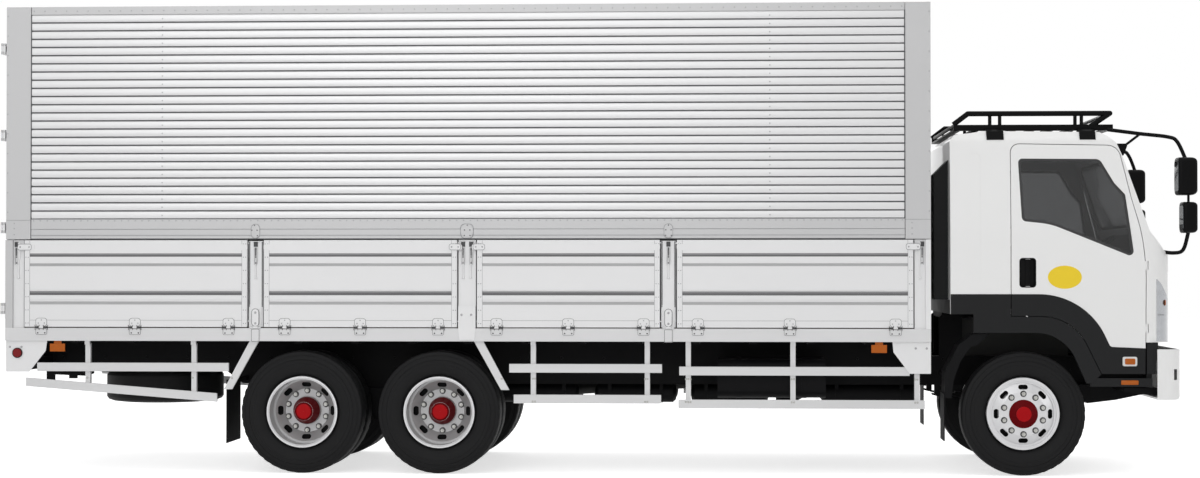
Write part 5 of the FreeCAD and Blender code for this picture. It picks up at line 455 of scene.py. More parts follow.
for side, k in SIDES:
    for group, body in (("wheel_front_", "front_wheel_"), ("wheel_drive_", "drive_wheels_"),
                        ("wheel_rear_", "rear_wheels_")):
        node = group + side
        # Rear discs: a darker copy of the wheel enamel, painted shade deep inside the duals.
        dress(wheel_enamel if group == "wheel_front_" else shaded_disc_enamel, node)
        low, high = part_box(node)
        centre = 0.5 * (low + high)
        spots = beside(node, k, [(centre.x + NUT_CIRCLE * math.cos(angle),
                                  centre.z + NUT_CIRCLE * math.sin(angle)) for angle in NUT_ANGLES])
        # Washers: painted dark as the shade round each nut's foot.
        heads("washers_" + node, body + side, "wheel_silver", spots, *WASHER, washer_painted_shade)
        heads("nuts_" + node, body + side, "wheel_silver", spots, *NUT, zinc)
        heads("studs_" + node, body + side, "wheel_silver",
              [(place + 0.02 * facing, facing) for place, facing in spots], *STUD, zinc)
        # Shade ring: a black ring behind the disc stands for the brake's dust shield and is the painted shade
        # seen through the hand holes.
        lift, inner = FRONT_SHADE if group == "wheel_front_" else REAR_SHADE
        shade_y = centre.y + k * lift
        shade = [(shade_y, inner), (shade_y, SHADE_OUTER), (shade_y - k * 0.004, SHADE_OUTER),
                 (shade_y - k * 0.004, inner)]
        for word, slot, part, material in (
                ("hub_", "wheel_silver", hub_skin(node, centre, k, spaced(*HUB_RADII), 0.0015), hub_red),
                ("lip_", "wheel_silver", hub_skin(node, centre, k, spaced(*LIP_RADII), 0.0012), wheel_enamel),
                ("brake_shade_", "frame_paint", spun(shade, centre), chassis_black),
                ("cap_", "wheel_silver", hub_skin(node, centre, k, spaced(*CAP_RADII), 0.004), cap_red)):
            solid(word + node, body + side, slot, [part], material)


# Load bed: silver-painted side rails and end rails round a deck on steel bearers, with aluminium side guards
# bolted under them. Lamps are moulded lenses, and the mudflaps plain black rubber sheets.
rail_silver = finish("rail_silver", (0.62, 0.62, 0.625), 0.42, metal=0.25, mottle=0.08, grain=(0.8, 6.0, 6.0))
flap_black = finish("flap_black", (0.004, 0.004, 0.0045), 0.7, mottle=0.2, grain=7.0, specular=0.12)
dress(rail_silver, "bed", "side_guards")
dress(flap_black, "mudguards")


def lens(name, colour, rough, glow):
    """Tinted lens plastic, a little bright in itself as a lens is over its reflector."""
    material = finish(name, colour, rough, mottle=0.08, grain=40.0, sheen=0.02, specular=0.2, coat=0.1)
    shader = material.node_tree.nodes["Principled BSDF"]
    shader.inputs["Emission Color"].default_value = (*colour, 1.0)
    shader.inputs["Emission Strength"].default_value = glow
    return material


amber = lens("amber_lens", (0.42, 0.095, 0.003), 0.3, 0.02)
red = lens("red_lens", (0.19, 0.003, 0.005), 0.3, 0.02)
dress(amber, "amber_lamps")
dress(red, "red_lamps")


def slab(low, high):
    """Points and faces of a straight-sided block between two corners."""
    points = [(x, y, z) for x in (low[0], high[0]) for y in (low[1], high[1]) for z in (low[2], high[2])]
    return points, [(0, 1, 3, 2), (4, 6, 7, 5), (0, 4, 5, 1), (2, 3, 7, 6), (0, 2, 6, 4), (1, 5, 7, 3)]


def strips(name, body, slot, blocks, material):
    """Thin flat strips, each from its low corner to its high corner, as one piece."""
    return solid(name, body, slot, [slab(low, high) for low, high in blocks], material, smooth=False)


def side_strip(k, x0, x1, inner, outer, z0, z1):
    """A strip on one side of the truck between two distances out from the middle."""
    return (x0, min(k * inner, k * outer), z0), (x1, max(k * inner, k * outer), z1)


# Guard bolts: dome-headed, zinc-plated bolts where every upright of the side guards crosses a rail, found by
# feeling along both rails for the places where the upright stands proud.
guard_low, guard_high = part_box("side_guards")
GUARD_BOLT_GAP = 0.02
GUARD_BOLT_APART = (0.03, 0.05)
GUARD_END = 0.04
RAIL_OUT = 1.17
UPRIGHT_OUT = 1.1
GUARD_RAILS = (0.61, 0.80)
GUARD_UPRIGHT = 0.71
GUARD_BOLT = (0.009, 0.006, 0.005, 8)
for side, k in SIDES:
    spots = []
    for x in spaced(guard_low.x + GUARD_END, guard_high.x - GUARD_END, GUARD_BOLT_GAP):
        for z in GUARD_RAILS:
            found = beside("side_guards", k, [(x, z)])
            above = beside("side_guards", k, [(x, GUARD_UPRIGHT)])
            if found and above and abs(found[0][0].y) > RAIL_OUT and abs(above[0][0].y) > UPRIGHT_OUT:
                last = spots[-1][0] if spots else found[0][0]
                along, up = GUARD_BOLT_APART
                if not spots or abs(last.x - x) > along or abs(last.z - z) > up:
                    spots += found
    if spots:
        heads("guard_bolts_" + side, "chassis", "rail_silver", spots, *GUARD_BOLT, zinc)

# Lamp seats: each round red marker sits in a thin ring of black rubber, and each amber side lamp between two
# black rubber strips.
RED_CENTRE = (-4.864, 1.010)
RED_SEAT = (0.0365, 0.043)
RED_SEAT_FACE = 1.2395
AMBER_MIDDLES = (-4.518, 2.396)
AMBER_HALF = 0.069
AMBER_SEATS = ((1.019, 1.023), (1.088, 1.092))
SEAT_STEPS = 48
for side, k in SIDES:
    inner, outer = RED_SEAT
    face, back = k * RED_SEAT_FACE, k * (RED_SEAT_FACE - 0.008)
    section = [(back, outer), (face, outer), (face, inner), (back, inner), (back, outer)]
    solid("red_lamp_seat_" + side, "chassis", "flap_rubber",
          [revolved([section] * SEAT_STEPS, Vector((RED_CENTRE[0], 0.0, RED_CENTRE[1])))], flap_black)
    strips("amber_lamp_seats_" + side, "chassis", "flap_rubber",
           [side_strip(k, middle - AMBER_HALF, middle + AMBER_HALF, 1.2285, 1.2315, z0, z1)
            for middle in AMBER_MIDDLES for z0, z1 in AMBER_SEATS], flap_black)


# Wing roofs: anodised aluminium. The side sheet is twenty-five interlocking ribs, each rolled a little round,
# with a dark strip of painted shade in the groove where it hooks into the next, riveted between end posts, a
# top rail and a stepped lower rail.
body_silver = finish("body_silver", (0.49, 0.49, 0.495), 0.42, metal=0.35, mottle=0.05, grain=(0.5, 3.0, 0.9))
rib_silver = finish("rib_silver", (0.63, 0.63, 0.635), 0.36, metal=0.45, mottle=0.05, grain=(0.35, 3.0, 4.0))
painted_shade_dark = finish("painted_shade_dark", (0.085, 0.087, 0.092), 0.6, mottle=0.2, grain=(2.0, 2.0, 9.0))
painted_shade_lines = finish("painted_shade_lines", (0.22, 0.225, 0.235), 0.6, mottle=0.15, grain=(2.0, 2.0, 9.0))
rivet_silver = finish("rivet_silver", (0.36, 0.365, 0.375), 0.4, metal=0.5, mottle=0.1, grain=20.0)
dress(body_silver, "wing_left", "wing_right", "body_frame")
wing_low, wing_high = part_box("wing_right")
WING_BASE = wing_low.z
LOWER_RAIL_TOP = WING_BASE + 0.17
TOP_RAIL_BASE = 3.872
RIBS = 25
END_POST = 0.216
RIB_REAR = wing_low.x + END_POST
RIB_FRONT = wing_high.x - END_POST
BODY_HALF = 1.25
RIB_VALLEY = BODY_HALF - 0.009
RIB_SECTION = ((0.075, -0.0085), (0.085, -0.001), (0.12, 0.0012), (0.25, 0.0028), (0.42, 0.0036),
               (0.6, 0.0034), (0.78, 0.0022), (0.88, 0.001), (0.925, -0.0015), (0.93, -0.0085))
pitch = (TOP_RAIL_BASE - LOWER_RAIL_TOP) / RIBS


def walls(count, loops):
    """Faces between loops of count points each, laid one after another."""
    return [(loop * count + at, loop * count + (at + 1) % count, (loop + 1) * count + (at + 1) % count,
             (loop + 1) * count + at) for loop in range(loops - 1) for at in range(count)]


def closed(points, count):
    """A skin through loops of count points each, with its two ends closed."""
    return points, walls(count, len(points) // count) + [
        tuple(range(count)), tuple(range(len(points) - 1, len(points) - count - 1, -1))]


for side, k in SIDES:
    parts = []
    groove_shades = []
    for rib in range(RIBS):
        base = LOWER_RAIL_TOP + pitch * rib
        parts.append(closed([(x, k * (BODY_HALF + proud), base + pitch * share) for x in (RIB_REAR, RIB_FRONT)
                             for share, proud in RIB_SECTION], len(RIB_SECTION)))
        # A dark strip in each groove between ribs is painted shade.
        groove_shades.append(side_strip(k, RIB_REAR, RIB_FRONT, RIB_VALLEY - 0.002, RIB_VALLEY + 0.003,
                                 base - 0.075 * pitch, base + 0.08 * pitch))
    solid("ribs_" + side, "wing_body_" + side, "body_aluminium", parts, rib_silver, sharp=50.0)
    strips("rib_groove_shades_" + side, "wing_body_" + side, "body_aluminium", groove_shades, painted_shade_dark)

# Wing rails: the lower rail is an extrusion with two fine steps, drawn as thin lines of painted shade, and a
# dark strip of painted shadow runs along its foot; rivets run along both rails, up the two inner frames and
# down the end posts, which stand clear of the ribs by a seam of painted shade.
RAIL_STEPS = (2.055, 2.003)
INNER_FRAMES = (-3.623, 1.493)
RIVET_GAP = 0.058
POST_LINE = 2.13
RAIL_RIVETS = ((LOWER_RAIL_TOP - 0.013, RIVET_GAP), (TOP_RAIL_BASE + 0.03, 1.6 * RIVET_GAP))
STEP_RIVETS = (2.105, 2.06, 2.01)
STEP_RIVET_ENDS = (0.07, 0.155)
POST_RIVET_IN = 0.012
POST_RIVETS = (2.2, 3.86, 0.16)
WING_RIVET = (0.0058, 0.0036, 0.0026, 7)
CATCH_MIDDLES = (-2.835, 0.649, -1.037)
CATCH_PLACES = ((0.0, 2.086), (-0.022, 2.046), (0.022, 2.046), (-0.024, 2.0), (0.024, 2.0))
CATCH_BOLT = (0.0055, 0.004, 0.003, 8)


def drawn(k, x0, x1, face, z0, z1, proud=0.0006):
    """A thin line or edge lying on a side face of the body."""
    return side_strip(k, x0, x1, face - 0.001, face + proud, z0, z1)


for side, k in SIDES:
    body = "wing_body_" + side
    node = "wing_" + side
    # Thin lines of painted shade at the rail's steps, along the ribs' foot and across the end posts.
    lines = [drawn(k, RIB_REAR - 0.21, RIB_FRONT + 0.21, BODY_HALF, z - 0.0016, z + 0.0016)
             for z in RAIL_STEPS]
    lines.append(drawn(k, RIB_REAR, RIB_FRONT, BODY_HALF, LOWER_RAIL_TOP - 0.002, LOWER_RAIL_TOP + 0.002))
    lines += [drawn(k, x0, x1, BODY_HALF, POST_LINE, POST_LINE + 0.003) for x0, x1 in
              ((wing_low.x + 0.004, RIB_REAR - 0.004), (RIB_FRONT + 0.004, wing_high.x - 0.002))]
    strips("wing_lines_" + side, body, "body_aluminium", lines, painted_shade_lines)
    # A dark strip of painted shadow along the wing's foot, and a seam of painted shade at each end of the
    # ribs.
    lip = [side_strip(k, RIB_REAR - 0.2, RIB_FRONT + 0.2, BODY_HALF - 0.012, BODY_HALF + 0.0008,
                      WING_BASE + 0.0005, WING_BASE + 0.007)]
    for x0, x1 in ((RIB_REAR - 0.006, RIB_REAR + 0.003), (RIB_FRONT - 0.003, RIB_FRONT + 0.006)):
        lip.append(side_strip(k, x0, x1, BODY_HALF - 0.008, BODY_HALF + 0.0046, LOWER_RAIL_TOP,
                              TOP_RAIL_BASE))
    strips("wing_seals_" + side, body, "flap_rubber", lip, painted_shade_dark)
    spots = []
    for z, gap in RAIL_RIVETS:
        spots += beside(node, k, [(x, z) for x in spaced(RIB_REAR + 0.02, RIB_FRONT - 0.02, gap)])
    for x in INNER_FRAMES:
        for rib in range(RIBS):
            z = LOWER_RAIL_TOP + pitch * (rib + 0.45)
            spots.append((Vector((x, k * (BODY_HALF + 0.0036), z)), Vector((0, k, 0))))
    rear_in, front_in = STEP_RIVET_ENDS
    spots += beside(node, k, [(x, z) for x in (wing_low.x + rear_in, wing_high.x - front_in)
                              for z in STEP_RIVETS])
    spots += beside(node, k, [(x, z) for x in (wing_low.x + POST_RIVET_IN, wing_high.x - POST_RIVET_IN)
                              for z in spaced(*POST_RIVETS)])
    heads("wing_rivets_" + side, body, "body_aluminium", spots, *WING_RIVET, rivet_silver)
    spots = beside(node, k, [(middle + shift, z) for middle in CATCH_MIDDLES for shift, z in CATCH_PLACES])
    heads("catch_bolts_" + side, body, "body_aluminium", spots, *CATCH_BOLT, painted_shade_dark)


# Drop gates and posts: pale anodised aluminium. Each gate is a box section with two pressed bands, framed at
# both ends by a riveted channel; its grooves and steps carry bands of painted shade, and thin lines of
# painted shade mark the channels' edges, the gate's ends and the deck seal near its lower edge.
gate_silver = finish("gate_silver", (0.75, 0.75, 0.755), 0.5, metal=0.15, mottle=0.04, grain=(0.6, 3.0, 1.5))
painted_groove_shade = finish("painted_groove_shade", (0.13, 0.13, 0.135), 0.65, mottle=0.2, grain=(1.5, 2.0, 12.0))
painted_step_shade = finish("painted_step_shade", (0.42, 0.42, 0.425), 0.6, mottle=0.1, grain=(1.5, 2.0, 12.0))
painted_groove_half_shade = finish("painted_groove_half_shade", (0.27, 0.27, 0.275), 0.65, mottle=0.15, grain=(1.5, 2.0, 12.0))
GATE_SPANS = ((-4.802, -2.896), (-2.758, -1.121), (-0.957, 0.579), (0.717, 2.681))
GATE_BASE = 1.231
GATE_TOP = 1.962
GATE_FRAME = 0.046
GATE_SHADE_BANDS = (("dark", painted_groove_shade, ((0.268, 0.286), (0.588, 0.606))),
              ("mid", painted_groove_half_shade, ((0.286, 0.301), (0.606, 0.621))),
              ("soft", painted_step_shade, ((0.189, 0.213), (0.509, 0.535))))
GATE_SEAM = (1.286, 1.2885)
GATE_RIVETS = (1.262, 1.93, 0.111)
GATE_RIVET = (0.0046, 0.003, 0.0022, 7)
for side, k in SIDES:
    dress(gate_silver, "fold_post_1_" + side, "fold_post_2_" + side, "rear_door_" + side)
    for number, (x0, x1) in enumerate(GATE_SPANS, start=1):
        node = "gate_%d_%s" % (number, side)
        body = "drop_gate_%d_%s" % (number, side)
        dress(gate_silver, node)
        # Bands of painted shade in the grooves and under the steps.
        for word, tone, bands in GATE_SHADE_BANDS:
            blocks = []
            for low, high in bands:
                face = face_out(node, k, 0.5 * (x0 + x1) + 0.03, GATE_BASE + 0.5 * (low + high))
                blocks.append(drawn(k, x0 + GATE_FRAME, x1 - GATE_FRAME, face, GATE_BASE + low,
                                    GATE_BASE + high, 0.0007))
            strips("%s_%s_bands" % (node, word), body, "gate_aluminium", blocks, tone)
        # Thin lines of painted shade at the channels' edges, the deck seal and the gate's ends.
        edge = face_out(node, k, x0 + 0.01, 1.6)
        lines = [drawn(k, x, x + 0.0022, edge, GATE_BASE + 0.004, GATE_TOP - 0.004)
                 for x in (x0 + GATE_FRAME, x1 - GATE_FRAME - 0.0022)]
        lines.append(drawn(k, x0 + GATE_FRAME, x1 - GATE_FRAME, edge, *GATE_SEAM))
        lines += [drawn(k, x, x + 0.003, edge, GATE_BASE + 0.001, GATE_TOP - 0.001) for x in (x0, x1 - 0.003)]
        strips(node + "_lines", body, "gate_aluminium", lines, painted_shade_lines)
        spots = beside(node, k, [(x, z) for x in (x0 + 0.014, x1 - 0.014, x0 + 0.034, x1 - 0.034)
                                 for z in spaced(*GATE_RIVETS)])
        heads(node + "_rivets", body, "gate_aluminium", spots, *GATE_RIVET, rivet_silver)
dress(gate_silver, "fixed_posts")

# Latches: over-centre levers of bright steel on every post, with a dark hook that goes up behind the wing's
# catch plate, its block dark also as painted shade of the gap under the wing, riveted pivots and long release
# rods; bolted feet hold the posts to the side rail.
latch_steel = finish("latch_steel", (0.34, 0.34, 0.345), 0.35, metal=0.7, mottle=0.15, grain=15.0)
dark_hook_and_gap_shade = finish("dark_hook_and_gap_shade", (0.05, 0.05, 0.052), 0.5, metal=0.4, mottle=0.2, grain=15.0)
FOLD_MIDDLES = (-2.827, 0.648)
CENTRE_LATCHES = (-1.073, -1.005)
CORNER_LATCHES = (-4.872, 2.752)
HOOK_HEIGHTS = (1.906, 1.948)
TONGUE_HEIGHTS = (1.83, 1.90)
LEVER_HEIGHTS = (1.756, 1.90)
LATCH_PINS = (1.885, 1.82, 1.77)
LATCH_PIN = (0.006, 0.005, 0.005, 8)
FOOT_BOLT = (0.010, 0.007, 0.006, 8)
FOLD_FOOT_BOLTS = (1.352, 1.262, 1.16)
CENTRE_FOOT_BOLTS = ((-1.085, 1.335), (-1.003, 1.335))
CORNER_FOOT_BOLTS = [(x, z) for x in (-4.93, -4.83, 2.70, 2.79) for z in (1.06, 1.20)]
for side, k in SIDES:
    groups = [("post_%d_%s" % (number, side), "fold_post_%d_%s" % (number, side), (middle,))
              for number, middle in enumerate(FOLD_MIDDLES, start=1)]
    groups.append(("chassis", "fixed_posts", CENTRE_LATCHES + CORNER_LATCHES))
    for body, node, middles in groups:
        hooks, levers, pins = [], [], []
        for middle in middles:
            found = beside(node, k, [(middle, 1.85)])
            if not found:
                continue
            face = abs(found[0][0].y)
            # The hook's dark block is also painted shade of the gap under the wing.
            hooks.append(side_strip(k, middle - 0.017, middle + 0.017, face - 0.002, face + 0.002,
                                    *HOOK_HEIGHTS))
            hooks.append(side_strip(k, middle - 0.004, middle + 0.004, face, face + 0.0035, *TONGUE_HEIGHTS))
            for shift in (-0.013, 0.010):
                levers.append(side_strip(k, middle + shift, middle + shift + 0.003, face - 0.002,
                                         face + 0.0045, *LEVER_HEIGHTS))
            pins += [(Vector((middle, k * (face + 0.001), z)), Vector((0, k, 0))) for z in LATCH_PINS]
        if hooks:
            tag = "%s_%s" % (node, side)
            strips("hooks_" + tag, body, "frame_paint", hooks, dark_hook_and_gap_shade)
            strips("levers_" + tag, body, "wheel_silver", levers, latch_steel)
            heads("pins_" + tag, body, "wheel_silver", pins, *LATCH_PIN, dark_hook_and_gap_shade)
        if node == "fixed_posts":
            spots = beside(node, k, list(CENTRE_FOOT_BOLTS) + CORNER_FOOT_BOLTS)
        else:
            spots = beside(node, k, [(middle, z) for middle in middles for z in FOLD_FOOT_BOLTS])
        heads("foot_bolts_%s_%s" % (node, side), body, "wheel_silver", spots, *FOOT_BOLT, latch_steel)

# Strikers: a rounded plate of the gates' aluminium, held by two steel bolts on the corner of each end gate,
# reaches over the post to its latch.
STRIKERS = ((1, -4.858, -4.738), (4, 2.618, 2.738), (2, -1.190, -1.090), (3, -0.988, -0.888))
STRIKER_HEIGHTS = (1.878, 1.931)
STRIKER_MIDDLE = 1.9045
STRIKER_THICK = 0.004
STRIKER_BOLT = (0.0075, 0.006, 0.004, 7)


def ring(loop_out, loop_in, back, face, place, back_in=None):
    """A flat ring with walls back to its panel; place sets a point from a distance out and a loop's pair."""
    levels = [(back, loop_out), (face, loop_out), (face, loop_in), (back_in or back, loop_in),
              (back, loop_out)]
    return [place(out, *pair) for out, loop in levels for pair in loop], walls(len(loop_out), len(levels))


def side_ring(k, loop_out, loop_in, back, face, back_in=None):
    """A ring on one side of the truck between two loops of (x, z) pairs."""
    return ring(loop_out, loop_in, back, face, lambda out, x, z: (x, k * out, z), back_in)


def rounded(x0, x1, z0, z1, radius, steps=6):
    """Corners of a rounded rectangle as pairs going round."""
    loop = []
    for cx, cz, start in ((x1 - radius, z1 - radius, 0), (x0 + radius, z1 - radius, 90),
                          (x0 + radius, z0 + radius, 180), (x1 - radius, z0 + radius, 270)):
        for step in range(steps + 1):
            angle = math.radians(start + 90.0 * step / steps)
            loop.append((cx + radius * math.cos(angle), cz + radius * math.sin(angle)))
    return loop


def outlined(k, x0, x1, z0, z1, radius, wide, face):
    """A thin dark ring lying on a plate's face round its edge, painted shade where the edge stands off its
    panel.
    """
    return side_ring(k, rounded(x0, x1, z0, z1, radius),
                     rounded(x0 + wide, x1 - wide, z0 + wide, z1 - wide, radius - 0.5 * wide), face - 0.001,
                     face + 0.0007)


for side, k in SIDES:
    for number, x0, x1 in STRIKERS:
        node = "gate_%d_%s" % (number, side)
        body = "drop_gate_%d_%s" % (number, side)
        gate_x0, gate_x1 = GATE_SPANS[number - 1]
        inside = min(max(0.5 * (x0 + x1), gate_x0 + 0.02), gate_x1 - 0.02)
        face = face_out(node, k, inside, 1.905)
        loop = rounded(x0, x1, *STRIKER_HEIGHTS, 0.018)
        front = face + STRIKER_THICK
        striker = closed([(x, k * y, z) for y in (face - 0.001, front) for x, z in loop], len(loop))
        edge = outlined(k, x0, x1, *STRIKER_HEIGHTS, 0.018, 0.003, front)
        spots = [(Vector((x, k * front, STRIKER_MIDDLE)), Vector((0, k, 0)))
                 for x in (x0 + 0.022, x1 - 0.022)]
        solid(node + "_striker", body, "gate_aluminium", [striker], gate_silver, sharp=50.0)
        # A thin ring of painted shade edges the striker.
        solid(node + "_striker_edge", body, "gate_aluminium", [edge], painted_shade_lines, smooth=False)
        heads(node + "_striker_bolts", body, "gate_aluminium", spots, *STRIKER_BOLT, latch_steel)


# Hinges: each gate swings on three forged hinges, a round-topped leaf on the gate and a foot bolted over the
# side rail, with a dark steel pin between. The folding posts stand on a like foot with an arched lever.
# Leaves and feet are edged by thin rings of painted shade, and strips of painted shade run down the folding
# posts' sides.
pin_steel = finish("pin_steel", (0.03, 0.03, 0.032), 0.45, metal=0.3, mottle=0.2, grain=15.0)
HINGE_SHARES = ((0.078, 0.498, 0.917), (0.11, 0.5, 0.902), (0.109, 0.5, 0.91), (0.09, 0.479, 0.924))
HINGE_AXIS = (1.259, 1.2265)
HINGE_HALF = 0.0485
HINGE_LEAF = (1.236, 1.3055)
HINGE_FOOT = (1.1645, 1.216)
LEAF_BOLTS = ((-0.026, 1.262), (0.026, 1.262), (0.0, 1.288))
FOOT_BOLTS = ((-0.03, 1.18), (0.03, 1.18))
POST_FOOT = (1.109, 1.214)
POST_FOOT_HALF = 0.034
POST_LEAF = (1.236, 1.386)
POST_LEAF_HALF = 0.033
POST_EDGES = (-0.058, 0.049)
POST_EDGE_HEIGHTS = (1.40, 1.95)
PIN_ENDS = ((-0.052, -0.018), (0.018, 0.052))
COLLARS = (-0.019, 0.0155)
COLLAR_WIDE = 0.0035
COLLAR_HEIGHTS = (1.205, 1.247)
PIN_RADIUS = 0.0078
LEAF_BOLT = (0.0055, 0.004, 0.003, 7)
HINGE_BOLT = (0.0065, 0.005, 0.004, 7)


def rod(path, radius, sides=8):
    """A round rod along a path, closed at both ends."""
    points = []
    for at, place in enumerate(path):
        ahead = Vector(path[min(at + 1, len(path) - 1)]) - Vector(path[max(at - 1, 0)])
        across = ahead.orthogonal().normalized() if at == 0 else (across - across.project(ahead)).normalized()
        up = ahead.cross(across).normalized()
        for side in range(sides):
            angle = 2.0 * math.pi * side / sides
            points.append(tuple(Vector(place) + radius * (math.cos(angle) * across + math.sin(angle) * up)))
    return closed(points, sides)


for side, k in SIDES:
    feet = []
    foot_bolts = []
    for number, ((x0, x1), shares) in enumerate(zip(GATE_SPANS, HINGE_SHARES), start=1):
        node = "gate_%d_%s" % (number, side)
        edges, pins, bolts = [], [], []
        for share in shares:
            middle = x0 + (x1 - x0) * share
            edges.append(outlined(k, middle - HINGE_HALF, middle + HINGE_HALF, *HINGE_LEAF, 0.024,
                                  0.0025, face_out(node, k, middle, 1.275)))
            bolts += beside(node, k, [(middle + shift, z) for shift, z in LEAF_BOLTS])
            for start, end in PIN_ENDS:
                pins.append(rod([(middle + shift, k * HINGE_AXIS[0], HINGE_AXIS[1])
                                 for shift in (start, end)], PIN_RADIUS))
                for shift in COLLARS:
                    collar = middle + 0.5 * (start + end) + shift
                    pins.append(slab(*side_strip(k, collar, collar + COLLAR_WIDE, HINGE_AXIS[0] - 0.004,
                                                 HINGE_AXIS[0] + 0.001, *COLLAR_HEIGHTS)))
            feet.append(outlined(k, middle - HINGE_HALF, middle + HINGE_HALF, *HINGE_FOOT, 0.012, 0.0025,
                                 face_out("bed", k, middle, 1.19)))
            foot_bolts += beside("bed", k, [(middle + shift, z) for shift, z in FOOT_BOLTS])
        body = "drop_gate_%d_%s" % (number, side)
        solid(node + "_leaf_edges", body, "gate_aluminium", edges, painted_shade_dark, smooth=False)
        solid(node + "_pins", body, "gate_aluminium", pins, pin_steel)
        heads(node + "_leaf_bolts", body, "gate_aluminium", bolts, *LEAF_BOLT, rivet_silver)
    for middle in FOLD_MIDDLES:
        feet.append(outlined(k, middle - POST_FOOT_HALF, middle + POST_FOOT_HALF, *POST_FOOT, 0.008, 0.003,
                             face_out("bed", k, middle, 1.16)))
    solid("hinge_feet_" + side, "chassis", "rail_silver", feet, painted_shade_dark, smooth=False)
    heads("hinge_foot_bolts_" + side, "chassis", "rail_silver", foot_bolts, *HINGE_BOLT, pin_steel)
    for number, middle in enumerate(FOLD_MIDDLES, start=1):
        node = "fold_post_%d_%s" % (number, side)
        face = face_out(node, k, middle, 1.55)
        # A ring of painted shade round the post's leaf and strips of painted shade down its sides.
        edges = [outlined(k, middle - POST_LEAF_HALF, middle + POST_LEAF_HALF, *POST_LEAF, 0.03, 0.0035,
                          face_out(node, k, middle, 1.30))]
        edges += [slab(*drawn(k, middle + shift, middle + shift + 0.009, face, *POST_EDGE_HEIGHTS, 0.0008))
                  for shift in POST_EDGES]
        solid(node + "_edges", "post_%d_%s" % (number, side), "gate_aluminium", edges, painted_shade_dark,
              smooth=False)

# Catch plates: bolted ovals of sheet on the wing's lower rail that the latches hook into, one over each
# folding post and a wide one at the centre; each is edged by a thin ring of painted shade.
CATCHES = ((FOLD_MIDDLES[0], 0.038), (-1.039, 0.055), (FOLD_MIDDLES[1], 0.038))
CATCH_HEIGHTS = (1.976, 2.098)
for side, k in SIDES:
    rims = [outlined(k, middle - half, middle + half, *CATCH_HEIGHTS, 0.036, 0.003,
                     face_out("wing_" + side, k, middle + 0.02, 2.06)) for middle, half in CATCHES]
    solid("catch_rims_" + side, "wing_body_" + side, "body_aluminium", rims, painted_shade_lines, smooth=False)

# Under the frame: black air reservoirs hang in straps below the rails, with the silencer last on the right; a
# splash tray closes the space behind the bumper, and gussets stiffen the frame's tail.
DRUM_SIDE = 0.30
DRUM_HEIGHT = 0.642
RESERVOIRS = ((-0.95, -0.15), (-0.02, 0.70), (0.82, 1.50))
SILENCER = (1.95, 2.78)
RESERVOIR_RADIUS = 0.085
SILENCER_RADIUS = 0.095
STRAP_HANGERS = (0.375, 0.392)
TAIL_GUSSET = ((-4.79, 0.862), (-4.43, 0.862), (-4.43, 0.80), (-4.50, 0.778), (-4.79, 0.79))
TAIL_GUSSET_OUT = (0.40, 0.408)
ENGINE_SHIELD_OUT = (0.4405, 0.4445)
ENGINE_SHIELD = ((2.96, 0.97), (3.16, 0.97), (3.16, 1.30), (3.13, 1.33), (2.99, 1.33), (2.96, 1.30))
TRAY_MIDDLE = ((4.13, 0.735), (4.70, 0.735), (4.70, 0.66), (4.44, 0.605), (4.20, 0.575), (4.13, 0.60))
TRAY_SIDE = ((4.42, 0.735), (4.70, 0.735), (4.70, 0.665), (4.42, 0.70))
TRAY_HALF = 0.62
TRAY_REACH = 1.13


def drum(x0, x1, y, z, radius, dome=0.035, sides=28):
    """A closed drum along the truck with domed ends."""
    levels = ((x0, 0.2), (x0 + 0.25 * dome, 0.72), (x0 + dome, 1.0), (x1 - dome, 1.0),
              (x1 - 0.25 * dome, 0.72), (x1, 0.2))
    points = [(x, y + radius * share * math.cos(2.0 * math.pi * side / sides),
               z + radius * share * math.sin(2.0 * math.pi * side / sides))
              for x, share in levels for side in range(sides)]
    return closed(points, sides)


def plate(outline, y0, y1):
    """A flat plate between two sideways stations, from its outline as (x, z) pairs."""
    return closed([(x, y, z) for y in (y0, y1) for x, z in outline], len(outline))


for side, k in SIDES:
    parts = []
    for number, (x0, x1) in enumerate(RESERVOIRS + (SILENCER,)):
        radius = RESERVOIR_RADIUS if number < len(RESERVOIRS) else SILENCER_RADIUS
        parts.append(drum(x0, x1, k * DRUM_SIDE, DRUM_HEIGHT, radius))
        for x in (x0 + 0.12, x1 - 0.15):
            parts.append(drum(x, x + 0.03, k * DRUM_SIDE, DRUM_HEIGHT, radius + 0.004, 0.002))
            parts.append(slab(*side_strip(k, x, x + 0.03, *STRAP_HANGERS, DRUM_HEIGHT, 0.73)))
    if k < 0:
        parts.append(rod([(1.97, k * DRUM_SIDE, DRUM_HEIGHT), (1.80, k * DRUM_SIDE, DRUM_HEIGHT),
                          (1.70, k * 0.36, 0.60), (1.58, k * 0.44, 0.585)], 0.04, 14))
    solid("reservoirs_" + side, "chassis", "frame_paint", parts, chassis_black)
    gusset = plate(TAIL_GUSSET, *[k * out for out in TAIL_GUSSET_OUT])
    solid("tail_gusset_" + side, "chassis", "frame_paint", [gusset], chassis_black, smooth=False)
for side, k in SIDES:
    shield = plate(ENGINE_SHIELD, *[k * out for out in ENGINE_SHIELD_OUT])
    solid("engine_shield_" + side, "chassis", "frame_paint", [shield], chassis_black, smooth=False)
tray = [plate(TRAY_MIDDLE, -TRAY_HALF, TRAY_HALF)]
tray += [plate(TRAY_SIDE, k * TRAY_HALF, k * TRAY_REACH) for side, k in SIDES]
solid("splash_tray", "chassis", "frame_paint", tray, chassis_black, smooth=False)


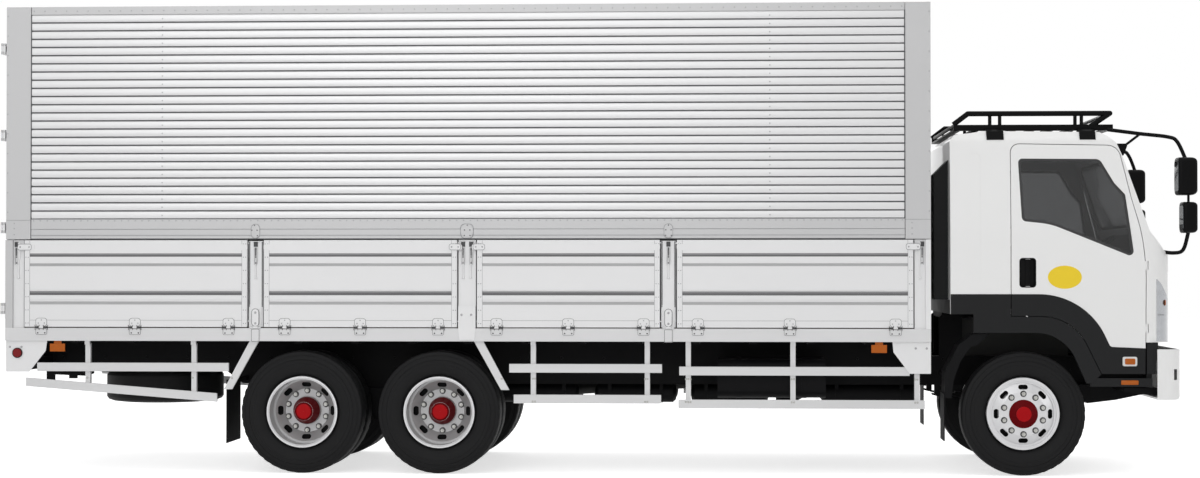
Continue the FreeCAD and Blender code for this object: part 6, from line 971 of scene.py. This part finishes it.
# Rear doors: two aluminium leaves on hinges, with rivets down their edges and black rubber seals along the
# hinge side, the foot and the head.
door_rubber = finish("door_rubber", (0.02, 0.02, 0.021), 0.6, mottle=0.15, grain=9.0)
plate_white = finish("plate_white", (0.66, 0.66, 0.64), 0.45, mottle=0.03, grain=20.0)
LEAF_RIVET = (0.0048, 0.003, 0.0024, 7)
LEAF_RIVET_IN = (0.045, 0.13)
for side, k in SIDES:
    node = "rear_door_" + side
    body = "rear_leaf_" + side
    low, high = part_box(node)
    near, far = (low.y, high.y) if k > 0 else (high.y, low.y)
    spots = behind(node, [(y, z) for y in (near + k * LEAF_RIVET_IN[0], far - k * LEAF_RIVET_IN[1])
                          for z in spaced(low.z + 0.08, high.z - 0.08, 0.12)])
    heads("leaf_rivets_" + side, body, "gate_aluminium", spots, *LEAF_RIVET, rivet_silver)
    skin = behind(node, [(near + k * 0.02, low.z + 0.5)])[0][0].x
    seals = []
    for y0, y1, z0, z1 in ((near, near + k * 0.010, low.z + 0.01, high.z - 0.01),
                           (near, far - k * 0.09, low.z + 0.002, low.z + 0.014),
                           (near, far - k * 0.09, high.z - 0.014, high.z - 0.002)):
        seals.append(((skin - 0.0012, min(y0, y1), z0), (skin + 0.004, max(y0, y1), z1)))
    strips("leaf_seals_" + side, body, "flap_rubber", seals, door_rubber)

# Tail member: a pressed steel bar is tucked up between the corner skirts on two hangers off the frame's ends,
# with the towing jaw's two cheeks and its pin hole in the middle; painted as the chassis is.
tail_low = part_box("underrun")[0]
BAR_REAR, BAR_FRONT, BAR_BASE, BAR_TOP = tail_low.x + 0.131, tail_low.x + 0.221, 0.862, 0.957
BAR_HALF = 1.15
JAW_REAR, JAW_FRONT, JAW_BASE, JAW_TOP = tail_low.x, tail_low.x + 0.131, 0.889, 0.914
JAW_RADIUS = 0.045
JAW_HOLE = 0.025
JAW_SHEET = 0.006
parts = [slab((BAR_REAR, -BAR_HALF, BAR_BASE), (BAR_FRONT, BAR_HALF, BAR_TOP))]
for k in (-1, 1):
    parts.append(slab(*side_strip(k, BAR_REAR + 0.01, BAR_FRONT - 0.002, 0.35, 0.36, 0.72, BAR_BASE)))
    parts.append(slab(*side_strip(k, BAR_REAR - 0.018, BAR_REAR, 0.30, 0.46, 0.93, 0.965)))
tail = solid("tail_bar", "chassis", "frame_paint", parts, chassis_black, smooth=False)
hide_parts("underrun")
eye = []
for z in (JAW_BASE, JAW_TOP - JAW_SHEET):
    loops = [[(JAW_REAR + JAW_RADIUS + radius * math.cos(math.radians(15 * step)),
               radius * math.sin(math.radians(15 * step))) for step in range(24)]
             for radius in (JAW_RADIUS, JAW_HOLE)]
    eye.append(ring(*loops, z, z + JAW_SHEET, lambda height, x, y: (x, y, height)))
    eye.append(slab((JAW_REAR + 0.08, -0.04, z), (JAW_FRONT, 0.04, z + JAW_SHEET)))
eye.append(slab((JAW_FRONT - 0.012, -0.06, 0.87), (JAW_FRONT, 0.06, 0.94)))
solid("towing_jaw", "chassis", "frame_paint", eye, pin_steel, sharp=30.0)

# Rear lamps: each red cluster has an amber end for turning and a clear one for reversing, parted by black
# rubber ribs.
LAMP_RIBS = (0.658, 0.80, 0.947)
LAMP_ENDS = (("turn", (0.955, 1.052), amber, "lamp_amber"),
             ("reverse", (0.568, 0.655), plate_white, "lamp_clear"))
for side, k in SIDES:
    back = behind("red_lamps", [(k * 0.8, 1.0)])[0][0].x
    for name, (y0, y1), material, slot in LAMP_ENDS:
        strips("rear_%s_%s" % (name, side), "chassis", slot,
               [side_strip(k, back - 0.0035, back + 0.001, y0, y1, 0.951, 1.065)], material)
    ribs = [side_strip(k, back - 0.005, back + 0.001, y, y + 0.006, 0.945, 1.071) for y in LAMP_RIBS]
    strips("rear_lamp_ribs_" + side, "chassis", "flap_rubber", ribs, door_rubber)

# Rear plate: a bare pale number plate held on the bed's end rail between two black rubber strips.
# It is pressed sheet, like the one on the front bumper.
PLATE_HALF = 0.165
REAR_PLATE = (1.04, 1.205)
face = behind("bed", [(0.0, 1.12)])[0][0].x
strips("rear_plate", "chassis", "cab_white",
       [((face - 0.004, -PLATE_HALF, REAR_PLATE[0]), (face, PLATE_HALF, REAR_PLATE[1]))], plate_white)
strips("rear_plate_frame", "chassis", "flap_rubber",
       [((face - 0.006, -PLATE_HALF - 0.006, z), (face + 0.0005, PLATE_HALF + 0.006, z + 0.008))
        for z in (1.033, 1.204)], door_rubber)

# Lock bars: two galvanised tubes run up each leaf, and each turns in four black guides that are bolted to the
# leaf's flat skin.
BAR_SHARES = (0.44, 0.76)
GUIDE_SHARES = (0.04, 0.35, 0.65, 0.96)
BAR_RADIUS = 0.0115
BAR_LIFT = 0.0105
FEEL_HEIGHT = 2.9
FEEL_GAP = 0.004
GUIDE_HALF = (0.022, 0.018)
for side, k in SIDES:
    node = "rear_door_" + side
    low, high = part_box(node)
    reach = high.y - low.y
    bars, guides = [], []
    for share in BAR_SHARES:
        found = []
        for step in range(-12, 13):
            y = k * (0.003 + share * reach) + FEEL_GAP * step
            for place, facing in behind(node, [(y, FEEL_HEIGHT)]):
                found.append((place.x, y))
        if not found:
            continue
        near = min(x for x, y in found)
        rows = [y for x, y in found if x < near + 0.002]
        y = sum(rows) / len(rows)
        bars.append(rod([(near + BAR_LIFT, y, z) for z in (low.z + 0.03, high.z - 0.03)], BAR_RADIUS, 12))
        for guide in GUIDE_SHARES:
            z = low.z + (high.z - low.z) * guide
            guides.append(slab((near - 0.002, y - GUIDE_HALF[0], z - GUIDE_HALF[1]),
                               (near + 0.020, y + GUIDE_HALF[0], z + GUIDE_HALF[1])))
    if bars:
        solid("lock_bars_" + side, "rear_leaf_" + side, "wheel_silver", bars, zinc)
        solid("lock_guides_" + side, "rear_leaf_" + side, "black_paint", guides, pin_steel, smooth=False)

# Cab: pressed steel in white enamel under a clear coat, with grained charcoal plastic cladding round its
# foot, tinted glass in black rubber, and a hard-wearing grey interior.
cab_white = finish("cab_enamel", (0.85, 0.85, 0.845), 0.3, mottle=0.015, grain=0.7, sheen=0.03, coat=0.4)
charcoal = finish("charcoal_plastic", (0.0095, 0.0098, 0.0104), 0.55, mottle=0.12, grain=6.0, specular=0.16)
gloss_black = finish("black_enamel", (0.0025, 0.0025, 0.0028), 0.4, mottle=0.1, grain=6.0, specular=0.07)
cabin_grey = finish("cabin_grey", (0.045, 0.045, 0.048), 0.75, mottle=0.12, grain=5.0)
tinted = finish("tinted_glass", (0.22, 0.224, 0.228), 0.03, mottle=0.02, sheen=0.01, specular=0.18)
glass = tinted.node_tree.nodes["Principled BSDF"]
glass.inputs["Transmission Weight"].default_value = 1.0
glass.inputs["IOR"].default_value = 1.45
lamp_bowl = finish("lamp_bowl", (0.40, 0.41, 0.43), 0.2, metal=0.7, mottle=0.12, grain=(9.0, 9.0, 30.0),
                   coat=1.0)
dress(cab_white, "cab_shell", "cab_door_left", "cab_door_right", "bumper")
dress(charcoal, "cab_cladding", "door_cladding_left", "door_cladding_right")
dress(gloss_black, "roof_rack")
dress(cabin_grey, "cab_interior")
dress(tinted, "cab_glass", "door_glass_left", "door_glass_right")
dress(lamp_bowl, "headlamps")


def frit(name, body, node, towards, width):
    """A black band baked round the edge of the pane of a node that faces one way."""
    shape = bmesh.new()
    shape.from_mesh(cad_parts[node].data)
    bmesh.ops.remove_doubles(shape, verts=shape.verts, dist=1e-5)
    shape.normal_update()
    away = Vector(towards)
    others = [face for face in shape.faces if face.normal.dot(away) < 0.6]
    bmesh.ops.delete(shape, geom=others, context="FACES")
    shape.normal_update()
    bmesh.ops.dissolve_limit(shape, angle_limit=math.radians(2.0), verts=shape.verts, edges=shape.edges)
    middles = bmesh.ops.inset_region(shape, faces=shape.faces, thickness=width, depth=0.0, use_boundary=True,
                                     use_even_offset=True)["faces"]
    inner = [face for face in shape.faces if face not in set(middles)]
    bmesh.ops.delete(shape, geom=inner, context="FACES")
    shape.normal_update()
    for vertex in shape.verts:
        vertex.co += vertex.normal * 0.0009
    mesh = bpy.data.meshes.new(name)
    shape.to_mesh(mesh)
    shape.free()
    return piece(name, body, mesh, door_rubber)


for side, k in SIDES:
    frit("door_pane_edge_" + side, "door_" + side, "door_glass_" + side, (0, k, 0), 0.022)
frit("screen_edge", "cab", "cab_glass", (1, 0, 0), 0.045)
frit("rear_pane_edge", "cab", "cab_glass", (-1, 0, 0), 0.025)

# Door furniture: a black cup with an upright grip is let into each door; a two-part side repeater sits on the
# cladding ahead of the arch and an amber reflector on the step's edge.
clear = lens("clear_lens", (0.70, 0.70, 0.69), 0.15, 0.03)
HANDLE = ((3.559, 3.689), (1.569, 1.807))
REPEATER = ((4.398, 4.517), (0.916, 0.994))
REFLECTOR = ((4.387, 4.529), (0.762, 0.799))


def domed(k, loop, back, face, draw):
    """A closed moulding from a loop: walls from back out to face, then a top drawn in by a share."""
    cx = sum(x for x, z in loop) / len(loop)
    cz = sum(z for x, z in loop) / len(loop)
    levels = [(back, 1.0), (face - 0.003, 1.0), (face - 0.001, 1.0 - 0.4 * draw), (face, 1.0 - draw)]
    return closed([(cx + (x - cx) * share, k * out, cz + (z - cz) * share)
                   for out, share in levels for x, z in loop], len(loop))


def moulding(name, body, slot, k, spans, radius, back, face, draw, material):
    """A rounded moulding over two spans, along the truck and in height, as a piece."""
    (x0, x1), (z0, z1) = spans
    return solid(name, body, slot, [domed(k, rounded(x0, x1, z0, z1, radius), back, face, draw)], material,
                 sharp=50.0)


for side, k in SIDES:
    body = "door_" + side
    door = "cab_door_" + side
    (x0, x1), (z0, z1) = HANDLE
    skin = face_out(door, k, x0 - 0.03, 0.5 * (z0 + z1))
    floor_hit = face_out(door, k, x0 + 0.02, 0.5 * (z0 + z1))
    grip_hit = face_out(door, k, 0.5 * (x0 + x1), 0.5 * (z0 + z1))
    moulding("handle_cup_" + side, body, "black_paint", k, HANDLE, 0.024, floor_hit - 0.001,
             floor_hit + 0.003, 0.05, gloss_black)
    rim_outer = rounded(x0 - 0.004, x1 + 0.004, z0 - 0.004, z1 + 0.004, 0.028)
    rim_inner = rounded(x0 + 0.004, x1 - 0.004, z0 + 0.004, z1 - 0.004, 0.020)
    rim = side_ring(k, rim_outer, rim_inner, skin - 0.003, skin + 0.0015, skin - 0.012)
    solid("handle_rim_" + side, body, "black_paint", [rim], gloss_black, sharp=50.0)
    middle = 0.5 * (x0 + x1)
    moulding("handle_grip_" + side, body, "black_paint", k,
             ((middle - 0.02, middle + 0.02), (z0 + 0.001, z1 - 0.001)), 0.005, grip_hit - 0.004,
             grip_hit + 0.002, 0.25, gloss_black)
    (x0, x1), (z0, z1) = REPEATER
    seat = face_out("door_cladding_" + side, k, 0.5 * (x0 + x1), 0.5 * (z0 + z1))
    moulding("repeater_white_" + side, body, "lamp_clear", k, REPEATER, 0.014, seat - 0.002, seat + 0.012,
             0.08, clear)
    moulding("repeater_amber_" + side, body, "lamp_amber", k,
             ((x0 + 0.018, x1 - 0.016), (z0 + 0.014, z1 - 0.014)), 0.010, seat + 0.008, seat + 0.0165, 0.08,
             amber)
    (x0, x1), (z0, z1) = REFLECTOR
    seat = face_out("cab_cladding", k, 0.5 * (x0 + x1), 0.5 * (z0 + z1))
    moulding("step_reflector_" + side, "cab", "lamp_amber", k, REFLECTOR, 0.006, seat - 0.002, seat + 0.004,
             0.05, amber)

# Cab front: the grille's slots are backed by black mesh and framed in charcoal; a black cowl under the screen
# carries three wipers, and the bumper holds fog lamps, a mouth with bars and a bare number plate.
def front_strip(y0, y1, z0, z1, back, face):
    """A strip across the truck's front between two stations along X."""
    return (back, y0, z0), (face, y1, z1)


def disc_front(y, z, base, profile, steps=28):
    """A spun form facing forward about a line along X, from (distance ahead of its base, radius) pairs."""
    count = len(profile)
    points = []
    for step in range(steps):
        angle = 2.0 * math.pi * step / steps
        points += [(base + ahead, y + radius * math.cos(angle), z + radius * math.sin(angle))
                   for ahead, radius in profile]
    return points, spun_faces(count, steps)


def face_loops(stations, loop):
    """A plate facing forward between two stations along X, from its outline as (y, z) pairs."""
    return closed([(x, y, z) for x in stations for y, z in loop], len(loop))


GRILLE_HALF = 0.64
GRILLE_BASE = 1.288
GRILLE_PITCH = 0.066
GRILLE_SLOT = 0.034
GRILLE_SLOTS = 5
GRILLE_FLOOR = 4.782
GRILLE_FRAME = ((-0.672, 0.672, 1.262, 1.612, 0.05), (-0.652, 0.652, 1.280, 1.594, 0.035))
CAB_FACE = 4.800
mesh_black = finish("mesh_black", (0.012, 0.012, 0.013), 0.7, mottle=0.3, grain=200.0)
slots = [GRILLE_BASE + GRILLE_PITCH * slot for slot in range(GRILLE_SLOTS)]
strips("grille_mesh", "cab", "cladding_grey",
       [front_strip(-GRILLE_HALF, GRILLE_HALF, z, z + GRILLE_SLOT, GRILLE_FLOOR - 0.002, GRILLE_FLOOR + 0.003)
        for z in slots], mesh_black)
solid("grille_frame", "cab", "cladding_grey",
      [ring(*[rounded(*loop) for loop in GRILLE_FRAME], CAB_FACE - 0.008, CAB_FACE + 0.005,
            lambda x, y, z: (x, y, z))], charcoal, sharp=50.0)
solid("grille_slats", "cab", "cladding_grey",
      [rod([(GRILLE_FLOOR + 0.008, y, z + 0.5 * GRILLE_SLOT) for y in (-GRILLE_HALF, GRILLE_HALF)], 0.0045)
       for z in slots], wheel_enamel)

# Cowl and wipers: a black moulding across the foot of the screen, three pressed arms on round pivots, and
# rubber blades that lie on the glass.
SCREEN_BASE = (4.5895, 2.100)
SCREEN_LEAN = -0.3475
COWL = ((4.6400, 2.018), (4.6560, 2.010), (4.6130, 2.075), (4.6040, 2.070))
COWL_HALF = 1.04
PIVOTS = (-0.86, -0.18, 0.50)
WIPER_PARTS = ((0.018, 14, ((0.0, 2.045, 0.008), (0.0, 2.045, 0.045))),
               (0.006, 8, ((0.0, 2.045, 0.040), (0.06, 2.115, 0.030), (0.36, 2.165, 0.022))),
               (0.006, 8, ((0.06, 2.140, 0.008), (0.36, 2.155, 0.010), (0.66, 2.170, 0.008))))
solid("screen_cowl", "cab", "cladding_grey", [plate(COWL, -COWL_HALF, COWL_HALF)], charcoal, smooth=False)


def on_screen(y, z, off):
    """A place a little off the leaning windscreen."""
    return SCREEN_BASE[0] + SCREEN_LEAN * (z - SCREEN_BASE[1]) + off, y, z


solid("wipers", "cab", "black_paint",
      [rod([on_screen(pivot + y, z, off) for y, z, off in path], radius, sides)
       for pivot in PIVOTS for radius, sides, path in WIPER_PARTS], gloss_black)

# Head and fog lamps: chromed bowls and dark bulbs behind each lens, split by a black seam, with the turn
# signal above; the fog lamps sit in charcoal bezels.
chrome = finish("lamp_chrome", (0.75, 0.76, 0.78), 0.1, metal=0.95, mottle=0.04, grain=9.0, sheen=0.03)
bulb_grey = finish("bulb_grey", (0.05, 0.05, 0.055), 0.25, mottle=0.1, grain=9.0)
HEADLAMP_OUT = 0.985
HEADLAMP_HEIGHTS = (1.205, 1.345)
BOWL = ((-0.006, 0.062), (0.004, 0.060), (0.004, 0.054), (-0.004, 0.030))
BULB = ((-0.006, 0.034), (0.001, 0.028), (0.004, 0.012), (0.0045, 0.0005))
LAMP_SEAM = (4.700, 4.744, 1.190, 1.1968, 1.338, 1.342)
TURN_SIGNAL = (1.13, 1.44)
SIGNAL_LENS = ((-0.004, 0.026), (0.002, 0.024), (0.004, 0.014), (0.0045, 0.0005))
FOG_OUT = 0.90
FOG_HEIGHT = 0.80
FOG_HALF = (0.095, 0.05)
bumper_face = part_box("bumper")[1].x
for side, k in SIDES:
    for word, profile, material in (("lamp_bowls_", BOWL, chrome), ("lamp_bulbs_", BULB, bulb_grey)):
        solid(word + side, "cab", "lamp_clear",
              [disc_front(k * HEADLAMP_OUT, z, CAB_FACE, profile) for z in HEADLAMP_HEIGHTS], material)
    strips("lamp_seams_" + side, "cab", "flap_rubber", [side_strip(k, *LAMP_SEAM)], door_rubber)
    y, z = k * TURN_SIGNAL[0], TURN_SIGNAL[1]
    seat = pressed("headlamps", [(6.0, y, z)], (-1, 0, 0))[0][0].x
    solid("turn_signal_" + side, "cab", "lamp_amber", [disc_front(y, z, seat, SIGNAL_LENS)], amber)
    y = k * FOG_OUT
    for name, grow, back, front, slot, material in (
            ("fog_bezel_", 0.018, -0.004, 0.005, "cladding_grey", charcoal),
            ("fog_lens_", 0.0, 0.002, 0.009, "lamp_clear", clear)):
        loop = rounded(y - FOG_HALF[0] - grow, y + FOG_HALF[0] + grow, FOG_HEIGHT - FOG_HALF[1] - grow,
                       FOG_HEIGHT + FOG_HALF[1] + grow, 0.025)
        solid(name + side, "chassis", slot, [face_loops((bumper_face + back, bumper_face + front), loop)],
              material, sharp=50.0)

# Bumper: a black mouth with two charcoal bars is let into the white moulding low in the middle, and a bare
# plate is screwed on above it.
MOUTH_HALF = 0.60
MOUTH_HEIGHTS = (0.690, 0.775)
MOUTH_BARS = (0.712, 0.742)
FRONT_PLATE = (0.820, 0.985)
strips("bumper_mouth", "chassis", "cladding_grey",
       [front_strip(-MOUTH_HALF, MOUTH_HALF, *MOUTH_HEIGHTS, bumper_face - 0.003, bumper_face + 0.002)],
       mesh_black)
strips("bumper_bars", "chassis", "cab_white",
       [front_strip(-MOUTH_HALF, MOUTH_HALF, z, z + 0.010, bumper_face - 0.002, bumper_face + 0.006)
        for z in MOUTH_BARS], charcoal)
strips("front_plate", "chassis", "cab_white",
       [front_strip(-PLATE_HALF, PLATE_HALF, *FRONT_PLATE, bumper_face, bumper_face + 0.004)], plate_white)

# Mirrors: two rounded black housings on each side, on arms that bend down from the roof and up from the
# pillar, with silvered glass set in their backs and a cast foot on the pillar.
mirror_glass = finish("mirror_glass", (0.16, 0.17, 0.18), 0.04, metal=1.0, mottle=0.02, grain=5.0, sheen=0.01)
mirror_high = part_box("mirrors")[1]
HEAD_FRONT = mirror_high.x - 0.007
HEAD_OUT = (mirror_high.y - 0.210, mirror_high.y)
HEADS = ((0.157, 2.329, 2.640, 0.040), (0.118, 2.017, 2.272, 0.034))
GLASSES = ((HEAD_FRONT - 0.157, 2.362, 2.607), (HEAD_FRONT - 0.118, 2.047, 2.242))
GLASS_OUT = (1.115, 1.278)
ARM_ROOT = 1.088
ARM_RADIUS = 0.016
BRACE_RADIUS = 0.011
UPPER_ARM = ((4.300, 2.880), (4.567, 2.843), (4.791, 2.814), (4.861, 2.771), (4.926, 2.620))
BRACE = ((4.395, 2.710), (4.440, 2.745), (4.567, 2.843))
LOWER_ARM = ((4.945, 2.030), (4.908, 1.880), (4.833, 1.8525), (4.719, 1.868))
BRACE_FOOT = ((4.335, 2.762), (4.445, 2.762), (4.458, 2.742), (4.428, 2.664), (4.406, 2.660))


def bent(path, y0, y1, steps=6):
    """A smooth line through (x, z) places, moving evenly from one sideways station to another."""
    ends = [path[0]] + list(path) + [path[-1]]
    line = []
    for at in range(len(path) - 1):
        for step in range(steps + (at == len(path) - 2)):
            t = step / steps
            place = [0.5 * (2.0 * b + (c - a) * t + (2.0 * a - 5.0 * b + 4.0 * c - d) * t * t
                            + (3.0 * b - a - 3.0 * c + d) * t ** 3)
                     for a, b, c, d in zip(*ends[at:at + 4])]
            line.append((place[0], y0 + (y1 - y0) * (at + t) / (len(path) - 1), place[1]))
    return line


def housing(k, length, z0, z1, radius, steps=6):
    """A mirror housing lofted upward through rounded levels, flat behind and full in front."""
    points, levels = [], []
    for step in range(steps + 1):
        turn = math.radians(90.0 * step / steps)
        levels.append((z0 + radius * (1.0 - math.cos(turn)), radius * (1.0 - math.sin(turn))))
    levels += [(z0 + z1 - z, inset) for z, inset in reversed(levels)]
    for z, inset in levels:
        loop = rounded(HEAD_FRONT - length + 0.3 * inset, HEAD_FRONT - inset, HEAD_OUT[0] + inset,
                       HEAD_OUT[1] - inset, 0.026)
        points += [(x, k * y, z) for x, y in loop]
    return closed(points, len(points) // len(levels))


bodies = []
middle = 0.5 * (HEAD_OUT[0] + HEAD_OUT[1])
for side, k in SIDES:
    bodies += [housing(k, *head) for head in HEADS]
    bodies.append(rod(bent(UPPER_ARM, k * ARM_ROOT, k * middle), ARM_RADIUS, 12))
    bodies.append(rod(bent(BRACE, k * ARM_ROOT, k * (ARM_ROOT + 0.027)), BRACE_RADIUS, 10))
    bodies.append(rod(bent(LOWER_ARM, k * middle, k * ARM_ROOT), ARM_RADIUS, 12))
    bodies.append(rod([(HEAD_FRONT - 0.059, k * middle, z) for z in (2.26, 2.34)], BRACE_RADIUS, 10))
    bodies.append(plate(BRACE_FOOT, k * 1.085, k * 1.125))
    y0, y1 = sorted(k * out for out in GLASS_OUT)
    glass = [face_loops((at - 0.0018, at + 0.002), rounded(y0, y1, z0, z1, 0.02)) for at, z0, z1 in GLASSES]
    solid("mirror_glass_" + side, "cab", "black_paint", glass, mirror_glass, sharp=50.0)
arms = solid("mirror_bodies", "cab", "black_paint", bodies, gloss_black, sharp=50.0)
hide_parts("mirrors")

# Rack feet: brackets folded from black steel strip that hook over the roof's edge and are bolted to its side,
# two on each.
FOOT_SPANS = ((3.293, 3.434), (4.060, 4.191))
FOOT_SECTION = ((1.162, 2.792), (1.171, 2.798), (1.140, 2.866), (1.066, 2.893), (1.030, 2.893),
                (1.030, 2.872), (1.105, 2.864), (1.150, 2.812))
feet = [closed([(x, k * y, z) for x in span for y, z in FOOT_SECTION], len(FOOT_SECTION))
        for side, k in SIDES for span in FOOT_SPANS]
solid("rack_feet", "cab", "black_paint", feet, gloss_black, smooth=False)

# Door patch: a plain oval cut from yellow film and pressed onto the right-hand door's enamel, below the
# window and ahead of the handle.
yellow = finish("yellow_film", (0.86, 0.62, 0.012), 0.4, mottle=0.03, grain=9.0)
PATCH_CENTRE = (3.928, 1.651)
PATCH_HALF = (0.140, 0.096)
skin = face_out("cab_door_right", -1, *PATCH_CENTRE)
loop = [(PATCH_CENTRE[0] + PATCH_HALF[0] * math.cos(math.radians(7.5 * step)),
         PATCH_CENTRE[1] + PATCH_HALF[1] * math.sin(math.radians(7.5 * step))) for step in range(48)]
solid("door_patch", "door_right", "cab_white", [domed(-1, loop, skin - 0.0005, skin + 0.0008, 0.004)], yellow,
      sharp=50.0)

# Cab back: a thin black sheet is fixed across the foot of the rear wall, where it keeps the wheels' spray off
# the enamel.
GUARD_HALF = 1.15
GUARD_HEIGHTS = (1.345, 1.462)
wall = min(place.x for place, facing in pressed(
    "cab_shell", [(2.0, y, 0.5 * sum(GUARD_HEIGHTS)) for y in (-0.9, 0.9)], (1, 0, 0)))
strips("cab_spray_guard", "cab", "black_paint", [((wall - 0.004, -GUARD_HALF, GUARD_HEIGHTS[0]),
                                                  (wall + 0.001, GUARD_HALF, GUARD_HEIGHTS[1]))], gloss_black)

# Deck: hardwood planks oiled brown, laid lengthwise between the side rails and screwed down on the bearers;
# they are seen when the wings and gates are open.
deck_wood = finish("deck_wood", (0.21, 0.115, 0.058), 0.62, mottle=0.45, grain=(0.5, 9.0, 3.0), specular=0.3)
DECK_HALF = 1.195
DECK_ENDS = (-4.88, 2.69)
PLANKS = 14
PLANK_GAP = 0.004
deck_top = pressed("bed", [(0.3, 0.1, 2.5)], (0, 0, -1))[0][0].z
plank = 2.0 * DECK_HALF / PLANKS
rows = [-DECK_HALF + number * plank for number in range(PLANKS)]
strips("deck_planks", "chassis", "rail_silver",
       [((DECK_ENDS[0], y, deck_top - 0.001), (DECK_ENDS[1], y + plank - PLANK_GAP, deck_top + 0.0006))
        for y in rows], deck_wood)


# Sizes of the shown truck.
low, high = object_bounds()
